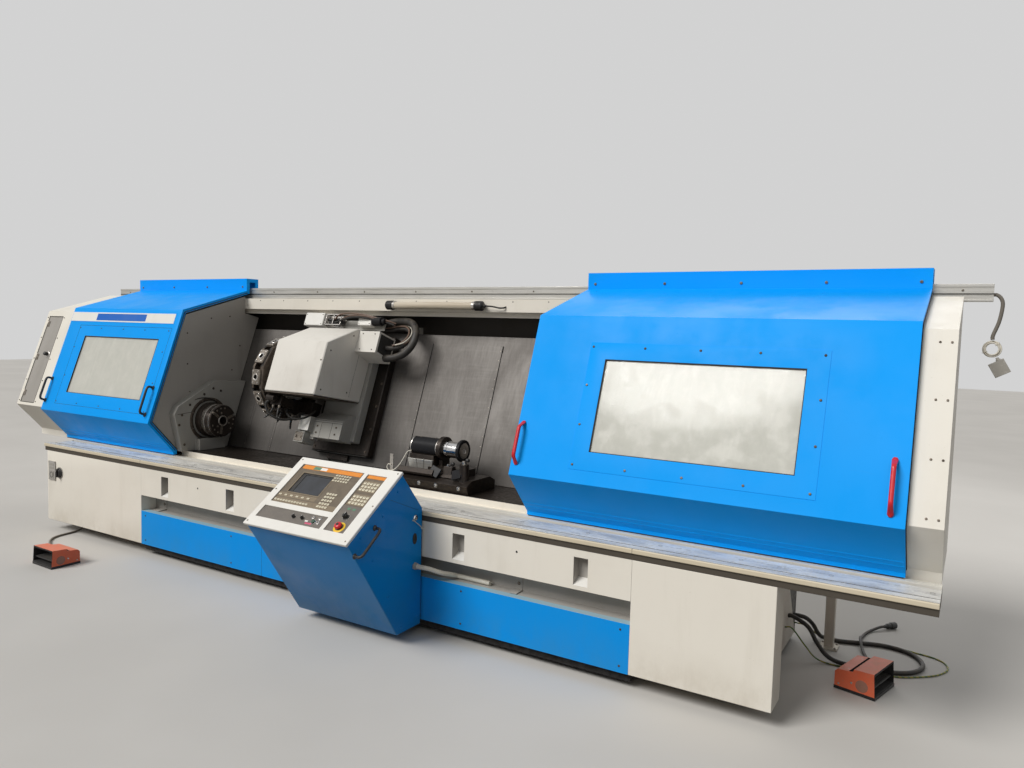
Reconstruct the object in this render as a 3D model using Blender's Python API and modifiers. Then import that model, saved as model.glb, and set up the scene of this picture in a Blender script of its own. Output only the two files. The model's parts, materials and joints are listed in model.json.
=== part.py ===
"""A long slant-bed CNC turning lathe with two sliding hood doors and a travelling control console.

Metres, Z up. Sizes are written in machine coordinates: X runs along the bed from the left cabinet's
outer edge, Y runs back from the cabinets' front face, and Z is the height over the floor. The empty
named machine moves all of it so that the footprint is centred on the world origin.
"""

import math

import bmesh
import bpy
from mathutils import Matrix, Vector

# Fits between pieces
FIT = 0.0003
RUN = 0.002

# Cabinets and bed front
LEFT_CABINET_WIDTH = 1.27
LEFT_CABINET_DEPTH = 0.42
RIGHT_CABINET_START = 5.168
RIGHT_CABINET_WIDTH = 0.682
RIGHT_CABINET_DEPTH = 0.164
CABINET_BOTTOM = 0.084
CABINET_TOP = 0.657
SWITCH_X = 0.182
SWITCH_Z = 0.488
SWITCH_RADIUS = 0.040
SWITCH_STEM = 0.012
SHEET = 0.004
BAND_BOTTOM = 0.452
RECESS_BOTTOM = 0.335
RECESS_DEPTH = 0.12
POCKET_CENTRES = (1.55, 2.255, 4.145, 4.895)
POCKET_WIDTH = 0.08
POCKET_HEIGHT = 0.155
POCKET_DEPTH = 0.06
PLINTH_BOTTOM = 0.035
PLINTH_SETBACK = 0.03

# Slanted ways: they lean back from the vertical by SLANT, and pass behind the spindle axis
SLANT = math.radians(19.5)
SPINDLE_Y = 0.54
SPINDLE_Z = 0.98
CASTING_OFFSET = 0.26
BED_TOP = 1.70
BED_BACK = 1.20
BED_END = 5.72
SHELF_FRONT = 0.30
SHELF_Z = 0.705
TROUGH_FRONT = 0.345
TROUGH_Z = 0.745

# Front rail, on which the doors and the console run
RAIL_START = -0.03
RAIL_END = 6.472
SHELF_END = 6.46
LIP_TOP = 0.715
LIP_DEPTH = 0.05
GUIDE_Y = 0.235
GUIDE_WIDTH = 0.045
GUIDE_TOP = 0.716

# Doors: the corners of the outer sheet, seen from the end of the machine
DOOR_RUNNER_FRONT = 0.956
DOOR_RUNNER_DEPTH = 0.12
DOOR_RUNNER_TOP = 2.12
ROOF_BACK_Z = 2.019
ROOF_EDGE_Y = 0.351
ROOF_EDGE_Z = 1.84
KNEE_Z = 0.981
SKIRT_Y = 0.262
SKIRT_Z = 0.742
DOOR_FOOT = 0.722
DOOR_EDGE = 0.03
LEFT_DOOR_START = -0.181
LEFT_DOOR_WIDTH = 1.463
RIGHT_DOOR_START = 4.427
RIGHT_DOOR_WIDTH = 1.902
LEFT_WINDOW = (0.282, 0.247, 0.998, 0.496)
RIGHT_WINDOW = (0.442, 0.242, 1.008, 0.500)
WINDOW_GLASS = 0.006
WINDOW_LAP = 0.03

# Fixed hoods under the doors
HOOD_INSET = 0.04
LEFT_HOOD_START = -0.655
RIGHT_HOOD_END = 6.468
HATCH_START = -0.61
HATCH_WIDTH = 0.21

# Top rail and guard
TOP_RAIL_START = -0.553
TOP_RAIL_END = 6.593
TOP_RAIL_BOTTOM = 1.954
TOP_RAIL_HEIGHT = 0.088
TOP_RAIL_Y = 1.0
TOP_RAIL_DEPTH = 0.04
GUARD_FRONT = 0.955
LAMP_START = 2.86
LAMP_LENGTH = 0.78
LAMP_RADIUS = 0.03

# Headstock, spindle and chuck
BULKHEAD_X = 1.225
BULKHEAD_THICKNESS = 0.04
HEADSTOCK_FACE = 1.335
CHUCK_RADIUS = 0.125
CHUCK_FACE = 1.505
CHUCK_BORE = 0.032
JAW_WIDTH = 0.022
JAW_LENGTH = 0.062

# Way covers: each one slides under the next
COVER_SHEET = 0.003
COVER_BOTTOM = -0.155
COVER_TOP = 0.79
LEFT_WING_START = 1.80
LEFT_SLIDE_COVER = (1.51, 2.11)
RIGHT_WING_END = 3.17
RIGHT_SLIDE_COVER = (2.94, 3.76)
LEFT_FIXED_COVER_END = 1.80
RIGHT_FIXED_COVER_START = 3.50
RIGHT_FIXED_COVER_END = 5.70

# Carriage, cross slide and turret
CARRIAGE_CORE = (2.45, 2.65)
CARRIAGE_PLATE = (2.33, 2.87)
CARRIAGE_THICKNESS = 0.07
HOSE_BOX_END = 2.66
CROSS_SLIDE = (2.42, 2.78)
CROSS_SLIDE_THICKNESS = 0.075
HOUSING = (2.27, 2.75)
HOUSING_FRONT = -0.35
HOSE_GUIDE_WIDTH = 0.19
DISC_X = 2.13
DISC_RADIUS = 0.30
DISC_S = 0.36
DISC_N = -0.085
STATIONS = 12
NOTCH_WIDTH = 0.044
NOTCH_DEPTH = 0.045
STATION_LENGTH = 0.074
STATION_WIDTH = 0.108
STATION_RISE = 0.016
STATION_BORE = 0.0165
STATION_BORE_DEPTH = 0.035

# Blocks on the cross slide, and the boxes above the carriage where its hoses and cables end
LOWER_BLOCK = (2.47, 2.75)
NOZZLE_BLOCK = (2.385, 2.48)
TOOL_BLOCK = (2.37, 2.46)
BOX_PLATE = (2.03, 2.79)
CABLE_BOX = (2.03, 2.225)
VALVE_BOX = (2.565, 2.695)
BOX_PLATE_BACK = 0.136

# Tailstock
TAILSTOCK_START = 3.40
TAILSTOCK_LENGTH = 0.56
BARREL_RADIUS = 0.062
BARREL_START = 3.414
BARREL_LENGTH = 0.212
COLLAR_X = 3.648
QUILL_RADIUS = 0.052
QUILL_END = 3.80

# Console
CONSOLE_START = 3.147
CONSOLE_WIDTH = 0.759
PANEL_DEPTH = 0.536
PANEL_SLOPE = math.radians(35.0)
PANEL_LIP_Y = -0.626
PANEL_LIP_Z = 0.646
FRAME_THICKNESS = 0.018
CONSOLE_BOTTOM = 0.06
CONSOLE_FOOT_DEPTH = 0.22
KEY_WINDOW = (0.054, 0.182, 0.469, 0.302)
STRIP_WINDOW = (0.043, 0.063, 0.480, 0.084)
COLUMN_WINDOW = (0.551, 0.065, 0.137, 0.415)
SCREEN_WINDOW = (0.106, 0.270, 0.235, 0.153)
PLATE_SET_BACK = 0.006
PLATE_LAP = 0.012
# Centre and radius of the emergency stop, override knob, two mode knobs and start button on the plate
ROUND_CONTROLS = (
    (0.634, 0.100, 0.020),
    (0.625, 0.171, 0.015),
    (0.300, 0.107, 0.009),
    (0.363, 0.109, 0.009),
    (0.452, 0.100, 0.012),
)

# Foot switches
PEDAL_LENGTH = 0.20
PEDAL_WIDTH = 0.25
PEDAL_HEIGHT = 0.13
PEDAL_WALL = 0.005
PEDAL_FLOOR = 0.024
LEFT_PEDAL = (0.99, -0.4725, math.radians(-91.0))
RIGHT_PEDAL = (6.149, 0.732, math.radians(-15.0))
LEG_X = 5.915
LEG_Y = 1.165
LEG_WIDTH = 0.05

# Cords
PEDAL_CORD_RADIUS = 0.008
HOSE_RADIUS = 0.012
WIRE_RADIUS = 0.004
PLUG_RADIUS = 0.02
PLUG_X = 6.155
PLUG_Y = 1.640
CONDUIT_RADIUS = 0.009
CONSOLE_CONDUIT_RADIUS = 0.014
COIL_RADIUS = 0.034
COIL_SECTION = 0.012
COIL_Z = 1.722
JUNCTION_SIZE = 0.075
JUNCTION_TURN = math.radians(-29.4)

# The outline that centres the machine
X_MID = (LEFT_HOOD_START + TOP_RAIL_END) / 2
FRONT_Y = PANEL_LIP_Y - FRAME_THICKNESS * math.sin(PANEL_SLOPE)
REAR_Y = BED_BACK + FIT + SHEET
Y_MID = (FRONT_Y + REAR_Y) / 2


def clear_scene():
    for obj in list(bpy.data.objects):
        bpy.data.objects.remove(obj, do_unlink=True)


def make_collection(name):
    made = bpy.data.collections.new(name)
    bpy.context.scene.collection.children.link(made)
    return made


def make_material(name, color, roughness, metallic=0.0):
    material = bpy.data.materials.new(name)
    material.use_nodes = True
    shader = material.node_tree.nodes["Principled BSDF"]
    shader.inputs["Base Color"].default_value = (*color, 1)
    shader.inputs["Roughness"].default_value = roughness
    shader.inputs["Metallic"].default_value = metallic
    return material


def make_empty(name, location=(0, 0, 0), rotation=(0, 0, 0), parent=None):
    empty = bpy.data.objects.new(name, None)
    empty.location = location
    empty.rotation_euler = rotation
    empty.parent = parent
    PARTS.objects.link(empty)
    return empty


def place(obj, name, parent, material=None):
    """Names an object, hangs it on its parent empty and moves it into the part's collection."""
    obj.name = name
    obj.data.name = name
    obj.parent = parent
    for old in list(obj.users_collection):
        old.objects.unlink(obj)
    PARTS.objects.link(obj)
    if material:
        obj.data.materials.append(MATERIALS[material])
    return obj


def as_helper(obj):
    obj.hide_render = True
    obj.display_type = "WIRE"
    for old in list(obj.users_collection):
        old.objects.unlink(obj)
    HELPERS.objects.link(obj)
    return obj


def box(name, x, y, z, parent, material=None, bevel=0.0):
    """A box from three (low, high) pairs."""
    bpy.ops.mesh.primitive_cube_add(size=1)
    obj = bpy.context.object
    sizes = [pair[1] - pair[0] for pair in (x, y, z)]
    obj.data.transform(Matrix.Diagonal((*sizes, 1)))
    obj.location = [sum(pair) / 2 for pair in (x, y, z)]
    place(obj, name, parent, material)
    if bevel:
        add_bevel(obj, bevel)
    return obj


def add_bevel(obj, width, segments=1):
    bevel = obj.modifiers.new("edge", "BEVEL")
    bevel.width = width
    bevel.segments = segments
    bevel.limit_method = "ANGLE"
    bevel.angle_limit = math.radians(35)
    return bevel


def bevelled(obj, width):
    add_bevel(obj, width)
    return obj


def rod(name, radius, length, location, axis, parent, material=None, sides=32, bevel=0.0):
    """A cylinder centred on location, along axis 'X', 'Y' or 'Z' of its parent."""
    bpy.ops.mesh.primitive_cylinder_add(vertices=sides, radius=radius, depth=length)
    obj = bpy.context.object
    turn = {
        "X": Matrix.Rotation(math.pi / 2, 4, "Y"),
        "Y": Matrix.Rotation(math.pi / 2, 4, "X"),
        "Z": Matrix.Identity(4),
    }[axis]
    obj.data.transform(turn)
    obj.location = location
    place(obj, name, parent, material)
    if bevel:
        add_bevel(obj, bevel)
    for face in obj.data.polygons:
        face.use_smooth = len(face.vertices) == 4
    return obj


def flat_outline(name, outline, thickness):
    """A closed flat outline in XY, given thickness along Z, as a mesh."""
    curve = bpy.data.curves.new(name, "CURVE")
    curve.dimensions = "2D"
    curve.fill_mode = "BOTH"
    curve.extrude = thickness / 2
    spline = curve.splines.new("POLY")
    spline.points.add(len(outline) - 1)
    for point, (u, v) in zip(spline.points, outline):
        point.co = (u, v, 0, 1)
    spline.use_cyclic_u = True
    shape = bpy.data.objects.new(name, curve)
    bpy.context.scene.collection.objects.link(shape)
    bpy.context.view_layer.update()
    mesh = bpy.data.meshes.new_from_object(shape.evaluated_get(bpy.context.evaluated_depsgraph_get()))
    bpy.data.objects.remove(shape, do_unlink=True)
    work = bmesh.new()
    work.from_mesh(mesh)
    bmesh.ops.remove_doubles(work, verts=work.verts, dist=0.00005)
    bmesh.ops.dissolve_limit(work, angle_limit=0.001, verts=work.verts, edges=work.edges)
    bmesh.ops.recalc_face_normals(work, faces=work.faces)
    work.to_mesh(mesh)
    work.free()
    return bpy.data.objects.new(name, mesh)


def bar(name, outline, x, parent, material=None):
    """An outline of (Y, Z) points drawn along X between two ends."""
    obj = flat_outline(name, outline, x[1] - x[0])
    # The outline's X, Y and Z become the parent's Y, Z and X.
    obj.data.transform(Matrix(((0, 0, 1, 0), (1, 0, 0, 0), (0, 1, 0, 0), (0, 0, 0, 1))))
    obj.location = ((x[0] + x[1]) / 2, 0, 0)
    return place(obj, name, parent, material)


def offset_path(points, distance):
    """The same path moved to its right-hand side by distance, with mitred corners."""
    points = [Vector(point) for point in points]
    moved = []
    for i, point in enumerate(points):
        before = (point - points[i - 1]).normalized() if i else None
        after = (points[i + 1] - point).normalized() if i + 1 < len(points) else None
        sides = [Vector((way.y, -way.x)) for way in (before, after) if way]
        mean = sum(sides, Vector((0, 0))).normalized()
        moved.append(point + mean * distance / mean.dot(sides[0]))
    return [tuple(point) for point in moved]


def folded(points, inner, outer=0.0):
    """A closed outline of a sheet that follows points, between two offsets from them."""
    near = offset_path(points, outer)
    far = offset_path(points, inner)
    return near + far[::-1]


def boolean(obj, other, operation):
    as_helper(other)
    modifier = obj.modifiers.new(other.name, "BOOLEAN")
    modifier.operation = operation
    modifier.solver = "EXACT"
    modifier.object = other
    return obj


def cut(obj, *cutters):
    for cutter in cutters:
        boolean(obj, cutter, "DIFFERENCE")
    return obj


def weld(obj, *others):
    for other in others:
        boolean(obj, other, "UNION")
    return obj


def turned(name, profile, parent, location, material=None, steps=32):
    """Turns (radius, length) points about the parent's X axis; the profile runs down from its far end."""
    mesh = bpy.data.meshes.new(name)
    work = bmesh.new()
    made = [work.verts.new((radius, 0, length)) for radius, length in profile]
    for first, second in zip(made, made[1:]):
        work.edges.new((first, second))
    work.to_mesh(mesh)
    work.free()
    obj = bpy.data.objects.new(name, mesh)
    place(obj, name, parent, material)
    screw = obj.modifiers.new("turn", "SCREW")
    screw.steps = steps
    screw.render_steps = steps
    screw.use_merge_vertices = True
    screw.merge_threshold = 0.00001
    screw.use_normal_calculate = True
    screw.use_smooth_shade = False
    obj.rotation_euler = (0, math.pi / 2, 0)
    obj.location = location
    return obj


def smooth_route(points, spacing):
    """Points spaced along a smooth curve through the route's own points."""
    ways = [Vector(point) for point in points]
    ends = [ways[0] * 2 - ways[1], *ways, ways[-1] * 2 - ways[-2]]
    dense = []
    for a, b, c, d in zip(ends, ends[1:], ends[2:], ends[3:]):
        for step in range(12):
            t = step / 12
            square = (2 * a - 5 * b + 4 * c - d) * t * t
            cube = (3 * b - a - 3 * c + d) * t ** 3
            dense.append(0.5 * (2 * b + (c - a) * t + square + cube))
    dense.append(ways[-1])
    total = sum((q - p).length for p, q in zip(dense, dense[1:]))
    count = max(2, round(total / spacing))
    made, walked, goal = [dense[0]], 0.0, total / count
    for p, q in zip(dense, dense[1:]):
        step = (q - p).length
        while walked + step >= goal - 1e-9 and len(made) < count:
            made.append(p.lerp(q, (goal - walked) / step))
            goal += total / count
        walked += step
    return made + [dense[-1]]


def cord(name, points, radius, parent, material, spacing, sides=2):
    """A plain tube along a route."""
    curve = bpy.data.curves.new(name, "CURVE")
    curve.dimensions = "3D"
    curve.bevel_depth = radius
    curve.bevel_resolution = sides
    curve.use_fill_caps = True
    route = smooth_route(points, spacing)
    # Each end leaves straight along the route's first and last leg, so that its face meets its neighbour's.
    for end, near in ((0, 1), (-1, -2)):
        leg = Vector(points[near]) - Vector(points[end])
        route[near] = route[end] + leg.normalized() * (route[near] - route[end]).length
    spline = curve.splines.new("POLY")
    spline.points.add(len(route) - 1)
    for point, place_at in zip(spline.points, route):
        place_at.z = max(place_at.z, radius + FIT)
        point.co = (*place_at, 1)
    obj = bpy.data.objects.new(name, curve)
    return place(obj, name, parent, material)


def handle(name, length, reach, radius, parent, material, location, rotation=(0, 0, 0)):
    """A bow handle: its feet stand on the plane Z = 0 of its own frame, length apart along Y."""
    half = length / 2
    bend = min(reach, 0.03)
    points = [
        (0, -half, 0),
        (0, -half, reach - bend),
        (0, -half + bend * 0.3, reach - bend * 0.3),
        (0, -half + bend, reach),
        (0, half - bend, reach),
        (0, half - bend * 0.3, reach - bend * 0.3),
        (0, half, reach - bend),
        (0, half, 0),
    ]
    curve = bpy.data.curves.new(name, "CURVE")
    curve.dimensions = "3D"
    curve.bevel_depth = radius
    curve.bevel_resolution = 2
    curve.use_fill_caps = True
    spline = curve.splines.new("POLY")
    spline.points.add(len(points) - 1)
    for point, place_at in zip(spline.points, points):
        point.co = (*place_at, 1)
    obj = bpy.data.objects.new(name, curve)
    obj.location = location
    obj.rotation_euler = rotation
    return place(obj, name, parent, material)


def plane_y(z, offset):
    """How far back the slanted plane is at height z, when it lies offset behind the spindle axis."""
    return SPINDLE_Y + (offset + (z - SPINDLE_Z) * math.sin(SLANT)) / math.cos(SLANT)


def knee_y():
    return ROOF_EDGE_Y - (ROOF_EDGE_Z - KNEE_Z) * math.tan(SLANT)


def door_path():
    """The door's outer sheet from the back of its runner box, over the roof, down to its foot."""
    return [
        (DOOR_RUNNER_FRONT + DOOR_RUNNER_DEPTH, ROOF_BACK_Z),
        (DOOR_RUNNER_FRONT + DOOR_RUNNER_DEPTH, DOOR_RUNNER_TOP),
        (DOOR_RUNNER_FRONT, DOOR_RUNNER_TOP),
        (DOOR_RUNNER_FRONT, ROOF_BACK_Z),
        (ROOF_EDGE_Y, ROOF_EDGE_Z),
        (knee_y(), KNEE_Z),
        (SKIRT_Y, SKIRT_Z),
        (SKIRT_Y, DOOR_FOOT),
    ]


def hood_path(foot):
    """The fixed hood's outer sheet: the door's, moved in by HOOD_INSET, from the guard down to a height."""
    roof, edge, knee, skirt, end = offset_path(door_path()[3:], -HOOD_INSET)
    slope = (edge[1] - roof[1]) / (edge[0] - roof[0])
    back = GUARD_FRONT - FIT
    return [(back, edge[1] + slope * (back - edge[0])), edge, knee, skirt, (end[0], foot)]


def make_bed():
    """The slant-bed casting: low front band over a recess, shelf, chip trough and leaning ways."""
    way = CASTING_OFFSET
    outline = [
        (0, BAND_BOTTOM),
        (0, CABINET_TOP),
        (SHELF_FRONT, CABINET_TOP),
        (SHELF_FRONT, SHELF_Z),
        (TROUGH_FRONT, SHELF_Z),
        (TROUGH_FRONT, TROUGH_Z),
        (plane_y(TROUGH_Z, way), TROUGH_Z),
        (plane_y(BED_TOP, way), BED_TOP),
        (BED_BACK, BED_TOP),
        (BED_BACK, PLINTH_BOTTOM),
        (PLINTH_SETBACK + SHEET, PLINTH_BOTTOM),
        (PLINTH_SETBACK + SHEET, CABINET_BOTTOM),
        (SHEET + FIT, CABINET_BOTTOM),
        (SHEET + FIT, RECESS_BOTTOM - SHEET),
        (RECESS_DEPTH, RECESS_BOTTOM),
        (RECESS_DEPTH, BAND_BOTTOM),
    ]
    start = LEFT_CABINET_WIDTH + FIT
    end = RIGHT_CABINET_START - FIT
    bed = bar("bed_casting", outline, (start, end), MACHINE, "cream_paint")
    left_block = [
        (LEFT_CABINET_DEPTH + FIT, PLINTH_BOTTOM),
        (LEFT_CABINET_DEPTH + FIT, TROUGH_Z),
        (plane_y(TROUGH_Z, way), TROUGH_Z),
        (plane_y(BED_TOP, way), BED_TOP),
        (BED_BACK, BED_TOP),
        (BED_BACK, PLINTH_BOTTOM),
    ]
    right_block = [
        (RIGHT_CABINET_DEPTH + SHEET, PLINTH_BOTTOM),
        (RIGHT_CABINET_DEPTH + SHEET, CABINET_TOP - SHEET),
        (TROUGH_FRONT, CABINET_TOP - SHEET),
        (TROUGH_FRONT, TROUGH_Z),
        (plane_y(TROUGH_Z, way), TROUGH_Z),
        (plane_y(BED_TOP, way), BED_TOP),
        (BED_BACK, BED_TOP),
        (BED_BACK, PLINTH_BOTTOM),
    ]
    shelf = [
        (SHELF_FRONT, CABINET_TOP + FIT),
        (SHELF_FRONT, SHELF_Z),
        (TROUGH_FRONT + 0.02, SHELF_Z),
        (TROUGH_FRONT + 0.02, CABINET_TOP + FIT),
    ]
    weld(
        bed,
        bar("bed_left_end", left_block, (0.12, start + 0.05), MACHINE),
        bar("bed_right_end", right_block, (end - 0.05, BED_END), MACHINE),
        bar("bed_shelf", shelf, (0.01, SHELF_END), MACHINE),
    )
    for number, centre in enumerate(POCKET_CENTRES):
        wedge = [
            (-0.02, BAND_BOTTOM + 0.012),
            (-0.02, BAND_BOTTOM + 0.012 + POCKET_HEIGHT),
            (POCKET_DEPTH, BAND_BOTTOM + 0.012 + POCKET_HEIGHT),
            (POCKET_DEPTH, BAND_BOTTOM + 0.05),
        ]
        half = POCKET_WIDTH / 2
        cut(bed, bar(f"pocket_{number}", wedge, (centre - half, centre + half), MACHINE))
    # The fixed ends of the way covers are part of the bed's face.
    top = CASTING_OFFSET - FIT - COVER_SHEET
    for name, x in (
        ("fixed_left", (BULKHEAD_X + BULKHEAD_THICKNESS + FIT, LEFT_FIXED_COVER_END)),
        ("fixed_right", (RIGHT_FIXED_COVER_START, RIGHT_FIXED_COVER_END)),
    ):
        weld(bed, box(name, x, (top, CASTING_OFFSET + 0.02), (COVER_BOTTOM, COVER_TOP - 0.05), WAYS))
    for number, x in enumerate((0.35, 1.6, 2.9, 4.2, 5.45)):
        for side, y in (("front", 0.22 if x > 1.3 and x < 5.2 else 0.55), ("back", 1.08)):
            foot = rod(
                f"foot_{number}_{side}",
                0.06,
                PLINTH_BOTTOM + 0.02,
                (x, y, (PLINTH_BOTTOM + 0.02) / 2),
                "Z",
                MACHINE,
                sides=20,
            )
            weld(bed, foot)
    return bed


def make_cabinets():
    """The closed cabinets at the two ends of the bed front."""
    left = box(
        "left_cabinet",
        (0, LEFT_CABINET_WIDTH),
        (0, LEFT_CABINET_DEPTH),
        (CABINET_BOTTOM, CABINET_TOP),
        MACHINE,
        "cream_paint",
    )
    cut(
        left, rod("switch_hole", SWITCH_STEM + 0.002, 0.08, (SWITCH_X, 0, SWITCH_Z), "Y", MACHINE, sides=16)
    )
    weld(left, box("socket_plate", (0.03, 0.085), (-0.006, 0.002), (0.42, 0.56), MACHINE))
    add_bevel(left, 0.002)
    end = RIGHT_CABINET_START + RIGHT_CABINET_WIDTH
    right = box(
        "right_cabinet",
        (RIGHT_CABINET_START, end),
        (0, RIGHT_CABINET_DEPTH),
        (CABINET_BOTTOM, CABINET_TOP),
        MACHINE,
        "cream_paint",
    )
    add_bevel(right, 0.002)


def make_lower_panel():
    """The blue skirting sheet under the recess, with a returned top edge."""
    start = LEFT_CABINET_WIDTH + FIT
    end = RIGHT_CABINET_START - FIT
    outline = [
        (0, CABINET_BOTTOM),
        (0, RECESS_BOTTOM),
        (0.05, RECESS_BOTTOM),
        (0.05, RECESS_BOTTOM - SHEET + FIT * 8),
        (SHEET, RECESS_BOTTOM - SHEET + FIT * 4),
        (SHEET, CABINET_BOTTOM),
    ]
    bar("lower_panel", outline, (start, end), MACHINE, "blue_paint")


def make_front_rail():
    """The stepped rail along the bed front: lip, groove, tread and guide."""
    base = CABINET_TOP + FIT
    outline = [
        (0, base),
        (0, LIP_TOP),
        (LIP_DEPTH, LIP_TOP),
        (LIP_DEPTH, LIP_TOP - 0.02),
        (LIP_DEPTH + 0.03, LIP_TOP - 0.02),
        (LIP_DEPTH + 0.03, LIP_TOP - 0.007),
        (GUIDE_Y - 0.02, LIP_TOP - 0.007),
        (GUIDE_Y - 0.02, LIP_TOP - 0.02),
        (GUIDE_Y, LIP_TOP - 0.02),
        (GUIDE_Y, GUIDE_TOP),
        (GUIDE_Y + GUIDE_WIDTH, GUIDE_TOP),
        (GUIDE_Y + GUIDE_WIDTH, base),
    ]
    bar("front_rail", outline, (RAIL_START, RAIL_END), MACHINE, "worn_steel")


def make_top_rail():
    """The aluminium channel that carries the doors' runner boxes, open to the back."""
    top = TOP_RAIL_BOTTOM + TOP_RAIL_HEIGHT
    back = TOP_RAIL_Y + TOP_RAIL_DEPTH
    rail = box(
        "top_rail",
        (TOP_RAIL_START, TOP_RAIL_END),
        (TOP_RAIL_Y, back),
        (TOP_RAIL_BOTTOM, top),
        MACHINE,
        "aluminium",
    )
    cut(
        rail,
        box(
            "rail_channel",
            (TOP_RAIL_START - 0.1, TOP_RAIL_END + 0.1),
            (TOP_RAIL_Y - 0.01, TOP_RAIL_Y + 0.006),
            (TOP_RAIL_BOTTOM + 0.03, TOP_RAIL_BOTTOM + 0.042),
            MACHINE,
        ),
    )


def make_rear_guard():
    """The folded sheet behind the opening: a beam under the top rail and the wall down to the bed."""
    wall = BED_BACK + FIT
    path = [
        (wall, CABINET_TOP + 0.01),
        (wall, TOP_RAIL_BOTTOM - 0.004 - FIT),
        (GUARD_FRONT + 0.004, TOP_RAIL_BOTTOM - 0.004 - FIT),
        (GUARD_FRONT + 0.004, 1.872),
        (GUARD_FRONT + 0.05, 1.862),
        (GUARD_FRONT + 0.05, 1.832),
    ]
    guard = bar(
        "rear_guard",
        folded(path, 0.004, 0.0),
        (LEFT_HOOD_START + 0.004, RIGHT_HOOD_END - 0.004),
        MACHINE,
        "grey_paint",
    )
    # A strip under the top rail seats it on the guard.
    seat = TOP_RAIL_BOTTOM - FIT
    weld(
        guard,
        box(
            "rail_seat",
            (LEFT_HOOD_START + 0.004, RIGHT_HOOD_END - 0.004),
            (TOP_RAIL_Y + 0.002, TOP_RAIL_Y + TOP_RAIL_DEPTH - 0.002),
            (seat - 0.008, seat),
            MACHINE,
        ),
    )
    for number, x in enumerate((0.9, 2.9, 4.9)):
        weld(
            guard,
            box(
                f"guard_bracket_{number}",
                (x, x + 0.05),
                (1.10, wall + 0.002),
                (BED_TOP + FIT, BED_TOP + 0.05),
                MACHINE,
            ),
        )
    return guard


def make_lamp():
    """The round work lamp in clips under the guard's beam."""
    y = GUARD_FRONT - LAMP_RADIUS - 0.006
    z = 1.908
    lamp = rod(
        "work_lamp",
        LAMP_RADIUS,
        LAMP_LENGTH,
        (LAMP_START + LAMP_LENGTH / 2, y, z),
        "X",
        MACHINE,
        "lamp_glass",
        sides=24,
    )
    for number, x in enumerate((LAMP_START, LAMP_START + LAMP_LENGTH)):
        weld(lamp, rod(f"lamp_cap_{number}", LAMP_RADIUS + 0.004, 0.06, (x, y, z), "X", MACHINE, sides=24))
        weld(
            lamp,
            box(
                f"lamp_clip_{number}",
                (x - 0.012, x + 0.012),
                (y, GUARD_FRONT - FIT),
                (z - 0.012, z + 0.012),
                MACHINE,
            ),
        )


def make_hoods():
    """The fixed sheet hoods over the headstock and the bed's right end, each closed by an end wall."""
    path = hood_path(SHELF_Z + FIT)
    left_end = BULKHEAD_X - FIT
    left = bar("left_hood", folded(path, -SHEET), (LEFT_HOOD_START, left_end), MACHINE, "cream_paint")
    wall_outline = [*path, (path[0][0], path[-1][1])]
    weld(left, bar("left_hood_wall", wall_outline, (LEFT_HOOD_START, LEFT_HOOD_START + SHEET), MACHINE))
    cut(
        left,
        hood_panel("hatch_opening", (HATCH_START, HATCH_START + HATCH_WIDTH), (0.05, 0.84), (-0.02, 0.02)),
    )
    right = bar(
        "right_hood",
        folded(path, -SHEET),
        (RIGHT_DOOR_START + DOOR_EDGE, RIGHT_HOOD_END),
        MACHINE,
        "cream_paint",
    )
    weld(right, bar("right_hood_wall", wall_outline, (RIGHT_HOOD_END - SHEET, RIGHT_HOOD_END), MACHINE))
    hatch = hood_panel(
        "left_hatch", (HATCH_START + FIT, HATCH_START + HATCH_WIDTH - RUN), (0.052, 0.838), (0.004, 0.008)
    )
    hatch.data.materials.append(MATERIALS["grey_paint"])
    knob = rod(
        "hatch_knob",
        0.014,
        0.03,
        (HATCH_START + HATCH_WIDTH * 0.75, 0.40, -0.010),
        "Z",
        HOOD_FACE,
        sides=16,
    )
    weld(hatch, knob)
    return left


def hood_panel(name, x, down, deep):
    """A box in the hood's front face: along X, down from the roof edge, and into the machine."""
    return box(name, x, down, deep, HOOD_FACE)


def make_bulkhead():
    """The grey wall that closes the left hood, and the headstock that stands in it."""
    path = offset_path(hood_path(TROUGH_Z + FIT), -SHEET - RUN)
    path[-1] = (path[-1][0], TROUGH_Z + FIT)
    back_top = path[0][1]
    outline = [
        *path,
        (plane_y(path[-1][1], CASTING_OFFSET - 0.008) , path[-1][1]),
        (plane_y(1.80, CASTING_OFFSET - 0.008), 1.80),
        (GUARD_FRONT - FIT, 1.83),
        (GUARD_FRONT - FIT, back_top),
    ]
    bulkhead = bar(
        "bulkhead", outline, (BULKHEAD_X, BULKHEAD_X + BULKHEAD_THICKNESS), MACHINE, "dark_grey_paint"
    )
    nose = rod("bulkhead_hole", 0.235, 0.3, (BULKHEAD_X, SPINDLE_Y, SPINDLE_Z), "X", MACHINE, sides=40)
    return cut(bulkhead, nose)


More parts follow.
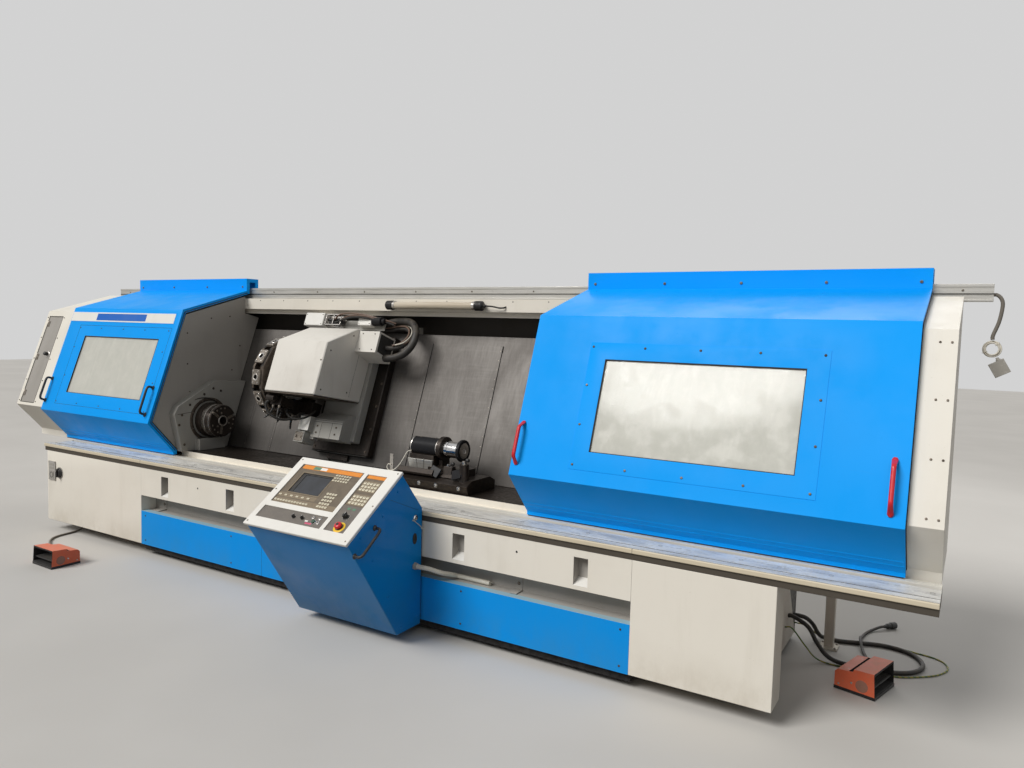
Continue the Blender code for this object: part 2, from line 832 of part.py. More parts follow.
def make_headstock():
    """The spindle head: a housing on the bed's left end with an angled face plate."""
    near = plane_y(TROUGH_Z, CASTING_OFFSET - 0.002)
    far = plane_y(1.27, CASTING_OFFSET - 0.002)
    face = [
        (0.30, TROUGH_Z + FIT),
        (0.235, 1.04),
        (0.27, 1.10),
        (0.60, 1.285),
        (far - 0.012, 1.27),
        (near - 0.012, TROUGH_Z + FIT),
    ]
    body_start = BULKHEAD_X + BULKHEAD_THICKNESS + FIT
    head = bar("headstock", face, (body_start, HEADSTOCK_FACE), MACHINE, "grey_paint")
    core = rod(
        "headstock_core", 0.22, 1.0, (body_start - 0.49, SPINDLE_Y, SPINDLE_Z), "X", MACHINE, sides=40
    )
    foot = box("headstock_foot", (0.25, 1.15), (0.46, 0.62), (TROUGH_Z + FIT, 0.85), MACHINE)
    nose = box(
        "headstock_nose",
        (HEADSTOCK_FACE - 0.01, HEADSTOCK_FACE + 0.05),
        (0.42, 0.66),
        (TROUGH_Z + FIT, 0.835),
        MACHINE,
    )
    seat = rod(
        "headstock_seat",
        0.115,
        0.02,
        (HEADSTOCK_FACE + 0.004, SPINDLE_Y, SPINDLE_Z),
        "X",
        MACHINE,
        sides=40,
    )
    return weld(head, core, foot, nose, seat)


def make_spindle():
    """The chuck with three radial slots, and the three master jaws that slide in them."""
    start = HEADSTOCK_FACE + 0.014 + FIT
    length = CHUCK_FACE - start
    profile = [
        (CHUCK_BORE, length),
        (CHUCK_RADIUS - 0.006, length),
        (CHUCK_RADIUS, length - 0.006),
        (CHUCK_RADIUS, 0.052),
        (CHUCK_RADIUS + 0.012, 0.048),
        (CHUCK_RADIUS + 0.012, 0.0),
        (CHUCK_BORE, 0.0),
        (CHUCK_BORE, length),
    ]
    chuck = turned("chuck", profile, SPINDLE, (start, 0, 0), "dark_steel", steps=36)
    slot_start = CHUCK_BORE - 0.008
    for number in range(3):
        turn = make_empty(
            f"jaw_way_{number + 1}", rotation=(math.radians(50 + 120 * number), 0, 0), parent=SPINDLE
        )
        slot = box(
            f"jaw_slot_{number}",
            (CHUCK_FACE - 0.03, CHUCK_FACE + 0.01),
            (-JAW_WIDTH / 2 - FIT, JAW_WIDTH / 2 + FIT),
            (slot_start, CHUCK_RADIUS + 0.02),
            turn,
        )
        tee = box(
            f"jaw_tee_{number}",
            (CHUCK_FACE - 0.035, CHUCK_FACE - 0.018),
            (-JAW_WIDTH / 2 - 0.006 - FIT, JAW_WIDTH / 2 + 0.006 + FIT),
            (slot_start, CHUCK_RADIUS + 0.02),
            turn,
        )
        cut(chuck, slot, tee)
        low = CHUCK_BORE + 0.012
        jaw = box(
            f"jaw_{number + 1}",
            (CHUCK_FACE - 0.03 + FIT, CHUCK_FACE - 0.002),
            (-JAW_WIDTH / 2, JAW_WIDTH / 2),
            (low, low + JAW_LENGTH),
            turn,
            "dark_steel",
        )
        weld(
            jaw,
            box(
                f"jaw_key_{number}",
                (CHUCK_FACE - 0.035 + FIT, CHUCK_FACE - 0.018 - FIT),
                (-JAW_WIDTH / 2 - 0.006, JAW_WIDTH / 2 + 0.006),
                (low, low + JAW_LENGTH),
                turn,
            ),
        )


def make_door(name, start, width, window):
    """A sliding hood door: a folded sheet with returned side edges, a window frame and a glass pane."""
    path = door_path()
    end = start + width
    door = bar(name, folded(path, -DOOR_EDGE), (start, end), MACHINE, "blue_paint")
    inner = folded(path, -DOOR_EDGE - 0.02, -SHEET)
    # The cutter runs past the sheet's own ends, so that only the side edges stay deep.
    inner[0] = (inner[0][0], inner[0][1] - 0.05)
    inner[-1] = (inner[-1][0], inner[-1][1] - 0.05)
    middle = len(inner) // 2
    inner[middle - 1] = (inner[middle - 1][0], inner[middle - 1][1] - 0.05)
    inner[middle] = (inner[middle][0], inner[middle][1] - 0.05)
    cut(door, bar(name + "_hollow", inner, (start + SHEET, end - SHEET), MACHINE))
    x, down, wide, tall = window
    left = start + x
    frame = box(
        name + "_window_frame",
        (left - WINDOW_LAP - 0.01, left + wide + WINDOW_LAP + 0.01),
        (down - WINDOW_LAP - 0.01, down + tall + WINDOW_LAP + 0.01),
        (SHEET / 2, SHEET + 0.004),
        DOOR_FACE,
    )
    opening = box(
        name + "_window_opening", (left, left + wide), (down, down + tall), (-0.03, 0.05), DOOR_FACE
    )
    weld(door, frame)
    cut(door, opening)
    box(
        name.replace("door", "window"),
        (left - WINDOW_LAP, left + wide + WINDOW_LAP),
        (down - WINDOW_LAP, down + tall + WINDOW_LAP),
        (SHEET + 0.004 + FIT, SHEET + 0.004 + FIT + WINDOW_GLASS),
        DOOR_FACE,
        "window_glass",
    )
    for number, x in enumerate((start + 0.09, end - 0.09)):
        middle = TOP_RAIL_Y + TOP_RAIL_DEPTH / 2
        rail_top = TOP_RAIL_BOTTOM + TOP_RAIL_HEIGHT
        wheel = rod(
            f"{name}_wheel_{number}",
            0.026,
            0.024,
            (x, middle, rail_top + FIT + 0.026),
            "Y",
            MACHINE,
            sides=20,
        )
        hanger = box(
            f"{name}_hanger_{number}",
            (x - 0.02, x + 0.02),
            (middle - 0.014, middle + 0.014),
            (rail_top + 0.03, DOOR_RUNNER_TOP - SHEET / 2),
            MACHINE,
        )
        weld(door, wheel, hanger)
    return door


def make_doors():
    left = make_door("left_door", LEFT_DOOR_START, LEFT_DOOR_WIDTH, LEFT_WINDOW)
    right = make_door("right_door", RIGHT_DOOR_START, RIGHT_DOOR_WIDTH, RIGHT_WINDOW)
    # A screwed reinforcing panel round the right window, a plain badge strip over the left one.
    x, down, wide, tall = RIGHT_WINDOW
    left_edge = RIGHT_DOOR_START + x
    weld(
        right,
        box(
            "window_plate",
            (left_edge - 0.095, left_edge + wide + 0.097),
            (down - 0.092, down + tall + 0.098),
            (-0.002, 0.002),
            DOOR_FACE,
        ),
    )
    cut(
        right,
        box(
            "window_plate_opening",
            (left_edge, left_edge + wide),
            (down, down + tall),
            (-0.05, 0.05),
            DOOR_FACE,
        ),
    )
    weld(
        left,
        box(
            "badge_strip",
            (LEFT_DOOR_START + 0.004, LEFT_DOOR_START + LEFT_DOOR_WIDTH - 0.06),
            (0.034, 0.122),
            (-0.0015, 0.002),
            DOOR_FACE,
        ),
    )
    for name, x, down, length, material in (
        ("left_handle_a", LEFT_DOOR_START + 0.02, 0.735, 0.19, "black_plastic"),
        ("left_handle_b", LEFT_DOOR_START + LEFT_DOOR_WIDTH - 0.066, 0.74, 0.21, "black_plastic"),
        ("right_handle_a", RIGHT_DOOR_START + 0.034, 0.734, 0.22, "red_plastic"),
        ("right_handle_b", RIGHT_DOOR_START + RIGHT_DOOR_WIDTH - 0.058, 0.742, 0.23, "red_plastic"),
    ):
        handle(name, length, 0.05, 0.009, DOOR_FACE, material, (x, down, -FIT), (math.pi, 0, 0))


def make_covers():
    """The plates that cover the ways: one on each side of the carriage, and a sliding one behind each."""
    second = CASTING_OFFSET - 2 * (FIT + COVER_SHEET)
    first = second - FIT - COVER_SHEET
    s = (COVER_BOTTOM, COVER_TOP)
    for name, x, deep in (
        ("left_slide_cover", LEFT_SLIDE_COVER, second),
        ("right_slide_cover", RIGHT_SLIDE_COVER, second),
    ):
        box(name, x, (deep, deep + COVER_SHEET), s, WAYS, "worn_steel")
    wings = [
        box(
            "left_wing", (LEFT_WING_START, CARRIAGE_CORE[0] + 0.005), (first, first + COVER_SHEET), s, WAYS
        ),
        box(
            "right_wing", (CARRIAGE_CORE[1] - 0.005, RIGHT_WING_END), (first, first + COVER_SHEET), s, WAYS
        ),
    ]
    weld(bpy.data.objects["carriage"], *wings)


def make_carriage():
    """The carriage: a plate over the covers on a core that reaches the ways."""
    face = CASTING_OFFSET - 3 * (FIT + COVER_SHEET) - FIT
    plate = box(
        "carriage",
        CARRIAGE_PLATE,
        (face - CARRIAGE_THICKNESS, face),
        (-0.10, 0.80),
        WAYS,
        "dark_steel",
        bevel=0.006,
    )
    core = box(
        "carriage_core",
        CARRIAGE_CORE,
        (face - 0.02, CASTING_OFFSET - FIT),
        (COVER_BOTTOM + 0.01, COVER_TOP - 0.01),
        WAYS,
    )
    front = face - CARRIAGE_THICKNESS
    hose_box = box("hose_box", (2.40, HOSE_BOX_END), (front + 0.004, face - 0.004), (0.78, 0.90), WAYS)
    weld(plate, core, hose_box)
    # A plate on two stand-offs carries the cable box and the valve box in front of the hose box.
    carrier = box("box_plate", BOX_PLATE, (BOX_PLATE_BACK - 0.004, BOX_PLATE_BACK), (0.832, 0.905), WAYS)
    weld(plate, carrier)
    for number, x in enumerate((2.45, 2.58)):
        weld(
            plate,
            box(
                f"box_stand_off_{number}",
                (x, x + 0.05),
                (BOX_PLATE_BACK - 0.002, front + 0.006),
                (0.845, 0.89),
                WAYS,
            ),
        )
    cable_box = box(
        "cable_box", CABLE_BOX, (0.058, BOX_PLATE_BACK - 0.002), (0.835, 0.938), WAYS, bevel=0.004
    )
    valve_box = box(
        "valve_box", VALVE_BOX, (0.075, BOX_PLATE_BACK - 0.002), (0.852, 0.928), WAYS, bevel=0.004
    )
    return weld(plate, cable_box, valve_box)


def make_cross_slide():
    """The cross slide on the carriage's face, with its lower block and nozzle block."""
    back = CASTING_OFFSET - 3 * (FIT + COVER_SHEET) - FIT - CARRIAGE_THICKNESS - FIT
    front = back - CROSS_SLIDE_THICKNESS
    slide = box("cross_slide", CROSS_SLIDE, (front, back), (-0.02, 0.76), WAYS, "grey_paint", bevel=0.005)
    lower_outline = [
        (-0.01, -0.035), (-0.01, 0.10), (0.06, 0.16), (front + 0.02, 0.16), (front + 0.02, -0.035)
    ]
    lower = bar("slide_lower_block", lower_outline, LOWER_BLOCK, WAYS)
    nozzle = bar(
        "slide_nozzle_block",
        [(-0.055, 0.0), (-0.055, 0.10), (0.05, 0.11), (0.05, -0.02)],
        NOZZLE_BLOCK,
        WAYS,
    )
    holder = box("slide_tool_block", TOOL_BLOCK, (-0.06, 0.06), (-0.09, -0.01), WAYS)
    tail = box(
        "slide_tool_neck", (TOOL_BLOCK[1] - 0.02, TOOL_BLOCK[1] + 0.04), (0.0, 0.05), (-0.05, 0.05), WAYS
    )
    weld(slide, lower, nozzle, tail, holder)
    return front


def make_turret(front):
    """The turret's painted housing with the hose guide on its side, and the twelve-station disc."""
    outline = [
        (HOUSING_FRONT, 0.20),
        (HOUSING_FRONT, 0.575),
        (-0.09, 0.765),
        (front - FIT, 0.765),
        (front - FIT, 0.27),
    ]
    housing = bar("turret_housing", outline, HOUSING, WAYS, "white_paint")
    add_bevel(housing, 0.006)
    hub = rod("turret_hub", 0.15, 0.05, (HOUSING[0] - 0.01, DISC_N, DISC_S), "X", WAYS, sides=32)
    weld(housing, hub)
    guide = [(-0.075, 0.60), (-0.075, 0.755), (front - FIT, 0.755), (front - FIT, 0.57)]
    weld(housing, bar("hose_guide", guide, (HOUSING[1] - 0.02, HOUSING[1] + HOSE_GUIDE_WIDTH), WAYS))
    make_disc()


def disc_turn(name, angle):
    """An empty at the disc's middle, whose Z points out to the rim at an angle."""
    return make_empty(name, ((DISC_X + disc_back()) / 2, DISC_N, DISC_S), (angle, 0, 0), WAYS)


def disc_back():
    return HOUSING[0] - 0.035 - FIT


def make_disc():
    """The twelve-sided disc: a notch in each corner, and a raised tool station with its bore on each flat."""
    thickness = disc_back() - DISC_X
    flat = DISC_RADIUS * math.cos(math.pi / STATIONS)
    middle = (DISC_X + thickness / 2, DISC_N, DISC_S)
    disc = rod("turret_disc", DISC_RADIUS, thickness, middle, "X", WAYS, "dark_steel", sides=STATIONS)
    add_bevel(disc, 0.006)
    half = STATION_LENGTH / 2
    for number in range(STATIONS):
        corner = 2 * math.pi * number / STATIONS
        notch = disc_turn(f"notch_{number}", corner)
        low, high = DISC_RADIUS - NOTCH_DEPTH, DISC_RADIUS + 0.03
        cut(
            disc,
            box(
                f"disc_notch_{number}",
                (-0.03, 0.03),
                (-NOTCH_WIDTH / 2, NOTCH_WIDTH / 2),
                (low, high),
                notch,
            ),
        )
        station = disc_turn(f"station_{number}", corner + math.pi / STATIONS)
        across = (-STATION_WIDTH / 2, STATION_WIDTH / 2)
        block = box(
            f"station_block_{number}", (-half, half), across, (flat - 0.01, flat + STATION_RISE), station
        )
        weld(disc, bevelled(block, 0.003))
        bore_middle = (0, 0, flat + STATION_RISE - STATION_BORE_DEPTH / 2 + 0.005)
        bore = rod(
            f"station_bore_{number}",
            STATION_BORE,
            STATION_BORE_DEPTH + 0.01,
            bore_middle,
            "Z",
            station,
            sides=16,
        )
        cut(disc, bore)
    return cut(disc, rod("disc_recess", 0.17, 0.05, (DISC_X - 0.005, DISC_N, DISC_S), "X", WAYS, sides=32))


def make_hose_loop():
    """The hose bundle from the carriage's box over the housing to the hose guide."""
    end = HOUSING[1] + HOSE_GUIDE_WIDTH + RUN
    points = [
        (HOSE_BOX_END + RUN, 0.215, 0.86),
        (2.72, 0.215, 0.86),
        (2.80, 0.212, 0.866),
        (2.88, 0.197, 0.872),
        (2.97, 0.165, 0.86),
        (3.045, 0.125, 0.82),
        (3.08, 0.085, 0.755),
        (3.06, 0.05, 0.695),
        (3.01, 0.027, 0.667),
        (end, 0.02, 0.665),
    ]
    return cord("hose_bundle", points, 0.018, WAYS, "black_rubber", 0.045, sides=3)


def make_tailstock():
    """The tailstock: foot, column, black barrel and the quill that slides in it."""
    end = TAILSTOCK_START + TAILSTOCK_LENGTH
    base = TROUGH_Z + FIT
    foot_outline = [(0.36, base), (0.34, 0.80), (0.40, 0.83), (0.60, 0.83), (0.66, 0.80), (0.66, base)]
    body = bar("tailstock_body", foot_outline, (TAILSTOCK_START, end), MACHINE, "dark_steel")
    column = box("tailstock_column", (3.43, 3.62), (0.46, 0.63), (0.80, SPINDLE_Z - 0.04), MACHINE)
    collar = rod("tailstock_collar", 0.078, 0.03, (COLLAR_X, SPINDLE_Y, SPINDLE_Z), "X", MACHINE, sides=32)
    prop = box(
        "tailstock_prop", (COLLAR_X - 0.013, COLLAR_X + 0.013), (0.50, 0.58), (0.80, SPINDLE_Z), MACHINE
    )
    clamp = rod("tailstock_clamp", 0.03, 0.13, (end - 0.06, 0.40, 0.86), "Z", MACHINE, sides=16)
    web = box("tailstock_web", (3.60, end - 0.09), (0.43, 0.57), (0.80, 0.875), MACHINE)
    weld(body, column, web, prop, collar, clamp)
    clear = rod(
        "barrel_seat",
        BARREL_RADIUS + FIT,
        BARREL_LENGTH + 2 * FIT,
        (BARREL_START + BARREL_LENGTH / 2, SPINDLE_Y, SPINDLE_Z),
        "X",
        MACHINE,
        sides=32,
    )
    bore = rod(
        "collar_bore",
        QUILL_RADIUS + FIT,
        0.3,
        (COLLAR_X + 0.13, SPINDLE_Y, SPINDLE_Z),
        "X",
        MACHINE,
        sides=32,
    )
    cut(body, clear, bore)
    barrel = rod(
        "tailstock_barrel",
        BARREL_RADIUS,
        BARREL_LENGTH,
        (BARREL_START + BARREL_LENGTH / 2, SPINDLE_Y, SPINDLE_Z),
        "X",
        MACHINE,
        "black_paint",
        bevel=0.004,
    )
    cut(
        barrel,
        rod(
            "barrel_bore",
            QUILL_RADIUS + FIT,
            BARREL_LENGTH,
            (BARREL_START + BARREL_LENGTH / 2 + 0.02, SPINDLE_Y, SPINDLE_Z),
            "X",
            MACHINE,
            sides=32,
        ),
    )
    length = QUILL_END - BARREL_START - 0.13
    quill = rod(
        "tailstock_quill",
        QUILL_RADIUS,
        length,
        (QUILL_END - length / 2, SPINDLE_Y, SPINDLE_Z),
        "X",
        MACHINE,
        "chrome",
        bevel=0.003,
    )
    weld(
        quill,
        rod(
            "quill_flange",
            QUILL_RADIUS + 0.016,
            0.02,
            (QUILL_END - 0.01, SPINDLE_Y, SPINDLE_Z),
            "X",
            MACHINE,
            sides=32,
        ),
    )


def panel_point(up, out):
    """The (Y, Z) of a point up the console's slope and out of its face."""
    return (
        PANEL_LIP_Y + up * math.cos(PANEL_SLOPE) - out * math.sin(PANEL_SLOPE),
        PANEL_LIP_Z + up * math.sin(PANEL_SLOPE) + out * math.cos(PANEL_SLOPE),
    )


def make_console():
    """The console's blue body, cream frame, control plate, screen and its controls."""
    end = CONSOLE_START + CONSOLE_WIDTH
    back = -0.012
    outline = [
        (back, CONSOLE_BOTTOM + 0.003),
        (-CONSOLE_FOOT_DEPTH, CONSOLE_BOTTOM),
        panel_point(0.012, -FIT),
        panel_point(PANEL_DEPTH - 0.008, -FIT),
        (back, 0.735),
    ]
    body = bar("console_body", outline, (CONSOLE_START + 0.004, end - 0.004), MACHINE, "blue_paint")
    add_bevel(body, 0.004)
    hook = bar(
        "console_hook",
        [
            (-0.05, LIP_TOP + FIT),
            (-0.05, 0.729),
            (LIP_DEPTH - 0.006, 0.729),
            (LIP_DEPTH - 0.006, LIP_TOP + FIT),
        ],
        (CONSOLE_START + 0.06, end - 0.06),
        MACHINE,
    )
    weld(body, hook)
    well = box(
        "console_well", (0.035, CONSOLE_WIDTH - 0.035), (0.045, PANEL_DEPTH - 0.03), (-0.04, 0.05), PANEL
    )
    cut(body, well)
    frame = box(
        "console_frame",
        (0, CONSOLE_WIDTH),
        (0, PANEL_DEPTH),
        (0, FRAME_THICKNESS),
        PANEL,
        "white_paint",
        bevel=0.003,
    )
    for number, (x, y, wide, tall) in enumerate((KEY_WINDOW, STRIP_WINDOW, COLUMN_WINDOW)):
        cut(frame, box(f"frame_opening_{number}", (x, x + wide), (y, y + tall), (-0.02, 0.04), PANEL))
    x, y = ((low - FIT, high + FIT) for low, high in plate_extent())
    cut(frame, box("frame_pocket", x, y, (-0.02, FRAME_THICKNESS - PLATE_SET_BACK + FIT), PANEL))
    make_control_plate()
    make_console_controls()


def make_keys(name, start, pitch, columns, rows, size):
    """A block of raised keys as one mesh of separate cubes."""
    mesh = bpy.data.meshes.new(name)
    work = bmesh.new()
    low, high = -0.004, 0.0022
    for row in range(rows):
        for column in range(columns):
            centre = (start[0] + column * pitch[0], start[1] + row * pitch[1], (low + high) / 2)
            matrix = Matrix.Translation(centre) @ Matrix.Diagonal((size[0], size[1], high - low, 1))
            bmesh.ops.create_cube(work, size=1, matrix=matrix)
    work.to_mesh(mesh)
    work.free()
    obj = bpy.data.objects.new(name, mesh)
    return place(obj, name, PLATE)


def plate_extent():
    """The control plate's (low, high) pairs across and up the panel; it laps under the frame by PLATE_LAP."""
    across = (STRIP_WINDOW[0] - PLATE_LAP, COLUMN_WINDOW[0] + COLUMN_WINDOW[2] + PLATE_LAP)
    up = (STRIP_WINDOW[1] - PLATE_LAP, KEY_WINDOW[1] + KEY_WINDOW[3] + PLATE_LAP)
    return across, up


def make_control_plate():
    """The taupe plate seen through the frame's openings, with raised keys and the screen's bezel."""
    across, up = plate_extent()
    plate = box("control_plate", across, up, (-0.006, 0), PLATE, "taupe_plastic")
    x, y, wide, tall = SCREEN_WINDOW
    cut(plate, box("screen_opening", (x, x + wide), (y, y + tall), (-0.03, 0.03), PLATE))
    weld(
        plate,
        make_keys("letter_keys", (0.352, 0.40), (0.0195, 0.0195), 6, 3, (0.012, 0.010)),
        make_keys("number_keys", (0.392, 0.205), (0.0195, 0.024), 4, 5, (0.013, 0.012)),
        make_keys("soft_keys", (0.075, 0.243), (0.043, 0.02), 6, 1, (0.016, 0.009)),
        make_keys("function_keys", (0.072, 0.203), (0.0215, 0.02), 12, 1, (0.014, 0.010)),
        make_keys("column_keys", (0.575, 0.27), (0.0225, 0.0235), 5, 3, (0.015, 0.015)),
        make_keys("axis_keys", (0.575, 0.37), (0.0225, 0.0235), 5, 3, (0.015, 0.015)),
    )
    box(
        "console_screen",
        (x + FIT, x + wide - FIT),
        (y + FIT, y + tall - FIT),
        (-0.012, -0.004),
        PLATE,
        "screen_glass",
    )
    cut(
        bpy.data.objects["console_body"],
        box(
            "screen_well", (x - 0.004, x + wide + 0.004), (y - 0.004, y + tall + 0.004), (-0.06, 0.0), PLATE
        ),
    )
    for number, (kx, ky, radius) in enumerate(ROUND_CONTROLS):
        cut(
            plate,
            rod(f"control_hole_{number}", radius * 0.5 + FIT * 2, 0.04, (kx, ky, 0), "Z", PLATE, sides=16),
        )


def make_console_controls():
    """Emergency stop, override knob, two mode knobs and a start button, each on its stem."""
    names = ("emergency_stop", "override_knob", "mode_knob_a", "mode_knob_b", "start_button")
    finishes = ("red_plastic", "black_plastic", "black_plastic", "black_plastic", "red_plastic")
    heights = (0.028, 0.022, 0.016, 0.016, 0.010)
    for name, finish, height, (x, y, radius) in zip(names, finishes, heights, ROUND_CONTROLS):
        rise = 0.006 if name in ("emergency_stop", "start_button") else FIT
        cap = rod(
            name, radius, height - rise, (x, y, rise + (height - rise) / 2), "Z", PLATE, finish, sides=20
        )
        add_bevel(cap, min(0.003, radius * 0.25))
        weld(
            cap,
            rod(
                name + "_stem",
                radius * 0.5,
                0.012 + rise,
                (x, y, (rise - 0.008) / 2 + 0.001),
                "Z",
                PLATE,
                sides=16,
            ),
        )
        if name.endswith("knob") or "knob" in name:
            weld(
                cap,
                box(
                    name + "_grip",
                    (x - radius * 0.28, x + radius * 0.28),
                    (y - radius * 1.15, y + radius * 1.15),
                    (height * 0.35, height + 0.004),
                    PLATE,
                ),
            )
    handle("console_handle", 0.19, 0.045, 0.008, MACHINE, "black_plastic", *console_handle_pose())


def console_handle_pose():
    """The grab handle's place on the console's right wall, slanting with the panel."""
    x = CONSOLE_START + CONSOLE_WIDTH - 0.004 + FIT
    slope = math.atan2(0.695 - 0.596, 0.557 - 0.427)
    turn = Matrix.Rotation(math.pi / 2, 4, "Y")
    return (x, -0.492, 0.645), (Matrix.Rotation(slope, 4, "X") @ turn).to_euler()


def make_console_conduit():
    """The pale corrugated conduit from the console's side into the recess of the bed front."""
    end = CONSOLE_START + CONSOLE_WIDTH
    points = [
        (end - 0.004 + FIT, -0.075, 0.415),
        (end + 0.03, -0.075, 0.415),
        (end + 0.085, -0.055, 0.408),
        (end + 0.135, -0.012, 0.385),
        (end + 0.165, 0.045, 0.366),
        (end + 0.185, 0.085, RECESS_BOTTOM + CONSOLE_CONDUIT_RADIUS + 0.002),
        (end + 0.25, 0.09, RECESS_BOTTOM + CONSOLE_CONDUIT_RADIUS + 0.001),
        (end + 0.40, 0.085, RECESS_BOTTOM + CONSOLE_CONDUIT_RADIUS + 0.001),
    ]
    return cord("console_conduit", points, CONSOLE_CONDUIT_RADIUS, MACHINE, "white_rubber", 0.03)


def make_main_switch():
    knob = rod(
        "main_switch",
        SWITCH_RADIUS,
        0.022,
        (SWITCH_X, -0.011 - FIT, SWITCH_Z),
        "Y",
        MACHINE,
        "black_plastic",
        sides=24,
        bevel=0.003,
    )
    stem = rod("switch_stem", SWITCH_STEM, 0.04, (SWITCH_X, 0.005, SWITCH_Z), "Y", MACHINE, sides=16)
    grip = box(
        "switch_grip",
        (SWITCH_X - 0.007, SWITCH_X + 0.007),
        (-0.034, -0.012),
        (SWITCH_Z - 0.034, SWITCH_Z + 0.034),
        MACHINE,
    )
    return weld(knob, stem, grip)


def make_pedal(side, pose):
    """A guarded foot switch: a shell open at one end, with a treadle on a pivot inside."""
    x, y, turn = pose
    frame = make_empty(side + "_pedal_frame", (x, y, 0), (0, 0, turn), MACHINE)
    half = PEDAL_WIDTH / 2
    length = PEDAL_LENGTH / 2
    height = PEDAL_HEIGHT
    shell = flat_outline(
        side + "_pedal_guard",
        [
            (-length, 0),
            (length, 0),
            (length - 0.008, height),
            (-0.006, height - 0.006),
            (-0.012, height - 0.02),
            (-length + 0.014, height - 0.028),
            (-length, height - 0.042),
        ],
        PEDAL_WIDTH,
    )
    shell.data.transform(Matrix.Rotation(math.pi / 2, 4, "X"))
    place(shell, side + "_pedal_guard", frame, "orange_plastic")
    wall = PEDAL_WALL
    inside = box(
        side + "_pedal_inside",
        (-0.03, length + 0.02),
        (-half + wall, half - wall),
        (PEDAL_FLOOR, height - 0.007 - wall),
        frame,
    )
    cut(shell, inside)
    pivot = make_empty(side + "_pedal_pivot", (-0.015, 0, PEDAL_FLOOR + 0.03), (0, 0, 0), frame)
    lever = box(
        side + "_pedal_treadle",
        (0.0, length),
        (-half + wall + 0.006, half - wall - 0.006),
        (-0.004, 0.004),
        pivot,
        "black_plastic",
    )
    weld(
        lever,
        rod(
            side + "_treadle_hub", 0.008, PEDAL_WIDTH - 2 * wall - 2 * FIT, (0, 0, 0), "Y", pivot, sides=16
        ),
    )
    return shell


def make_leg():
    """The square leg under the right hood's overhang, with its foot plate and a bracket up to the bed."""
    half = LEG_WIDTH / 2
    top = CABINET_TOP
    leg = box(
        "rear_leg",
        (LEG_X - half, LEG_X + half),
        (LEG_Y - half, LEG_Y + half),
        (0, top),
        MACHINE,
        "cream_paint",
    )
    foot = box("leg_foot", (LEG_X - 0.05, LEG_X + 0.05), (LEG_Y - 0.05, LEG_Y + 0.05), (0, 0.01), MACHINE)
    beam = box(
        "leg_beam",
        (LEG_X - half, LEG_X + half),
        (SHELF_FRONT + 0.01, LEG_Y + half),
        (top - 0.05, top),
        MACHINE,
    )
    tie = box("leg_tie", (BED_END + FIT, LEG_X), (LEG_Y - half, LEG_Y + half), (top - 0.05, top), MACHINE)
    return weld(leg, foot, beam, tie)


def make_pedal_cords():
    """The two foot switches' cords; the right one ends in a plug that lies on the floor."""
    lift = PEDAL_CORD_RADIUS + FIT
    left_x, left_y, _ = LEFT_PEDAL
    rear = left_y + PEDAL_LENGTH / 2 + 0.0016 + FIT
    left = [
        (left_x - 0.08, rear, 0.03),
        (left_x - 0.08, rear + 0.022, 0.03),
        (left_x - 0.12, rear + 0.075, lift + 0.006),
        (left_x - 0.20, rear + 0.085, lift),
        (left_x - 0.32, rear + 0.082, lift),
        (left_x - 0.43, rear + 0.092, lift),
        (left_x - 0.53, rear + 0.135, lift),
        (left_x - 0.61, rear + 0.190, lift),
        (left_x - 0.66, rear + 0.260, lift),
        (left_x - 0.68, rear + 0.360, lift),
        (left_x - 0.69, rear + 0.440, lift + 0.003),
        (left_x - 0.692, rear + 0.485, 0.026),
        (left_x - 0.693, rear + 0.511, 0.055),
        (left_x - 0.693, rear + 0.511, CABINET_BOTTOM - FIT),
    ]
    cord("left_pedal_cord", left, PEDAL_CORD_RADIUS, MACHINE, "grey_rubber", 0.03)
    over = 2 * HOSE_RADIUS + PEDAL_CORD_RADIUS + 0.004
    right = [
        (6.1676, 0.8567, 0.05),
        (6.1733, 0.8780, 0.05),
        (6.172, 0.94, over + 0.004),
        (6.150, 1.02, 0.016),
        (6.120, 1.10, lift),
        (6.090, 1.19, lift + 0.004),
        (6.068, 1.27, over - 0.003),
        (6.060, 1.33, over),
        (6.060, 1.40, 0.014),
        (6.068, 1.48, lift),
        (6.095, 1.56, lift + 0.002),
        (PLUG_X - 0.0193, PLUG_Y - 0.0230, PLUG_RADIUS + FIT),
        (PLUG_X, PLUG_Y, PLUG_RADIUS + FIT),
    ]
    cord("right_pedal_cord", right, PEDAL_CORD_RADIUS, MACHINE, "black_rubber", 0.026)
    frame = make_empty("plug_frame", (PLUG_X, PLUG_Y, PLUG_RADIUS + FIT), (0, 0, math.radians(50)), MACHINE)
    plug = rod(
        "right_pedal_plug",
        PLUG_RADIUS * 0.8,
        0.05,
        (0.025 + FIT, 0, 0),
        "X",
        frame,
        "black_plastic",
        sides=20,
    )
    return weld(plug, rod("plug_collar", PLUG_RADIUS, 0.04, (0.068, 0, 0), "X", frame, sides=20))


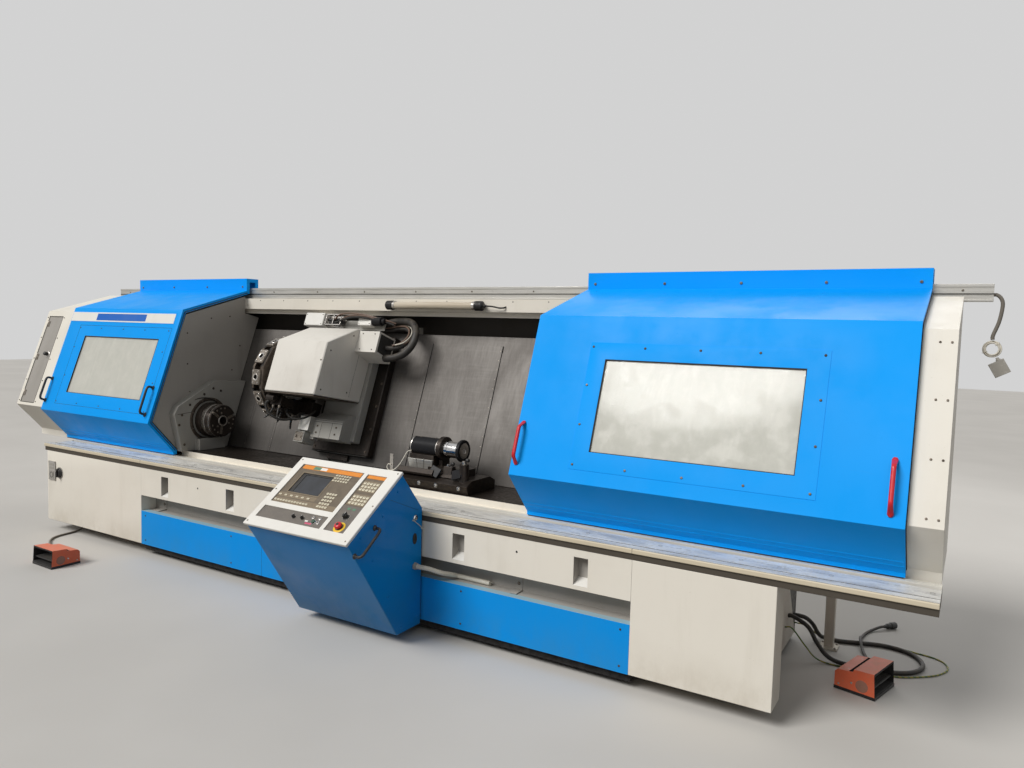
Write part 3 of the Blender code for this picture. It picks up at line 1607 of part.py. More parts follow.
def make_supply_lines():
    """The black hose and the earth wire that leave the bed's right end, lie in a loop and go back into it."""
    lift = HOSE_RADIUS + FIT
    start = BED_END + FIT
    hose = [
        (start, 0.98, 0.20),
        (5.75, 0.98, 0.20),
        (5.83, 0.975, 0.16),
        (5.88, 0.96, 0.09),
        (5.94, 0.945, 0.032),
        (6.02, 0.94, lift),
        (6.15, 0.945, lift),
        (6.27, 0.975, lift),
        (6.345, 1.03, lift),
        (6.385, 1.11, lift),
        (6.385, 1.19, lift),
        (6.345, 1.275, lift),
        (6.27, 1.325, lift),
        (6.17, 1.335, lift),
        (6.06, 1.30, lift),
        (5.96, 1.265, lift),
        (5.87, 1.25, 0.02),
        (5.845, 1.21, 0.055),
        (5.825, 1.16, 0.115),
        (5.795, 1.125, 0.155),
        (5.765, 1.115, 0.165),
        (start, 1.115, 0.165),
    ]
    cord("supply_hose", hose, HOSE_RADIUS, MACHINE, "black_rubber", 0.045)
    flat = WIRE_RADIUS + FIT
    wire = [
        (start + FIT, 0.90, 0.16),
        (5.76, 0.90, 0.16),
        (5.83, 0.902, 0.08),
        (5.89, 0.908, 0.02),
        (5.98, 0.912, flat),
        (6.15, 0.918, flat),
        (6.29, 0.950, flat),
        (6.39, 1.020, flat),
        (6.465, 1.10, flat),
        (6.505, 1.20, flat),
        (6.485, 1.29, flat),
        (6.425, 1.335, flat),
        (6.35, 1.35, flat),
        (6.27, 1.365, flat),
        (6.16, 1.370, flat),
        (6.05, 1.332, flat),
        (5.95, 1.300, flat),
        (5.86, 1.285, 0.01),
        (5.83, 1.245, 0.035),
        (5.80, 1.205, 0.075),
        (5.77, 1.170, 0.10),
        (start + FIT, 1.170, 0.10),
    ]
    cord("earth_wire", wire, WIRE_RADIUS, MACHINE, "earth_rubber", 0.04)


def make_rail_conduit():
    """The conduit off the top rail's end, the wire coil it holds and the small box that hangs there."""
    x = TOP_RAIL_END + FIT
    y = TOP_RAIL_Y + 0.03
    cord(
        "rail_conduit",
        [
            (x, y, 1.989),
            (x + 0.012, y, 1.989),
            (x + 0.030, y, 1.974),
            (x + 0.040, y, 1.94),
            (x + 0.030, y, 1.86),
            (x + 0.008, y, 1.79),
            (x + 0.008, y, COIL_Z + COIL_RADIUS + COIL_SECTION + FIT),
        ],
        CONDUIT_RADIUS,
        MACHINE,
        "grey_rubber",
        0.025,
    )
    ring = [math.pi / 2 - 2 * math.pi * i / 10 for i in range(11)]
    coil = turned(
        "wire_coil",
        [(COIL_RADIUS + COIL_SECTION * math.cos(a), COIL_SECTION * math.sin(a)) for a in ring],
        MACHINE,
        (x + 0.008, y, COIL_Z),
        "white_rubber",
        steps=24,
    )
    coil.rotation_euler = (math.pi / 2, 0, 0)
    frame = make_empty("junction_frame", (x + 0.044, y, 1.63), (0, JUNCTION_TURN, 0), MACHINE)
    half = JUNCTION_SIZE / 2
    junction = box(
        "junction_box", (-half, half), (-0.025, 0.025), (-half, half), frame, "grey_plastic", bevel=0.003
    )
    return weld(junction, rod("junction_gland", 0.008, 0.0208, (0.0133, 0, 0.0417), "Z", frame, sides=16))


MATERIAL_VALUES = {
    "blue_paint": ((0.0, 0.32, 0.86), 0.32, 0.0),
    "cream_paint": ((0.80, 0.77, 0.71), 0.42, 0.0),
    "white_paint": ((0.84, 0.82, 0.78), 0.40, 0.0),
    "grey_paint": ((0.30, 0.30, 0.29), 0.5, 0.0),
    "dark_grey_paint": ((0.09, 0.085, 0.08), 0.5, 0.0),
    "black_paint": ((0.02, 0.02, 0.02), 0.35, 0.0),
    "worn_steel": ((0.40, 0.37, 0.34), 0.42, 0.9),
    "dark_steel": ((0.16, 0.14, 0.12), 0.45, 0.9),
    "chrome": ((0.8, 0.8, 0.8), 0.12, 1.0),
    "aluminium": ((0.72, 0.71, 0.68), 0.4, 0.9),
    "lamp_glass": ((0.85, 0.80, 0.70), 0.2, 0.0),
    "window_glass": ((0.75, 0.78, 0.74), 0.1, 0.0),
    "screen_glass": ((0.03, 0.04, 0.06), 0.12, 0.0),
    "taupe_plastic": ((0.20, 0.17, 0.13), 0.5, 0.0),
    "black_plastic": ((0.02, 0.02, 0.02), 0.4, 0.0),
    "grey_plastic": ((0.38, 0.37, 0.34), 0.5, 0.0),
    "red_plastic": ((0.60, 0.02, 0.02), 0.35, 0.0),
    "orange_plastic": ((0.75, 0.13, 0.03), 0.45, 0.0),
    "black_rubber": ((0.015, 0.015, 0.015), 0.7, 0.0),
    "grey_rubber": ((0.25, 0.24, 0.22), 0.6, 0.0),
    "white_rubber": ((0.75, 0.73, 0.66), 0.6, 0.0),
    "earth_rubber": ((0.55, 0.50, 0.06), 0.5, 0.0),
}


clear_scene()
PARTS = make_collection("turning_lathe")
HELPERS = make_collection("cutters_and_joined_shapes")
MATERIALS = {name: make_material(name, *values) for name, values in MATERIAL_VALUES.items()}

MACHINE = make_empty("machine", (-X_MID, -Y_MID, 0))
# In the ways' frame X is along the bed, Y is behind the spindle axis and Z is up the slant.
WAYS = make_empty("ways", (0, SPINDLE_Y, SPINDLE_Z), (-SLANT, 0, 0), MACHINE)
SPINDLE = make_empty("spindle", (0, SPINDLE_Y, SPINDLE_Z), (0, 0, 0), MACHINE)
# In a face's frame Y runs down the sheet from the roof edge and Z runs into the machine.
DOOR_FACE = make_empty("door_face", (0, ROOF_EDGE_Y, ROOF_EDGE_Z), (0, 0, 0), MACHINE)
HOOD_FACE = make_empty("hood_face", (0, *offset_path(door_path()[3:7], -HOOD_INSET)[1]), (0, 0, 0), MACHINE)
for face in (DOOR_FACE, HOOD_FACE):
    face.rotation_euler = (-math.pi / 2 - SLANT, 0, 0)
PANEL = make_empty("console_panel", (CONSOLE_START, PANEL_LIP_Y, PANEL_LIP_Z), (PANEL_SLOPE, 0, 0), MACHINE)
PLATE = make_empty("console_plate", (0, 0, FRAME_THICKNESS - PLATE_SET_BACK), (0, 0, 0), PANEL)

make_bed()
make_cabinets()
make_lower_panel()
make_front_rail()
make_top_rail()
make_rear_guard()
make_lamp()
make_hoods()
make_bulkhead()
make_headstock()
make_spindle()
make_doors()
make_carriage()
make_covers()
make_turret(make_cross_slide())
make_hose_loop()
make_tailstock()
make_console()
make_console_conduit()
make_main_switch()
make_pedal("left", LEFT_PEDAL)
make_pedal("right", RIGHT_PEDAL)
make_leg()
make_pedal_cords()
make_supply_lines()
make_rail_conduit()
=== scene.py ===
"""Looks for the slant-bed turning lathe: camera, light, cords, materials and fine detail."""
import itertools
import json
import math

import bmesh
import bpy
from mathutils import Matrix, Vector

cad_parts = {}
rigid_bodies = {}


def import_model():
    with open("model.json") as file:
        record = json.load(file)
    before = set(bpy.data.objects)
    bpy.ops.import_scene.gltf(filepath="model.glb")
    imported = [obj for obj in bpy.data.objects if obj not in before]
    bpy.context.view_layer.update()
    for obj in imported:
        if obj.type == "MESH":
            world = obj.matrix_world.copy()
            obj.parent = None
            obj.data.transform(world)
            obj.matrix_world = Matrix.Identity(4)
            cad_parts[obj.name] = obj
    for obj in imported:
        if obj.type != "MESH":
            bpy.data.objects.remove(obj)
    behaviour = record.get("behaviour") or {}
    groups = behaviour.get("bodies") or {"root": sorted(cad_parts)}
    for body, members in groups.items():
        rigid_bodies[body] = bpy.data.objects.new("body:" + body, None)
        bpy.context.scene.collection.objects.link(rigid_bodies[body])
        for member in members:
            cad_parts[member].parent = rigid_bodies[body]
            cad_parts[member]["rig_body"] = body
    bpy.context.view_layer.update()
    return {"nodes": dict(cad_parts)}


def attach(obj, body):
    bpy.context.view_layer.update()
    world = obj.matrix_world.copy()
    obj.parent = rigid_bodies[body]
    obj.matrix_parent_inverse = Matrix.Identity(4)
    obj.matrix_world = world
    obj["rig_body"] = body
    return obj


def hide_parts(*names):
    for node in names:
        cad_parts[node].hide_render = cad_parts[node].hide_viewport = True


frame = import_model()

# Sizes below are in machine coordinates, as in the part's source: X from the left cabinet's outer edge,
# Y from the cabinets' front face, Z from the floor. SHIFT takes them to the frame.
SHIFT = Vector((-2.969, -0.283988, 0))
SLANT = math.radians(19.5)
PANEL_SLOPE = math.radians(35)
SPINDLE_YZ = (0.54, 0.98)
DOOR_FOLD = (0.351, 1.84)
KNEE_HEIGHT = 0.981
# The turret disc's centre, behind the spindle axis and up the slant
DISC_YZ = (-0.085, 0.36)
# The play between a cord or a foot and what it touches
FIT = 0.0003
# Edges that turn by more degrees than this stay sharp
SHARP = 38


def turn_x(angle):
    return Matrix.Rotation(angle, 4, "X")


def placed(x, y, z, turn=Matrix.Identity(4)):
    return Matrix.Translation(Vector((x, y, z)) + SHIFT) @ turn


# Local frames. On a door face Y runs down the sheet and Z runs into the machine; on the ways Y runs
# behind the spindle axis and Z up the slant; on the console's panel Y runs up the slope and Z out of it.
MACHINE = placed(0, 0, 0)
DOOR = placed(0, *DOOR_FOLD, turn_x(-math.pi / 2 - SLANT))
WAYS = placed(0, *SPINDLE_YZ, turn_x(-SLANT))
SPINDLE = placed(0, *SPINDLE_YZ)
PANEL = placed(3.147, -0.626, 0.646, turn_x(PANEL_SLOPE))
PLATE = PANEL @ Matrix.Translation((0, 0, 0.012))
KNEE = (DOOR_FOLD[0] - (DOOR_FOLD[1] - KNEE_HEIGHT) * math.tan(SLANT), KNEE_HEIGHT)
# A door's outline from its runner to its lip
DOOR_PATH = [(0.956, 2.019), DOOR_FOLD, KNEE, (0.262, 0.742)]


# Camera
CAMERA_TURN = (30.94, 4.007, 1.565)
CAMERA_AT = Vector((6.5376, -3.4610, 1.7529))
CAMERA_LENS = 27.155


def make_camera():
    """The photograph's camera, turned by its yaw, pitch and roll in degrees."""
    yaw, pitch, roll = (math.radians(angle) for angle in CAMERA_TURN)
    forward = Vector((-math.sin(yaw) * math.cos(pitch), math.cos(yaw) * math.cos(pitch), -math.sin(pitch)))
    right = Vector((math.cos(yaw), math.sin(yaw), 0))
    up = right.cross(forward)
    across = right * math.cos(roll) + up * math.sin(roll)
    above = -right * math.sin(roll) + up * math.cos(roll)
    data = bpy.data.cameras.new("camera")
    data.sensor_width = 36
    data.lens = CAMERA_LENS
    data.clip_end = 100
    camera = bpy.data.objects.new("camera", data)
    bpy.context.scene.collection.objects.link(camera)
    turn = Matrix((across, above, -forward)).transposed().to_4x4()
    camera.matrix_world = Matrix.Translation(CAMERA_AT + SHIFT) @ turn
    bpy.context.scene.camera = camera


make_camera()


# Node materials
class Nodes:
    """A short way to write a material's node tree."""

    def __init__(self, name, roughness=0.5, metallic=0.0):
        self.material = bpy.data.materials.new(name)
        self.material.use_nodes = True
        self.tree = self.material.node_tree
        self.shader = self.tree.nodes["Principled BSDF"]
        self.shader.inputs["Roughness"].default_value = roughness
        self.shader.inputs["Metallic"].default_value = metallic
        self.where = self.tree.nodes.new("ShaderNodeTexCoord").outputs["Object"]

    def node(self, kind, settings=None, **inputs):
        made = self.tree.nodes.new("ShaderNode" + kind)
        for key, value in (settings or {}).items():
            setattr(made, key, value)
        for key, value in inputs.items():
            socket = made.inputs[int(key[1:])] if key[0] == "i" and key[1:].isdigit() else made.inputs[key]
            self.feed(socket, value)
        return made.outputs

    def feed(self, socket, value):
        if isinstance(value, bpy.types.NodeSocket):
            self.tree.links.new(value, socket)
        elif value is not None:
            socket.default_value = (*value, 1) if isinstance(
                value, tuple
            ) and len(value) == 3 and socket.type == "RGBA" else value

    def scaled(self, x, y, z, turn=(0, 0, 0)):
        return self.node("Mapping", Vector=self.where, Scale=(x, y, z), Rotation=turn)[0]

    def wave(self, scale, distortion):
        settings = {"wave_type": "BANDS", "bands_direction": "DIAGONAL"}
        return self.node("TexWave", settings, Vector=self.where, Scale=scale, Distortion=distortion)[1]

    def noise(self, scale, detail=3.0, roughness=0.55, where=None, distortion=0.0):
        return self.node(
            "TexNoise", Vector=where or self.where, Scale=scale, Detail=detail, Roughness=roughness,
            Distortion=distortion,
        )[0]

    def ramp(self, value, low, high, to_low=0.0, to_high=1.0):
        settings = {"interpolation_type": "SMOOTHSTEP"}
        return self.node("MapRange", settings, Value=value, i1=low, i2=high, i3=to_low, i4=to_high)[0]

    def math(self, operation, a, b=0.0, clamp=False):
        return self.node("Math", {"operation": operation, "use_clamp": clamp}, i0=a, i1=b)[0]

    def mix(self, share, a, b, blend="MIX"):
        made = self.tree.nodes.new("ShaderNodeMix")
        made.data_type = "RGBA"
        made.blend_type = blend
        made.clamp_factor = True
        self.feed(made.inputs[0], share)
        self.feed(made.inputs[6], a)
        self.feed(made.inputs[7], b)
        return made.outputs[2]

    def lay(self, mask, amount, under, over):
        """under, covered by over where the mask is bright, by at most amount."""
        return self.mix(self.math("MULTIPLY", mask, amount), under, over)

    def axis(self, index):
        return self.node("SeparateXYZ", Vector=self.where)[index]

    def facing(self, index):
        normal = self.node("NewGeometry")[1]
        return self.node("SeparateXYZ", Vector=normal)[index]

    def finish(self, color=None, roughness=None, bump=None, strength=0.2, distance=0.001):
        if color is not None:
            self.feed(self.shader.inputs["Base Color"], color)
        if roughness is not None:
            self.feed(self.shader.inputs["Roughness"], roughness)
        if bump is not None:
            made = self.node("Bump", Height=bump, Strength=strength, Distance=distance)
            self.feed(self.shader.inputs["Normal"], made[0])
        return self.material


def linear(red, green, blue):
    """An 0 to 255 display colour as the linear colour that a shader takes."""
    def one(value):
        value /= 255
        return value / 12.92 if value <= 0.04045 else ((value + 0.055) / 1.055) ** 2.4
    return (one(red), one(green), one(blue))


def painted(name, color, dirt, rough=0.35, wear=0.35, streaks=0.3, peel=0.12, grime_low=None, coat=0.0):
    """Sprayed sheet metal: faint orange peel, dusty patches, hanging streaks, scratches and dark low edges.

    grime_low is where the dark low edge ends, where it starts, and how strong it is.
    """
    color, dirt = linear(*color), linear(*dirt)
    n = Nodes(name, rough)
    patches = n.ramp(n.noise(1.6, 4, 0.6), 0.42, 0.72)
    runs = n.ramp(n.noise(7.0, 5, 0.65, n.scaled(1.0, 1.0, 0.12)), 0.50, 0.80)
    specks = n.ramp(n.noise(60.0, 3, 0.7), 0.66, 0.74)
    scratch = n.ramp(n.noise(34.0, 2, 0.5, n.scaled(0.35, 1.0, 2.2, (0.3, 0.5, 0.2)), 1.2), 0.695, 0.72)
    shade = n.lay(patches, wear * 0.35, color, dirt)
    shade = n.lay(runs, streaks * 0.45, shade, dirt)
    shade = n.lay(specks, wear * 0.5, shade, dirt)
    shade = n.lay(scratch, wear * 0.3, shade, tuple(min(1, c * 0.8 + 0.05) for c in color))
    if grime_low is not None:
        low, high, amount = grime_low
        band = n.math("SUBTRACT", 1.0, n.ramp(n.axis(2), low, high))
        band = n.math("MULTIPLY", band, n.ramp(n.noise(5, 5, 0.7, n.scaled(1, 1, 0.6)), 0.30, 0.68))
        shade = n.lay(band, amount, shade, dirt)
    gloss = n.ramp(n.noise(3.5, 4, 0.6), 0.3, 0.8, rough * 0.82, rough * 1.35)
    gloss = n.math("ADD", gloss, n.math("MULTIPLY", n.math("ADD", runs, specks), 0.10))
    n.shader.inputs["Specular IOR Level"].default_value = 0.12
    if coat:
        n.shader.inputs["Coat Weight"].default_value = coat
        n.shader.inputs["Coat Roughness"].default_value = 0.08
    height = n.math("ADD", n.math("MULTIPLY", n.noise(420, 2, 0.5), peel), n.math("MULTIPLY", scratch, -0.25))
    return n.finish(shade, gloss, height, 0.25, 0.0006)


def metal(
    name, color, dark, rough=0.4, metallic=0.9, grain=(1, 1, 1), scale=40.0, stain=0.5, pits=0.3,
    turn=(0, 0, 0),
):
    """Ground, rolled or worn metal: brushed grain, oily stains and small pits."""
    color, dark = linear(*color), linear(*dark)
    n = Nodes(name, rough, metallic)
    grain_map = n.scaled(*grain, turn)
    lines = n.noise(scale, 4, 0.62, grain_map)
    oil = n.ramp(n.noise(2.2, 5, 0.62, None, 0.4), 0.40, 0.70)
    spots = n.ramp(n.noise(38, 4, 0.7), 0.60, 0.74)
    shade = n.mix(n.ramp(lines, 0.30, 0.72, 0.0, 0.55), color, dark)
    shade = n.lay(oil, stain, shade, dark)
    shade = n.lay(spots, pits, shade, tuple(c * 0.55 for c in dark))
    gloss = n.math("ADD", n.ramp(lines, 0.3, 0.7, rough * 0.8, rough * 1.25), n.math("MULTIPLY", oil, 0.12))
    height = n.math("ADD", n.math("MULTIPLY", lines, 0.5), n.math("MULTIPLY", spots, -0.4))
    return n.finish(shade, gloss, height, 0.22, 0.0008)


def moulded(name, color, dust, rough=0.45, dusting=0.3, grain=700.0, worn=None, sheen=0.0):
    """Moulded plastic or rubber: fine texture, dust that settles on top, rubbed patches."""
    color, dust = linear(*color), linear(*dust)
    n = Nodes(name, rough)
    cloud = n.noise(24, 4, 0.6)
    top = n.ramp(n.facing(2), 0.2, 1.0)
    settled = n.math(
        "MULTIPLY", n.ramp(cloud, 0.35, 0.7, 0.25, 1.0), n.math("ADD", n.math("MULTIPLY", top, 0.8), 0.2)
    )
    shade = n.lay(settled, dusting, color, dust)
    rubbed = n.ramp(n.noise(70, 3, 0.65), 0.56, 0.66)
    rubbed_color = linear(*worn) if worn else tuple(min(1, c * 1.5 + 0.02) for c in color)
    shade = n.lay(rubbed, 0.3, shade, rubbed_color)
    gloss = n.ramp(cloud, 0.3, 0.7, rough * 0.85, min(1, rough * 1.25))
    if sheen:
        n.shader.inputs["Sheen Weight"].default_value = sheen
    return n.finish(shade, gloss, n.noise(grain, 2, 0.5), 0.18, 0.0004)


def glazing(name):
    """Scuffed clear plastic with a milky film and wipe marks."""
    n = Nodes(name, 0.12)
    wipes = n.ramp(n.noise(3.2, 4, 0.6, n.scaled(2.4, 1.0, 0.7, (0, 0.5, 0)), 0.8), 0.42, 0.72)
    film = n.ramp(n.noise(9, 5, 0.7), 0.35, 0.75)
    shade = n.lay(film, 0.5, linear(222, 222, 213), linear(230, 228, 219))
    alpha = n.math(
        "ADD", n.math("MULTIPLY", wipes, 0.08), n.math("ADD", n.math("MULTIPLY", film, 0.05), 0.62), True
    )
    n.feed(n.shader.inputs["Alpha"], alpha)
    gloss = n.ramp(film, 0.0, 1.0, 0.07, 0.24)
    return n.finish(shade, gloss, n.noise(5, 2, 0.4), 0.05, 0.0008)


def way_cover_steel():
    """Rolled cover plates: brushed up the slope, with oily smears, rubbed pale bands and painted shade on
    their low end.
    """
    n = Nodes("cover_steel", 0.50, 0.45)
    up_lines = n.noise(30, 5, 0.66, n.scaled(2.6, 0.35, 0.35))
    cross = n.noise(46, 4, 0.6, n.scaled(0.12, 1.2, 1.2))
    smear = n.ramp(n.noise(1.5, 5, 0.62, n.scaled(1.5, 0.8, 0.8), 0.8), 0.38, 0.66)
    rub = n.ramp(n.noise(2.2, 4, 0.6, n.scaled(1.8, 0.4, 0.4), 0.4), 0.50, 0.72)
    shade = n.mix(n.ramp(up_lines, 0.3, 0.7), linear(110, 106, 102), linear(102, 98, 94))
    shade = n.lay(n.ramp(cross, 0.45, 0.75), 0.12, shade, linear(150, 146, 142))
    shade = n.lay(rub, 0.30, shade, linear(140, 136, 132))
    shade = n.lay(smear, 0.35, shade, linear(72, 66, 62))
    # Painted shade: darker towards the plates' low end.
    low = n.math("SUBTRACT", 1.0, n.ramp(n.axis(2), 0.80, 1.05))
    shade = n.lay(low, 0.6, shade, linear(44, 41, 38))
    gloss = n.math("ADD", n.ramp(up_lines, 0.3, 0.7, 0.50, 0.54), n.math("MULTIPLY", smear, 0.06))
    height = n.math("ADD", n.math("MULTIPLY", up_lines, 0.5), n.math("MULTIPLY", cross, 0.4))
    return n.finish(shade, gloss, height, 0.05, 0.0005)


def rail_steel():
    """The door rail's tread: mottled pale steel with raised lozenges and powdery white dust."""
    n = Nodes("rail_steel", 0.42, 0.15)
    mottle = n.noise(6.5, 5, 0.66, n.scaled(0.55, 2.4, 2.4), 0.5)
    dust = n.ramp(n.noise(3.8, 5, 0.7, n.scaled(0.8, 2.2, 1.5), 0.6), 0.42, 0.60)
    fine = n.ramp(n.noise(85, 2, 0.6, n.scaled(0.6, 1, 1)), 0.40, 0.60)
    top = n.ramp(n.facing(2), 0.4, 0.9)
    x, y, pitch = n.axis(0), n.axis(1), 2 * math.pi / 0.030
    one = n.math("SINE", n.math("MULTIPLY", n.math("ADD", x, y), pitch))
    two = n.math("SINE", n.math("MULTIPLY", n.math("SUBTRACT", x, y), pitch))
    lozenge = n.math("MULTIPLY", n.ramp(n.math("MULTIPLY", one, two), 0.15, 0.45), top)
    shade = n.mix(n.ramp(mottle, 0.36, 0.64), linear(236, 233, 226), linear(186, 184, 180))
    shade = n.lay(lozenge, 0.35, shade, linear(222, 220, 214))
    shade = n.lay(n.math("MULTIPLY", dust, fine), n.math("MULTIPLY", top, 0.85), shade, linear(238, 236, 230))
    gloss = n.math("ADD", n.ramp(mottle, 0.3, 0.7, 0.32, 0.46), n.math("MULTIPLY", dust, 0.25))
    height = n.math("ADD", n.math("MULTIPLY", lozenge, 0.8), n.math("MULTIPLY", fine, 0.2))
    return n.finish(shade, gloss, height, 0.35, 0.0014)


def wrapped_rubber(name, color, dust, pitch, rough=0.6):
    """A ribbed or wound cable jacket with dust, most on top, and painted shade in the grooves between its
    ribs.
    """
    color, dust = linear(*color), linear(*dust)
    n = Nodes(name, rough)
    ribs = n.wave(pitch, 0.4)
    cloud = n.noise(30, 4, 0.6)
    top = n.ramp(n.facing(2), 0.0, 1.0)
    shade = n.lay(n.ramp(cloud, 0.3, 0.7), n.math("ADD", n.math("MULTIPLY", top, 0.35), 0.1), color, dust)
    # Painted shade in the grooves between the ribs.
    shade = n.mix(n.ramp(ribs, 0.0, 0.5, 0.25, 0.0), shade, tuple(c * 0.4 for c in color))
    return n.finish(
        shade, n.ramp(cloud, 0.3, 0.7, rough * 0.85, min(1, rough * 1.2)),
        n.math("ADD", ribs, n.math("MULTIPLY", cloud, 0.3)), 0.3, 0.0006,
    )


def keypad_film():
    """The control panel's brown film, wiped pale in places."""
    n = Nodes("keypad_film", 0.5)
    cloud = n.noise(14, 4, 0.6)
    shade = n.mix(n.ramp(cloud, 0.3, 0.7), linear(112, 100, 84), linear(98, 88, 74))
    wiped = n.ramp(n.noise(22, 4, 0.6, n.scaled(0.4, 1.6, 1.6), 0.5), 0.5, 0.75)
    shade = n.lay(wiped, 0.35, shade, linear(138, 126, 108))
    return n.finish(shade, n.ramp(cloud, 0.3, 0.7, 0.42, 0.6), n.noise(900, 2, 0.5), 0.12, 0.0003)


def dark_screen():
    """Switched-off screen glass with a faint haze."""
    n = Nodes("dark_screen", 0.10)
    haze = n.ramp(n.noise(12, 4, 0.6), 0.35, 0.75)
    shade = n.mix(haze, linear(20, 23, 29), linear(38, 43, 52))
    n.shader.inputs["Coat Weight"].default_value = 0.6
    n.shader.inputs["Coat Roughness"].default_value = 0.05
    return n.finish(shade, n.ramp(haze, 0, 1, 0.08, 0.2), n.noise(3, 2, 0.4), 0.05, 0.001)


def two_tone_wire():
    """Earth wire: yellow with green bands."""
    n = Nodes("earth_wire_jacket", 0.5)
    bands = n.wave(14.0, 1.5)
    shade = n.mix(n.ramp(bands, 0.42, 0.58), linear(168, 160, 60), linear(74, 110, 52))
    cloud = n.noise(30, 4, 0.6)
    shade = n.lay(n.ramp(cloud, 0.35, 0.7), 0.3, shade, linear(150, 142, 124))
    return n.finish(shade, n.ramp(cloud, 0.3, 0.7, 0.42, 0.62), cloud, 0.1, 0.0004)


def lamp_tube():
    """The lamp's clouded tube."""
    n = Nodes("lamp_tube", 0.16)
    length = n.noise(30, 3, 0.5, n.scaled(0.05, 1, 1))
    shade = n.mix(n.ramp(length, 0.35, 0.65), linear(206, 195, 176), linear(186, 172, 150))
    n.shader.inputs["Coat Weight"].default_value = 0.5
    return n.finish(shade, n.ramp(length, 0.3, 0.7, 0.12, 0.28), n.noise(60, 2, 0.5), 0.05, 0.0004)


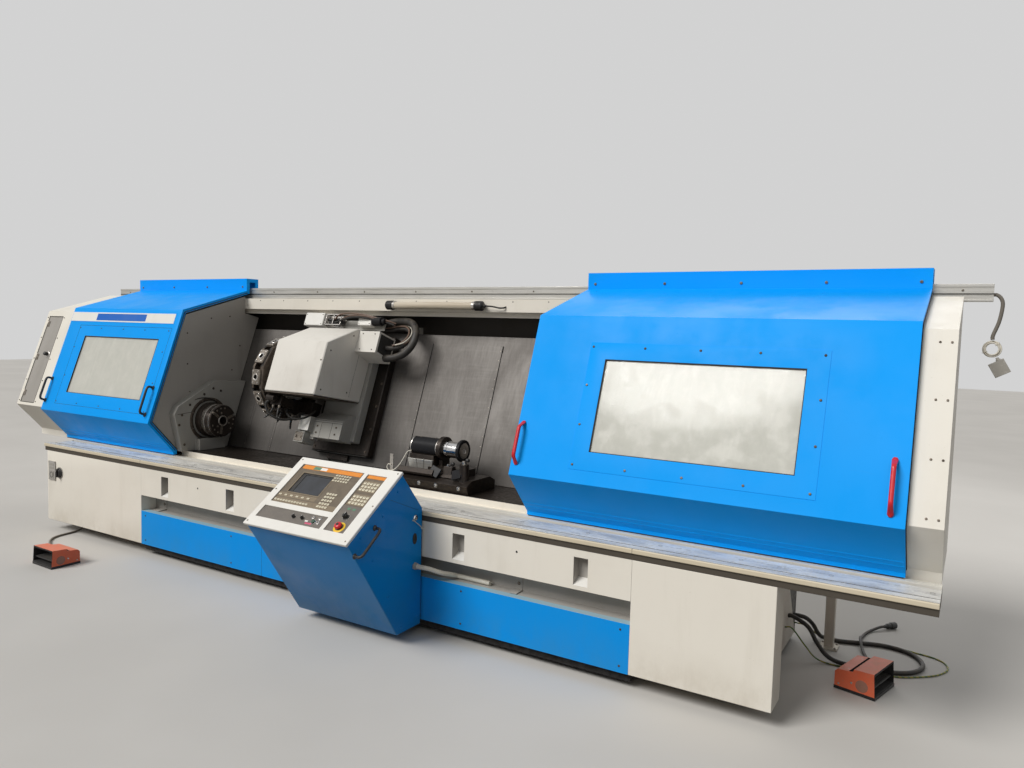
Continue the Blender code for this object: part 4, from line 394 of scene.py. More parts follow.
M = {
    "blue": painted("blue_paint", (0, 162, 255), (10, 140, 214), 0.44, 0.24, 0.14, 0.10),
    "blue_low": painted(
        "blue_paint_low", (0, 150, 238), (70, 138, 180), 0.42, 0.35, 0.25, 0.12, (0.08, 0.30, 0.30), 0.05
    ),
    # Painted shade: the doors' blue paint made darker for the console.
    "console_blue_shaded": painted(
        "console_blue_shaded", (0, 134, 212), (62, 128, 160), 0.38, 0.35, 0.25, 0.12, (0.06, 0.5, 0.30), 0.12
    ),
    "cream": painted(
        "cream_paint", (238, 232, 220), (176, 164, 142), 0.42, 0.35, 0.30, 0.12, (0.05, 0.30, 0.35)
    ),
    "hood": painted("hood_paint", (240, 235, 224), (180, 168, 146), 0.42, 0.32, 0.30, 0.12),
    "white": painted("white_paint", (238, 236, 230), (170, 160, 144), 0.40, 0.32, 0.26, 0.12),
    "housing": painted("housing_paint", (226, 222, 214), (130, 116, 98), 0.42, 0.45, 0.45, 0.14),
    "grey": painted("grey_paint", (166, 164, 158), (112, 102, 90), 0.46, 0.45, 0.45, 0.16),
    "grey_pale": painted("grey_pale", (176, 172, 166), (120, 110, 96), 0.46, 0.5, 0.4, 0.16),
    "wall_grey": painted("wall_grey", (170, 166, 160), (112, 104, 94), 0.5, 0.5, 0.5, 0.16),
    # Painted shade: dark grey for the rear guard's inside, whose paint is cream.
    "guard_painted_shade": painted("guard_painted_shade", (74, 70, 65), (40, 36, 33), 0.5, 0.6, 0.6, 0.16),
    "black": painted("black_paint", (34, 34, 36), (88, 80, 70), 0.36, 0.4, 0.3, 0.14),
    "cover": way_cover_steel(),
    "rail": rail_steel(),
    "steel": metal("machined_steel", (150, 142, 132), (58, 50, 44), 0.38, 0.85, (1, 1, 1), 60, 0.45, 0.35),
    "dark_steel": metal(
        "oiled_cast_steel", (108, 98, 88), (34, 29, 26), 0.42, 0.75, (1, 1, 1), 36, 0.6, 0.45
    ),
    "bright_steel": metal(
        "bright_steel", (206, 202, 196), (120, 112, 104), 0.24, 1.0, (0.3, 4, 4), 50, 0.2, 0.15
    ),
    "chrome": metal("hard_chrome", (226, 226, 226), (140, 136, 132), 0.12, 1.0, (0.2, 3, 3), 60, 0.15, 0.08),
    "aluminium": metal(
        "aluminium_rail", (214, 212, 206), (150, 146, 138), 0.34, 0.7, (0.12, 5, 5), 40, 0.25, 0.2
    ),
    "glass": glazing("window_glazing"),
    "screen": dark_screen(),
    "keypad": keypad_film(),
    "key": moulded("key_caps", (230, 222, 198), (184, 172, 150), 0.45, 0.2, 900),
    "orange_label": moulded("orange_label", (232, 140, 40), (196, 150, 96), 0.42, 0.25, 900),
    "black_plastic": moulded("black_plastic", (26, 26, 28), (120, 112, 100), 0.38, 0.22),
    "grey_plastic": moulded("grey_plastic", (158, 154, 146), (190, 182, 168), 0.5, 0.3),
    "dark_rubber": moulded("dark_rubber", (30, 29, 28), (112, 104, 92), 0.68, 0.35, 420),
    "hose": wrapped_rubber("hose_jacket", (34, 32, 31), (120, 110, 96), 120.0, 0.55),
    "grey_cable": wrapped_rubber("grey_cable", (112, 106, 98), (168, 158, 140), 90.0),
    "white_cable": wrapped_rubber("white_cable", (226, 220, 206), (170, 160, 140), 150.0, 0.55),
    "red_plastic": moulded("red_plastic", (206, 24, 40), (170, 96, 90), 0.32, 0.15),
    "yellow_plastic": moulded("yellow_plastic", (240, 196, 40), (190, 160, 96), 0.4, 0.2),
    "orange": moulded("pedal_shell", (240, 112, 74), (206, 164, 140), 0.46, 0.45, 260, (214, 130, 104)),
    "earth": two_tone_wire(),
    "tube": lamp_tube(),
    # Dark joints and grooves, and also painted shade and shadow: under the bed, in the turret's bores and
    # inside the foot switches' mouths.
    "joint_and_shade": moulded("dark_joint_and_shade", (22, 20, 19), (50, 46, 42), 0.8, 0.1),
    "brown_hose": moulded("brown_hose", (104, 82, 70), (150, 138, 120), 0.5, 0.3, 500),
    "rail_white": painted("rail_guide", (226, 222, 212), (150, 140, 124), 0.40, 0.7, 0.3, 0.12),
    "rail_dark": painted("rail_shade", (84, 78, 70), (50, 45, 40), 0.5, 0.6, 0.5, 0.14),
    "rail_lip": painted("rail_lip", (214, 202, 178), (150, 134, 110), 0.42, 0.55, 0.3, 0.12),
    # Painted highlight: a paler blue on the kick panel's upward faces.
    "panel_top_highlight": painted("panel_top_highlight", (150, 190, 208), (196, 188, 172), 0.45, 0.8, 0.3, 0.12),
    "oily": metal("oily_black_steel", (62, 54, 48), (18, 16, 15), 0.36, 0.6, (1, 1, 1), 44, 0.7, 0.5),
}


# Shapes in a local frame
def new():
    return bmesh.new()


def add_box(bm, x, y, z):
    """A block between two values on each axis."""
    matrix = Matrix.Translation((sum(x) / 2, sum(y) / 2, sum(z) / 2))
    matrix @= Matrix.Diagonal((x[1] - x[0], y[1] - y[0], z[1] - z[0], 1))
    bmesh.ops.create_cube(bm, size=1, matrix=matrix)
    return bm


# Turns Z into the named axis
AXES = {
    "X": Matrix.Rotation(math.pi / 2, 4, "Y"), "Y": Matrix.Rotation(-math.pi / 2, 4, "X"),
    "Z": Matrix.Identity(4),
}


def join_rings(bm, rings, sides):
    """Faces between rings of vertices, of which some may be a single point."""
    for low, high in zip(rings, rings[1:]):
        for i in range(sides):
            j = (i + 1) % sides
            corners = [low[i % len(low)], low[j % len(low)], high[j % len(high)], high[i % len(high)]]
            corners = [v for k, v in enumerate(corners) if v not in corners[:k]]
            if len(corners) > 2:
                bm.faces.new(corners)


def close_rings(bm, rings):
    """A solid through rings of as many vertices each."""
    join_rings(bm, rings, len(rings[0]))
    bm.faces.new(rings[0][::-1])
    bm.faces.new(rings[-1])
    return bm


def add_slab(bm, near, far):
    """A solid between two outlines of as many corners."""
    near, far = ([bm.verts.new(corner) for corner in outline] for outline in (near, far))
    bm.faces.new(near)
    bm.faces.new(far[::-1])
    for i in range(len(near)):
        j = (i + 1) % len(near)
        bm.faces.new((near[i], far[i], far[j], near[j]))
    return bm


def add_each(add, bm, x, y, z, *how):
    """Adds a screw or bolt at each crossing of the X, Y and Z places, each of them a number or several."""
    for place in itertools.product(*(at if isinstance(at, tuple) else (at,) for at in (x, y, z))):
        add(bm, place, *how)
    return bm


def add_turned(bm, profile, centre, axis="Z", sides=24, flip=False):
    """A solid of revolution: (radius, height) points from one end on the axis to the other."""
    turn = AXES[axis] @ (Matrix.Rotation(math.pi, 4, "X") if flip else Matrix.Identity(4))
    frame_of = Matrix.Translation(centre) @ turn
    rings = []
    for radius, height in profile:
        if radius < 1e-6:
            rings.append([bm.verts.new(frame_of @ Vector((0, 0, height)))])
        else:
            angles = (2 * math.pi * i / sides for i in range(sides))
            points = [Vector((radius * math.cos(a), radius * math.sin(a), height)) for a in angles]
            rings.append([bm.verts.new(frame_of @ point) for point in points])
    join_rings(bm, rings, sides)
    return bm


def add_rod(bm, radius, low, high, centre, axis="Z", sides=20, chamfer=0.0):
    """A round bar from low to high along the axis, with chamfered ends."""
    edge = min(chamfer, radius * 0.4)
    profile = [
        (0, low), (radius - edge, low), (radius, low + edge), (radius, high - edge), (radius - edge, high),
        (0, high),
    ]
    if not edge:
        profile = [(0, low), (radius, low), (radius, high), (0, high)]
    return add_turned(bm, profile, centre, axis, sides)


def add_prism(bm, outline, x):
    """A closed (Y, Z) outline drawn along X."""
    ends = [[bm.verts.new((at, y, z)) for y, z in outline] for at in x]
    bm.faces.new(ends[0])
    bm.faces.new(ends[1][::-1])
    for i in range(len(outline)):
        j = (i + 1) % len(outline)
        bm.faces.new((ends[0][j], ends[0][i], ends[1][i], ends[1][j]))
    return bm


def add_screw(bm, centre, axis, radius=0.007, height=0.004, flip=False, socket=True):
    """A round-headed socket screw; its head rises along the axis from centre."""
    head = [
        (radius, -0.0005), (radius, height * 0.45), (radius * 0.82, height * 0.9), (radius * 0.55, height)
    ]
    if socket:
        head += [(radius * 0.42, height), (radius * 0.38, height * 0.35), (0, height * 0.3)]
    else:
        head += [(0, height)]
    return add_turned(bm, head, centre, axis, 10, flip)


def add_tube(bm, points, radius, sides=10):
    """A round tube along points, which are close together where it bends."""
    points = [Vector(p) for p in points]
    rings, side = [], None
    for i, point in enumerate(points):
        ahead = (points[min(i + 1, len(points) - 1)] - points[max(i - 1, 0)]).normalized()
        if side is None:
            side = ahead.orthogonal().normalized()
        side = (side - ahead * side.dot(ahead)).normalized()
        over = ahead.cross(side)
        r = radius[i] if isinstance(radius, (list, tuple)) else radius
        rings.append([
            bm.verts.new(
                point + (
                    side * math.cos(2 * math.pi * k / sides) + over * math.sin(2 * math.pi * k / sides)
                ) * r,
            )
            for k in range(sides)
        ])
    return close_rings(bm, rings)


def merge(bm, other):
    """Adds other's geometry to bm."""
    mesh = bpy.data.meshes.new("merged")
    other.to_mesh(mesh)
    other.free()
    bm.from_mesh(mesh)
    bpy.data.meshes.remove(mesh)


def smooth(mesh, angle=SHARP):
    """Smooth shading, with the sharper edges kept."""
    mesh.shade_smooth()
    mesh.set_sharp_from_angle(angle=math.radians(angle))


# The slot of a piece of this material, unless its own line names another
SLOTS = {
    "aluminium": "aluminium",
    "black_plastic": "black_plastic",
    "bright_steel": "chrome",
    "chrome": "chrome",
    "dark_rubber": "black_rubber",
    "dark_steel": "dark_steel",
    "joint_and_shade": "black_rubber",
    "steel": "worn_steel",
    "white": "white_paint",
    "white_cable": "white_rubber",
}


def emit(name, body, bm, local, material, bevel=0.0, segments=2, slot=None, angle=SHARP, replaces=()):
    """Turns local geometry into a piece that rides on a body."""
    bmesh.ops.recalc_face_normals(bm, faces=bm.faces)
    mesh = bpy.data.meshes.new(name)
    bm.to_mesh(mesh)
    bm.free()
    mesh.transform(local)
    smooth(mesh, angle)
    obj = bpy.data.objects.new(name, mesh)
    bpy.context.scene.collection.objects.link(obj)
    mesh.materials.append(M[material])
    if bevel:
        soften(obj, bevel, segments)
    slot = slot or SLOTS[material]
    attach(obj, body)
    if replaces:
        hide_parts(*replaces)
    return obj


# Edges that turn by more degrees than this are rounded
ROUND_FROM = 32
# Points of a CAD mesh that are nearer are one, and its faces that turn by fewer degrees are one
WELD = 0.00002
FLAT_WITHIN = 0.6


def soften(obj, width, segments):
    """Rounds a piece's edges."""
    modifier = obj.modifiers.new("edge", "BEVEL")
    modifier.width = width
    modifier.segments = segments
    modifier.limit_method = "ANGLE"
    modifier.angle_limit = math.radians(ROUND_FROM)
    modifier.harden_normals = True


def rounded(node, material, slot, width, segments):
    """A copy of a CAD node with its edges rounded, standing for it."""
    source = frame["nodes"][node]
    work = bmesh.new()
    work.from_mesh(source.data)
    bmesh.ops.remove_doubles(work, verts=work.verts, dist=WELD)
    bmesh.ops.dissolve_limit(work, angle_limit=math.radians(FLAT_WITHIN), verts=work.verts, edges=work.edges)
    return emit(
        node + "_form", source["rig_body"], work, Matrix.Identity(4), material, width, segments, slot=slot,
        replaces=(node,),
    )


def paint(node, material):
    """Gives a CAD node its finished material."""
    data = frame["nodes"][node].data
    data.materials.clear()
    data.materials.append(M[material])
    smooth(data)


# Floor, backdrop and light

# The surroundings are pale where they are looked at, and dimmer where they only light the machine.
FLOOR_SEEN = (linear(200, 197, 192), linear(206, 203, 198))
FLOOR_AS_LIGHT = linear(122, 119, 114)
SKY_COLOR = linear(232, 232, 232)
SKY_AS_LIGHT, SKY_SEEN = 0.26, 0.80
KEY_SPREAD = math.radians(28)


def seen_by_eye(rays):
    """The rays that look at a surface: straight from the camera, off a mirror and through clear plastic."""
    return rays["Is Camera Ray"], rays["Is Glossy Ray"], rays["Is Transmission Ray"]


def make_stage():
    """The floor, the backdrop and the way colours are shown."""
    floor_material = Nodes("studio_floor", 0.75)
    tone = floor_material.noise(0.7, 3, 0.5)
    straight, mirrored, through = seen_by_eye(floor_material.node("LightPath"))
    seen = floor_material.math("ADD", floor_material.math("ADD", straight, mirrored), through, True)
    pale = floor_material.mix(floor_material.ramp(tone, 0.3, 0.7), *FLOOR_SEEN)
    shade = floor_material.mix(seen, FLOOR_AS_LIGHT, pale)
    floor_material.finish(shade, None, floor_material.noise(60, 3), 0.05, 0.001)
    bm = new()
    bmesh.ops.create_grid(bm, x_segments=1, y_segments=1, size=30)
    mesh = bpy.data.meshes.new("floor")
    bm.to_mesh(mesh)
    bm.free()
    floor = bpy.data.objects.new("floor", mesh)
    mesh.materials.append(floor_material.material)
    bpy.context.scene.collection.objects.link(floor)

    world = bpy.data.worlds.new("studio")
    world.use_nodes = True
    tree = world.node_tree
    background = tree.nodes["Background"]
    background.inputs["Color"].default_value = (*SKY_COLOR, 1)
    strength = tree.nodes.new("ShaderNodeMapRange")
    strength.inputs["To Min"].default_value = SKY_AS_LIGHT
    strength.inputs["To Max"].default_value = SKY_SEEN
    rays = seen_by_eye(tree.nodes.new("ShaderNodeLightPath").outputs)
    total = rays[0]
    for ray in rays[1:]:
        added = tree.nodes.new("ShaderNodeMath")
        tree.links.new(total, added.inputs[0])
        tree.links.new(ray, added.inputs[1])
        total = added.outputs[0]
    tree.links.new(total, strength.inputs["Value"])
    tree.links.new(strength.outputs["Result"], background.inputs["Strength"])
    bpy.context.scene.world = world
    bpy.context.scene.view_settings.view_transform = "Standard"


def area_light(name, at, aim, size, power, color=(1, 1, 1)):
    """A rectangular lamp."""
    data = bpy.data.lights.new(name, "AREA")
    data.shape = "RECTANGLE"
    data.size, data.size_y = size
    data.energy = power
    data.color = color
    place_light(name, data, at, aim)


def sun_light(name, at, aim, strength, angle, color):
    """A broad far light, even along the whole machine."""
    data = bpy.data.lights.new(name, "SUN")
    data.energy = strength
    data.angle = angle
    data.color = color
    place_light(name, data, at, aim)


def place_light(name, data, at, aim):
    """Hangs a light at one point and aims it at another."""
    lamp = bpy.data.objects.new(name, data)
    bpy.context.scene.collection.objects.link(lamp)
    way = Vector(aim) - Vector(at)
    lamp.matrix_world = Matrix.Translation(at) @ way.to_track_quat("-Z", "Y").to_matrix().to_4x4()


make_stage()
sun_light("key", (-2.8, -6.0, 7.6), (0.2, 0.2, 1.0), 2.6, KEY_SPREAD, (1.0, 0.985, 0.96))
area_light("fill", (5.5, -6.5, 6.0), (2.0, 0.0, 1.0), (5.0, 3.5), 50, (0.97, 0.985, 1.0))
area_light("back", (1.0, 6.5, 5.5), (0.0, 0.5, 1.2), (8.0, 3.0), 160)


# Cords, on the routes of the source
def evenly(path, spacing):
    """Points at an even spacing along a path."""
    total = sum((q - p).length for p, q in zip(path, path[1:]))
    count = max(2, round(total / spacing))
    made, walked, goal = [path[0]], 0.0, total / count
    for p, q in zip(path, path[1:]):
        step = (q - p).length
        while step > 0 and walked + step >= goal - 1e-9 and len(made) < count:
            made.append(p.lerp(q, (goal - walked) / step))
            goal += total / count
        walked += step
    return made + [path[-1]]


def smooth_route(points, spacing):
    """A smooth curve through the points, as the source draws its cords."""
    ways = [Vector(point) for point in points]
    ends = [ways[0] * 2 - ways[1], *ways, ways[-1] * 2 - ways[-2]]
    dense = []
    for a, b, c, d in zip(ends, ends[1:], ends[2:], ends[3:]):
        for step in range(12):
            t = step / 12
            square, cube = 2 * a - 5 * b + 4 * c - d, 3 * b - a - 3 * c + d
            dense.append(0.5 * (2 * b + (c - a) * t + square * t * t + cube * t ** 3))
    dense.append(ways[-1])
    return evenly(dense, spacing)


def add_hose(bm, points, spacing, radius, sides=10):
    """A round tube along a smooth curve through the points."""
    return add_tube(bm, smooth_route(points, spacing), radius, sides)


CORD_SIDES = 12
# A corrugated jacket's radius in its grooves, as a share of that on its ribs
GROOVE = 0.86


def lay_cord(
    name, node, points, radius, body, material, slot,
    local=MACHINE, bumpy=None,
):
    """A cord in place of its CAD tube; bumpy is the pitch of a corrugated jacket."""
    route = [local @ p for p in smooth_route(points, min(0.012, radius * 1.2))]
    lift = radius + FIT
    for p in route:
        p.z = max(p.z, lift)
    length = sum((b - a).length for a, b in zip(route, route[1:]))
    radii = radius
    if bumpy:
        # Four points to a corrugation: two on its rib, two in its groove.
        route = evenly(route, bumpy / 4)
        radii = [radius * (1.0 if i % 4 in (0, 1) else GROOVE) for i in range(len(route))]
    bm = add_tube(new(), route, radii, CORD_SIDES)
    obj = emit(name, body, bm, Matrix.Identity(4), material, slot=slot, angle=60, replaces=(node,))
    tuple(route[0])
    [tuple(p) for p in route]
    return obj


def make_cords():
    """Every cord of the machine, with the plug, coil and junction box at their ends."""
    left_x, rear = 0.99, -0.4725 + 0.1 + 0.0016 + FIT
    lift = 0.008 + FIT
    lay_cord("left_pedal_lead", "left_pedal_cord", [
        (left_x - 0.08, rear, 0.03), (left_x - 0.08, rear + 0.022, 0.03),
        (left_x - 0.12, rear + 0.075, lift + 0.006),
        (left_x - 0.20, rear + 0.085, lift), (left_x - 0.32, rear + 0.082, lift),
        (left_x - 0.43, rear + 0.092, lift),
        (left_x - 0.53, rear + 0.135, lift), (left_x - 0.61, rear + 0.190, lift),
        (left_x - 0.66, rear + 0.260, lift),
        (left_x - 0.68, rear + 0.360, lift), (left_x - 0.69, rear + 0.440, lift + 0.003),
        (left_x - 0.692, rear + 0.485, 0.026),
        (left_x - 0.693, rear + 0.511, 0.055), (left_x - 0.693, rear + 0.511, 0.084 - FIT),
    ], 0.008, "machine", "grey_cable", "grey_rubber")
    plug_x, plug_y, over = 6.155, 1.640, 2 * 0.012 + 0.008 + 0.004
    plug = new()
    plug_frame = placed(plug_x, plug_y, 0.02 + FIT, Matrix.Rotation(math.radians(50), 4, "Z"))
    add_turned(
        plug,
        [
            (0, FIT), (0.0095, FIT), (0.0125, 0.018), (0.016, 0.022), (0.016, 0.048), (0.0195, 0.050),
            (0.0198, 0.084), (0.018, 0.0875), (0.0165, 0.0875), (0.0165, 0.072), (0, 0.072),
        ],
        (0, 0, 0), "X", 28,
    )
    for k in range(5):
        a = 2 * math.pi * k / 5
        add_rod(plug, 0.0016, 0.07, 0.084, (0, 0.009 * math.cos(a), 0.009 * math.sin(a)), "X", 8)
    for k in range(12):
        a = 2 * math.pi * k / 12
        add_box(
            plug, (0.026, 0.046), (0.0150 * math.cos(a) - 0.001, 0.0150 * math.cos(a) + 0.001),
            (0.0150 * math.sin(a) - 0.001, 0.0150 * math.sin(a) + 0.001),
        )
    plug_piece = emit(
        "pedal_plug_detail", "machine", plug, plug_frame, "black_plastic", 0.0004, 1,
        replaces=("right_pedal_plug",),
    )
    lay_cord("right_pedal_lead", "right_pedal_cord", [
        (6.1676, 0.8567, 0.05), (6.1733, 0.8780, 0.05), (6.172, 0.94, over + 0.004), (6.150, 1.02, 0.016),
        (6.120, 1.10, lift),
        (6.090, 1.19, lift + 0.004), (6.068, 1.27, over - 0.003), (6.060, 1.33, over), (6.060, 1.40, 0.014),
        (6.068, 1.48, lift),
        (6.095, 1.56, lift + 0.002), (plug_x - 0.0193, plug_y - 0.0230, 0.02 + FIT),
        (plug_x, plug_y, 0.02 + FIT),
    ], 0.008, "machine", "hose", "black_rubber")
    start, up = 5.72 + FIT, 0.012 + FIT
    lay_cord("supply_hose_line", "supply_hose", [
        (start, 0.98, 0.20), (5.75, 0.98, 0.20), (5.83, 0.975, 0.16), (5.88, 0.96, 0.09),
        (5.94, 0.945, 0.032), (6.02, 0.94, up),
        (6.15, 0.945, up), (6.27, 0.975, up), (6.345, 1.03, up), (6.385, 1.11, up), (6.385, 1.19, up),
        (6.345, 1.275, up),
        (6.27, 1.325, up), (6.17, 1.335, up), (6.06, 1.30, up), (5.96, 1.265, up), (5.87, 1.25, 0.02),
        (5.845, 1.21, 0.055),
        (5.825, 1.16, 0.115), (5.795, 1.125, 0.155), (5.765, 1.115, 0.165), (start, 1.115, 0.165),
    ], 0.012, "machine", "hose", "black_rubber")
    flat, start = 0.004 + FIT, start + FIT
    lay_cord("earth_wire_line", "earth_wire", [
        (start, 0.90, 0.16), (5.76, 0.90, 0.16), (5.83, 0.902, 0.08), (5.89, 0.908, 0.02),
        (5.98, 0.912, flat), (6.15, 0.918, flat),
        (6.29, 0.950, flat), (6.39, 1.020, flat), (6.465, 1.10, flat), (6.505, 1.20, flat),
        (6.485, 1.29, flat), (6.425, 1.335, flat),
        (6.35, 1.35, flat), (6.27, 1.365, flat), (6.16, 1.370, flat), (6.05, 1.332, flat),
        (5.95, 1.300, flat), (5.86, 1.285, 0.01),
        (5.83, 1.245, 0.035), (5.80, 1.205, 0.075), (5.77, 1.170, 0.10), (start, 1.170, 0.10),
    ], 0.004, "machine", "earth", "earth_rubber")
    x, y = 6.593 + FIT, 1.03
    coil_z, coil_r, section = 1.722, 0.034, 0.012
    turns = []
    for k in range(5 * 28 + 1):
        a = math.pi / 2 + 2 * math.pi * k / 28
        turn = k / 28
        r = coil_r + 0.0055 * math.cos(turn * 2.1)
        turns.append(
            (x + 0.008 + r * math.cos(a), y + 0.0065 * math.sin(turn * 2.4), coil_z + r * math.sin(a))
        )
    coil = new()
    add_tube(coil, turns, 0.0038, 8)
    for a in (0.9, 3.6):
        c = (x + 0.008 + coil_r * math.cos(a), y, coil_z + coil_r * math.sin(a))
        band = []
        for t in (2 * math.pi * i / 16 for i in range(17)):
            out = 0.0115 * math.cos(a) * math.cos(t), 0.0115 * math.sin(t), 0.0115 * math.sin(a) * math.cos(t)
            band.append((c[0] + out[0], c[1] + out[1], c[2] + out[2]))
        add_tube(coil, band, 0.0015, 6)
    coil_piece = emit(
        "wire_coil_turns", "machine", coil, MACHINE, "white_cable", angle=60, replaces=("wire_coil",)
    )
    frame_of = placed(x + 0.044, y, 1.63, Matrix.Rotation(math.radians(-29.4), 4, "Y"))
    junction = new()
    half = 0.0362
    add_box(junction, (-half, half), (-0.019, 0.025), (-half, half))
    add_box(junction, (-half + 0.001, half - 0.001), (-0.0245, -0.0195), (-half + 0.001, half - 0.001))
    for sx in (-1, 1):
        for sz in (-1, 1):
            add_screw(junction, (sx * 0.030, -0.0243, sz * 0.030), "Y", 0.0032, 0.0008, True)
    add_turned(
        junction, [(0.011, 0.0365), (0.011, 0.0415), (0.008, 0.0425), (0.0065, 0.0515), (0, 0.0515)],
        (0.0133, 0, 0), "Z", 12,
    )
    emit(
        "junction_box_detail", "machine", junction, frame_of, "grey_plastic", 0.0012, 2, slot="grey_plastic",
        replaces=("junction_box",),
    )
    lay_cord("rail_conduit_line", "rail_conduit", [
        (x, y, 1.989), (x + 0.012, y, 1.989), (x + 0.030, y, 1.974), (x + 0.040, y, 1.94),
        (x + 0.030, y, 1.86),
        (x + 0.008, y, 1.79), (x + 0.008, y, coil_z + coil_r + section + FIT),
    ], 0.009, "machine", "grey_cable", "grey_rubber")
    end, low = 3.147 + 0.759, 0.335 + 0.014
    lay_cord("console_conduit_line", "console_conduit", [
        (end - 0.004 + FIT, -0.075, 0.415), (end + 0.03, -0.075, 0.415), (end + 0.085, -0.055, 0.408),
        (end + 0.135, -0.012, 0.385),
        (end + 0.165, 0.045, 0.366), (end + 0.185, 0.085, low + 0.002), (end + 0.25, 0.09, low + 0.001),
        (end + 0.40, 0.085, low + 0.001),
    ], 0.014, "console", "white_cable", "white_rubber", bumpy=0.011)
    end = 2.75 + 0.19 + 0.002
    hose = [
        (2.662, 0.215, 0.86), (2.72, 0.215, 0.86), (2.80, 0.212, 0.866), (2.88, 0.197, 0.872),
        (2.97, 0.165, 0.86),
        (3.045, 0.125, 0.82), (3.08, 0.085, 0.755), (3.06, 0.05, 0.695), (3.01, 0.027, 0.667),
        (end, 0.02, 0.665),
    ]
    for number, (aside, radius, material) in enumerate((
        ((0.0, -0.0245, 0.0115), 0.0065, "brown_hose"), ((0.0245, 0.004, 0.0245), 0.0065, "brown_hose"),
        ((0.021, -0.021, 0.018), 0.0045, "white_cable"),
    )):
        line = new()
        add_hose(line, [Vector(p) + Vector(aside) for p in hose[:-1]], 0.010, radius)
        emit(
                f"turret_hose_side_{number}", "carriage", line, WAYS, material, slot="black_rubber", angle=65
            )
    loop = new()
    add_hose(loop, [
        (2.668, 0.188, 0.886), (2.73, 0.180, 0.896), (2.82, 0.168, 0.912), (2.94, 0.145, 0.915),
        (3.06, 0.105, 0.882), (3.135, 0.070, 0.805),
        (3.15, 0.048, 0.715), (3.11, 0.036, 0.640), (3.03, 0.032, 0.600), (end, 0.032, 0.592),
    ], 0.010, 0.026, 14)
    emit("turret_hose_loop", "carriage", loop, WAYS, "hose", slot="black_rubber", angle=65)
    straps = new()
    for at in (3, 5, 7):
        point, ahead = Vector(hose[at]), (Vector(hose[at + 1]) - Vector(hose[at - 1])).normalized()
        turn = ahead.to_track_quat("X", "Z").to_matrix().to_4x4()
        strap = add_turned(
            new(), [(0.0186, -0.005), (0.0205, -0.0045), (0.0205, 0.0045), (0.0186, 0.005)], (0, 0, 0), "X",
            24,
        )
        strap.transform(Matrix.Translation(point) @ turn)
        merge(straps, strap)
    emit("turret_hose_straps", "carriage", straps, WAYS, "black_plastic")
    lay_cord(
        "turret_hose", "hose_bundle", hose, 0.018, "carriage", "hose", "black_rubber",
        local=WAYS, bumpy=0.012,
    )


make_cords()


# CAD nodes: rounded copies and materials
def zones(obj, materials, choose):
    """Gives an object several materials; choose(centre, normal) takes machine coordinates."""
    data = obj.data
    data.materials.clear()
    for name in materials:
        data.materials.append(M[name])
    for face in data.polygons:
        face.material_index = choose(face.center - SHIFT, face.normal)


def zone_node(node, materials, choose):
    obj = frame["nodes"][node]
    zones(obj, materials, choose)
    smooth(obj.data)


def on_ways(centre):
    """How far behind the spindle axis and how far up the slant a machine point lies."""
    y, z = centre.y - SPINDLE_YZ[0], centre.z - SPINDLE_YZ[1]
    return y * math.cos(SLANT) - z * math.sin(SLANT), y * math.sin(SLANT) + z * math.cos(SLANT)


def bed_zone(centre, normal):
    """Cover plates, oily trough, painted shadow in black on the underside, painted shade in grey in the
    front's recess and on its pockets' walls, and the pockets' pale floors.
    """
    if normal.y > 0.5 and centre.y > 1.0:
        return 0
    if centre.z > 0.7445 and centre.y > 0.33:
        return 1 if normal.y < -0.5 else 2
    # Painted shadow: black under the bed.
    if centre.z < 0.084:
        return 3
    # Painted shade: grey on the pockets' walls; their floors are pale.
    if 0.0005 < centre.y < 0.0605 and 0.455 < centre.z < 0.63:
        return 5 if normal.z > 0.3 else 4
    # Painted shade: grey in the recess above the lower panel.
    if 0.0005 < centre.y < 0.125 and 0.33 < centre.z < 0.4525:
        return 4
    return 0


def carriage_zone(centre, normal):
    """Cover wings, dark plate, and the painted connection boxes on their bracket."""
    behind, up = on_ways(centre)
    if behind > 0.2485:
        return 0
    if up > 0.825 and behind < 0.14:
        return 2 if centre.x < 2.23 or (2.56 < centre.x < 2.70 and behind < 0.1315) else 3
    return 1


def disc_zone(centre, normal):
    """Ground steel on the raised stations, painted shade in black in their bores, oiled steel elsewhere."""
    behind, up = on_ways(centre)
    behind, up = behind - DISC_YZ[0], up - DISC_YZ[1]
    angle = math.atan2(behind, up)
    radius = math.hypot(behind, up)
    turn = (angle - math.radians(15)) % math.radians(30)
    turn = min(turn, math.radians(30) - turn)
    out = radius * math.cos(turn)
    aside = radius * math.sin(turn)
    if out > 0.292:
        return 1
    # Painted shade: black on the walls of each station's bore.
    return 2 if out > 0.262 and aside < 0.0168 and abs(centre.x - 2.18235) < 0.0168 else 0


def rail_zone(centre, normal):
    """Tread and lip, bright guide, and the shaded grooves and front."""
    if normal.z > 0.5:
        return 2 if centre.z < 0.70 else 1 if centre.y > 0.23 else 0
    return 2 if centre.y < 0.22 else 1


def guard_zone(centre, normal):
    """Painted shade in dark grey on the rear guard's inside."""
    return 1 if normal.y < -0.5 and centre.y > 1.15 else 0


def panel_zone(centre, normal):
    """A painted highlight in paler blue on the kick panel's upward faces."""
    return 1 if normal.z > 0.5 else 0


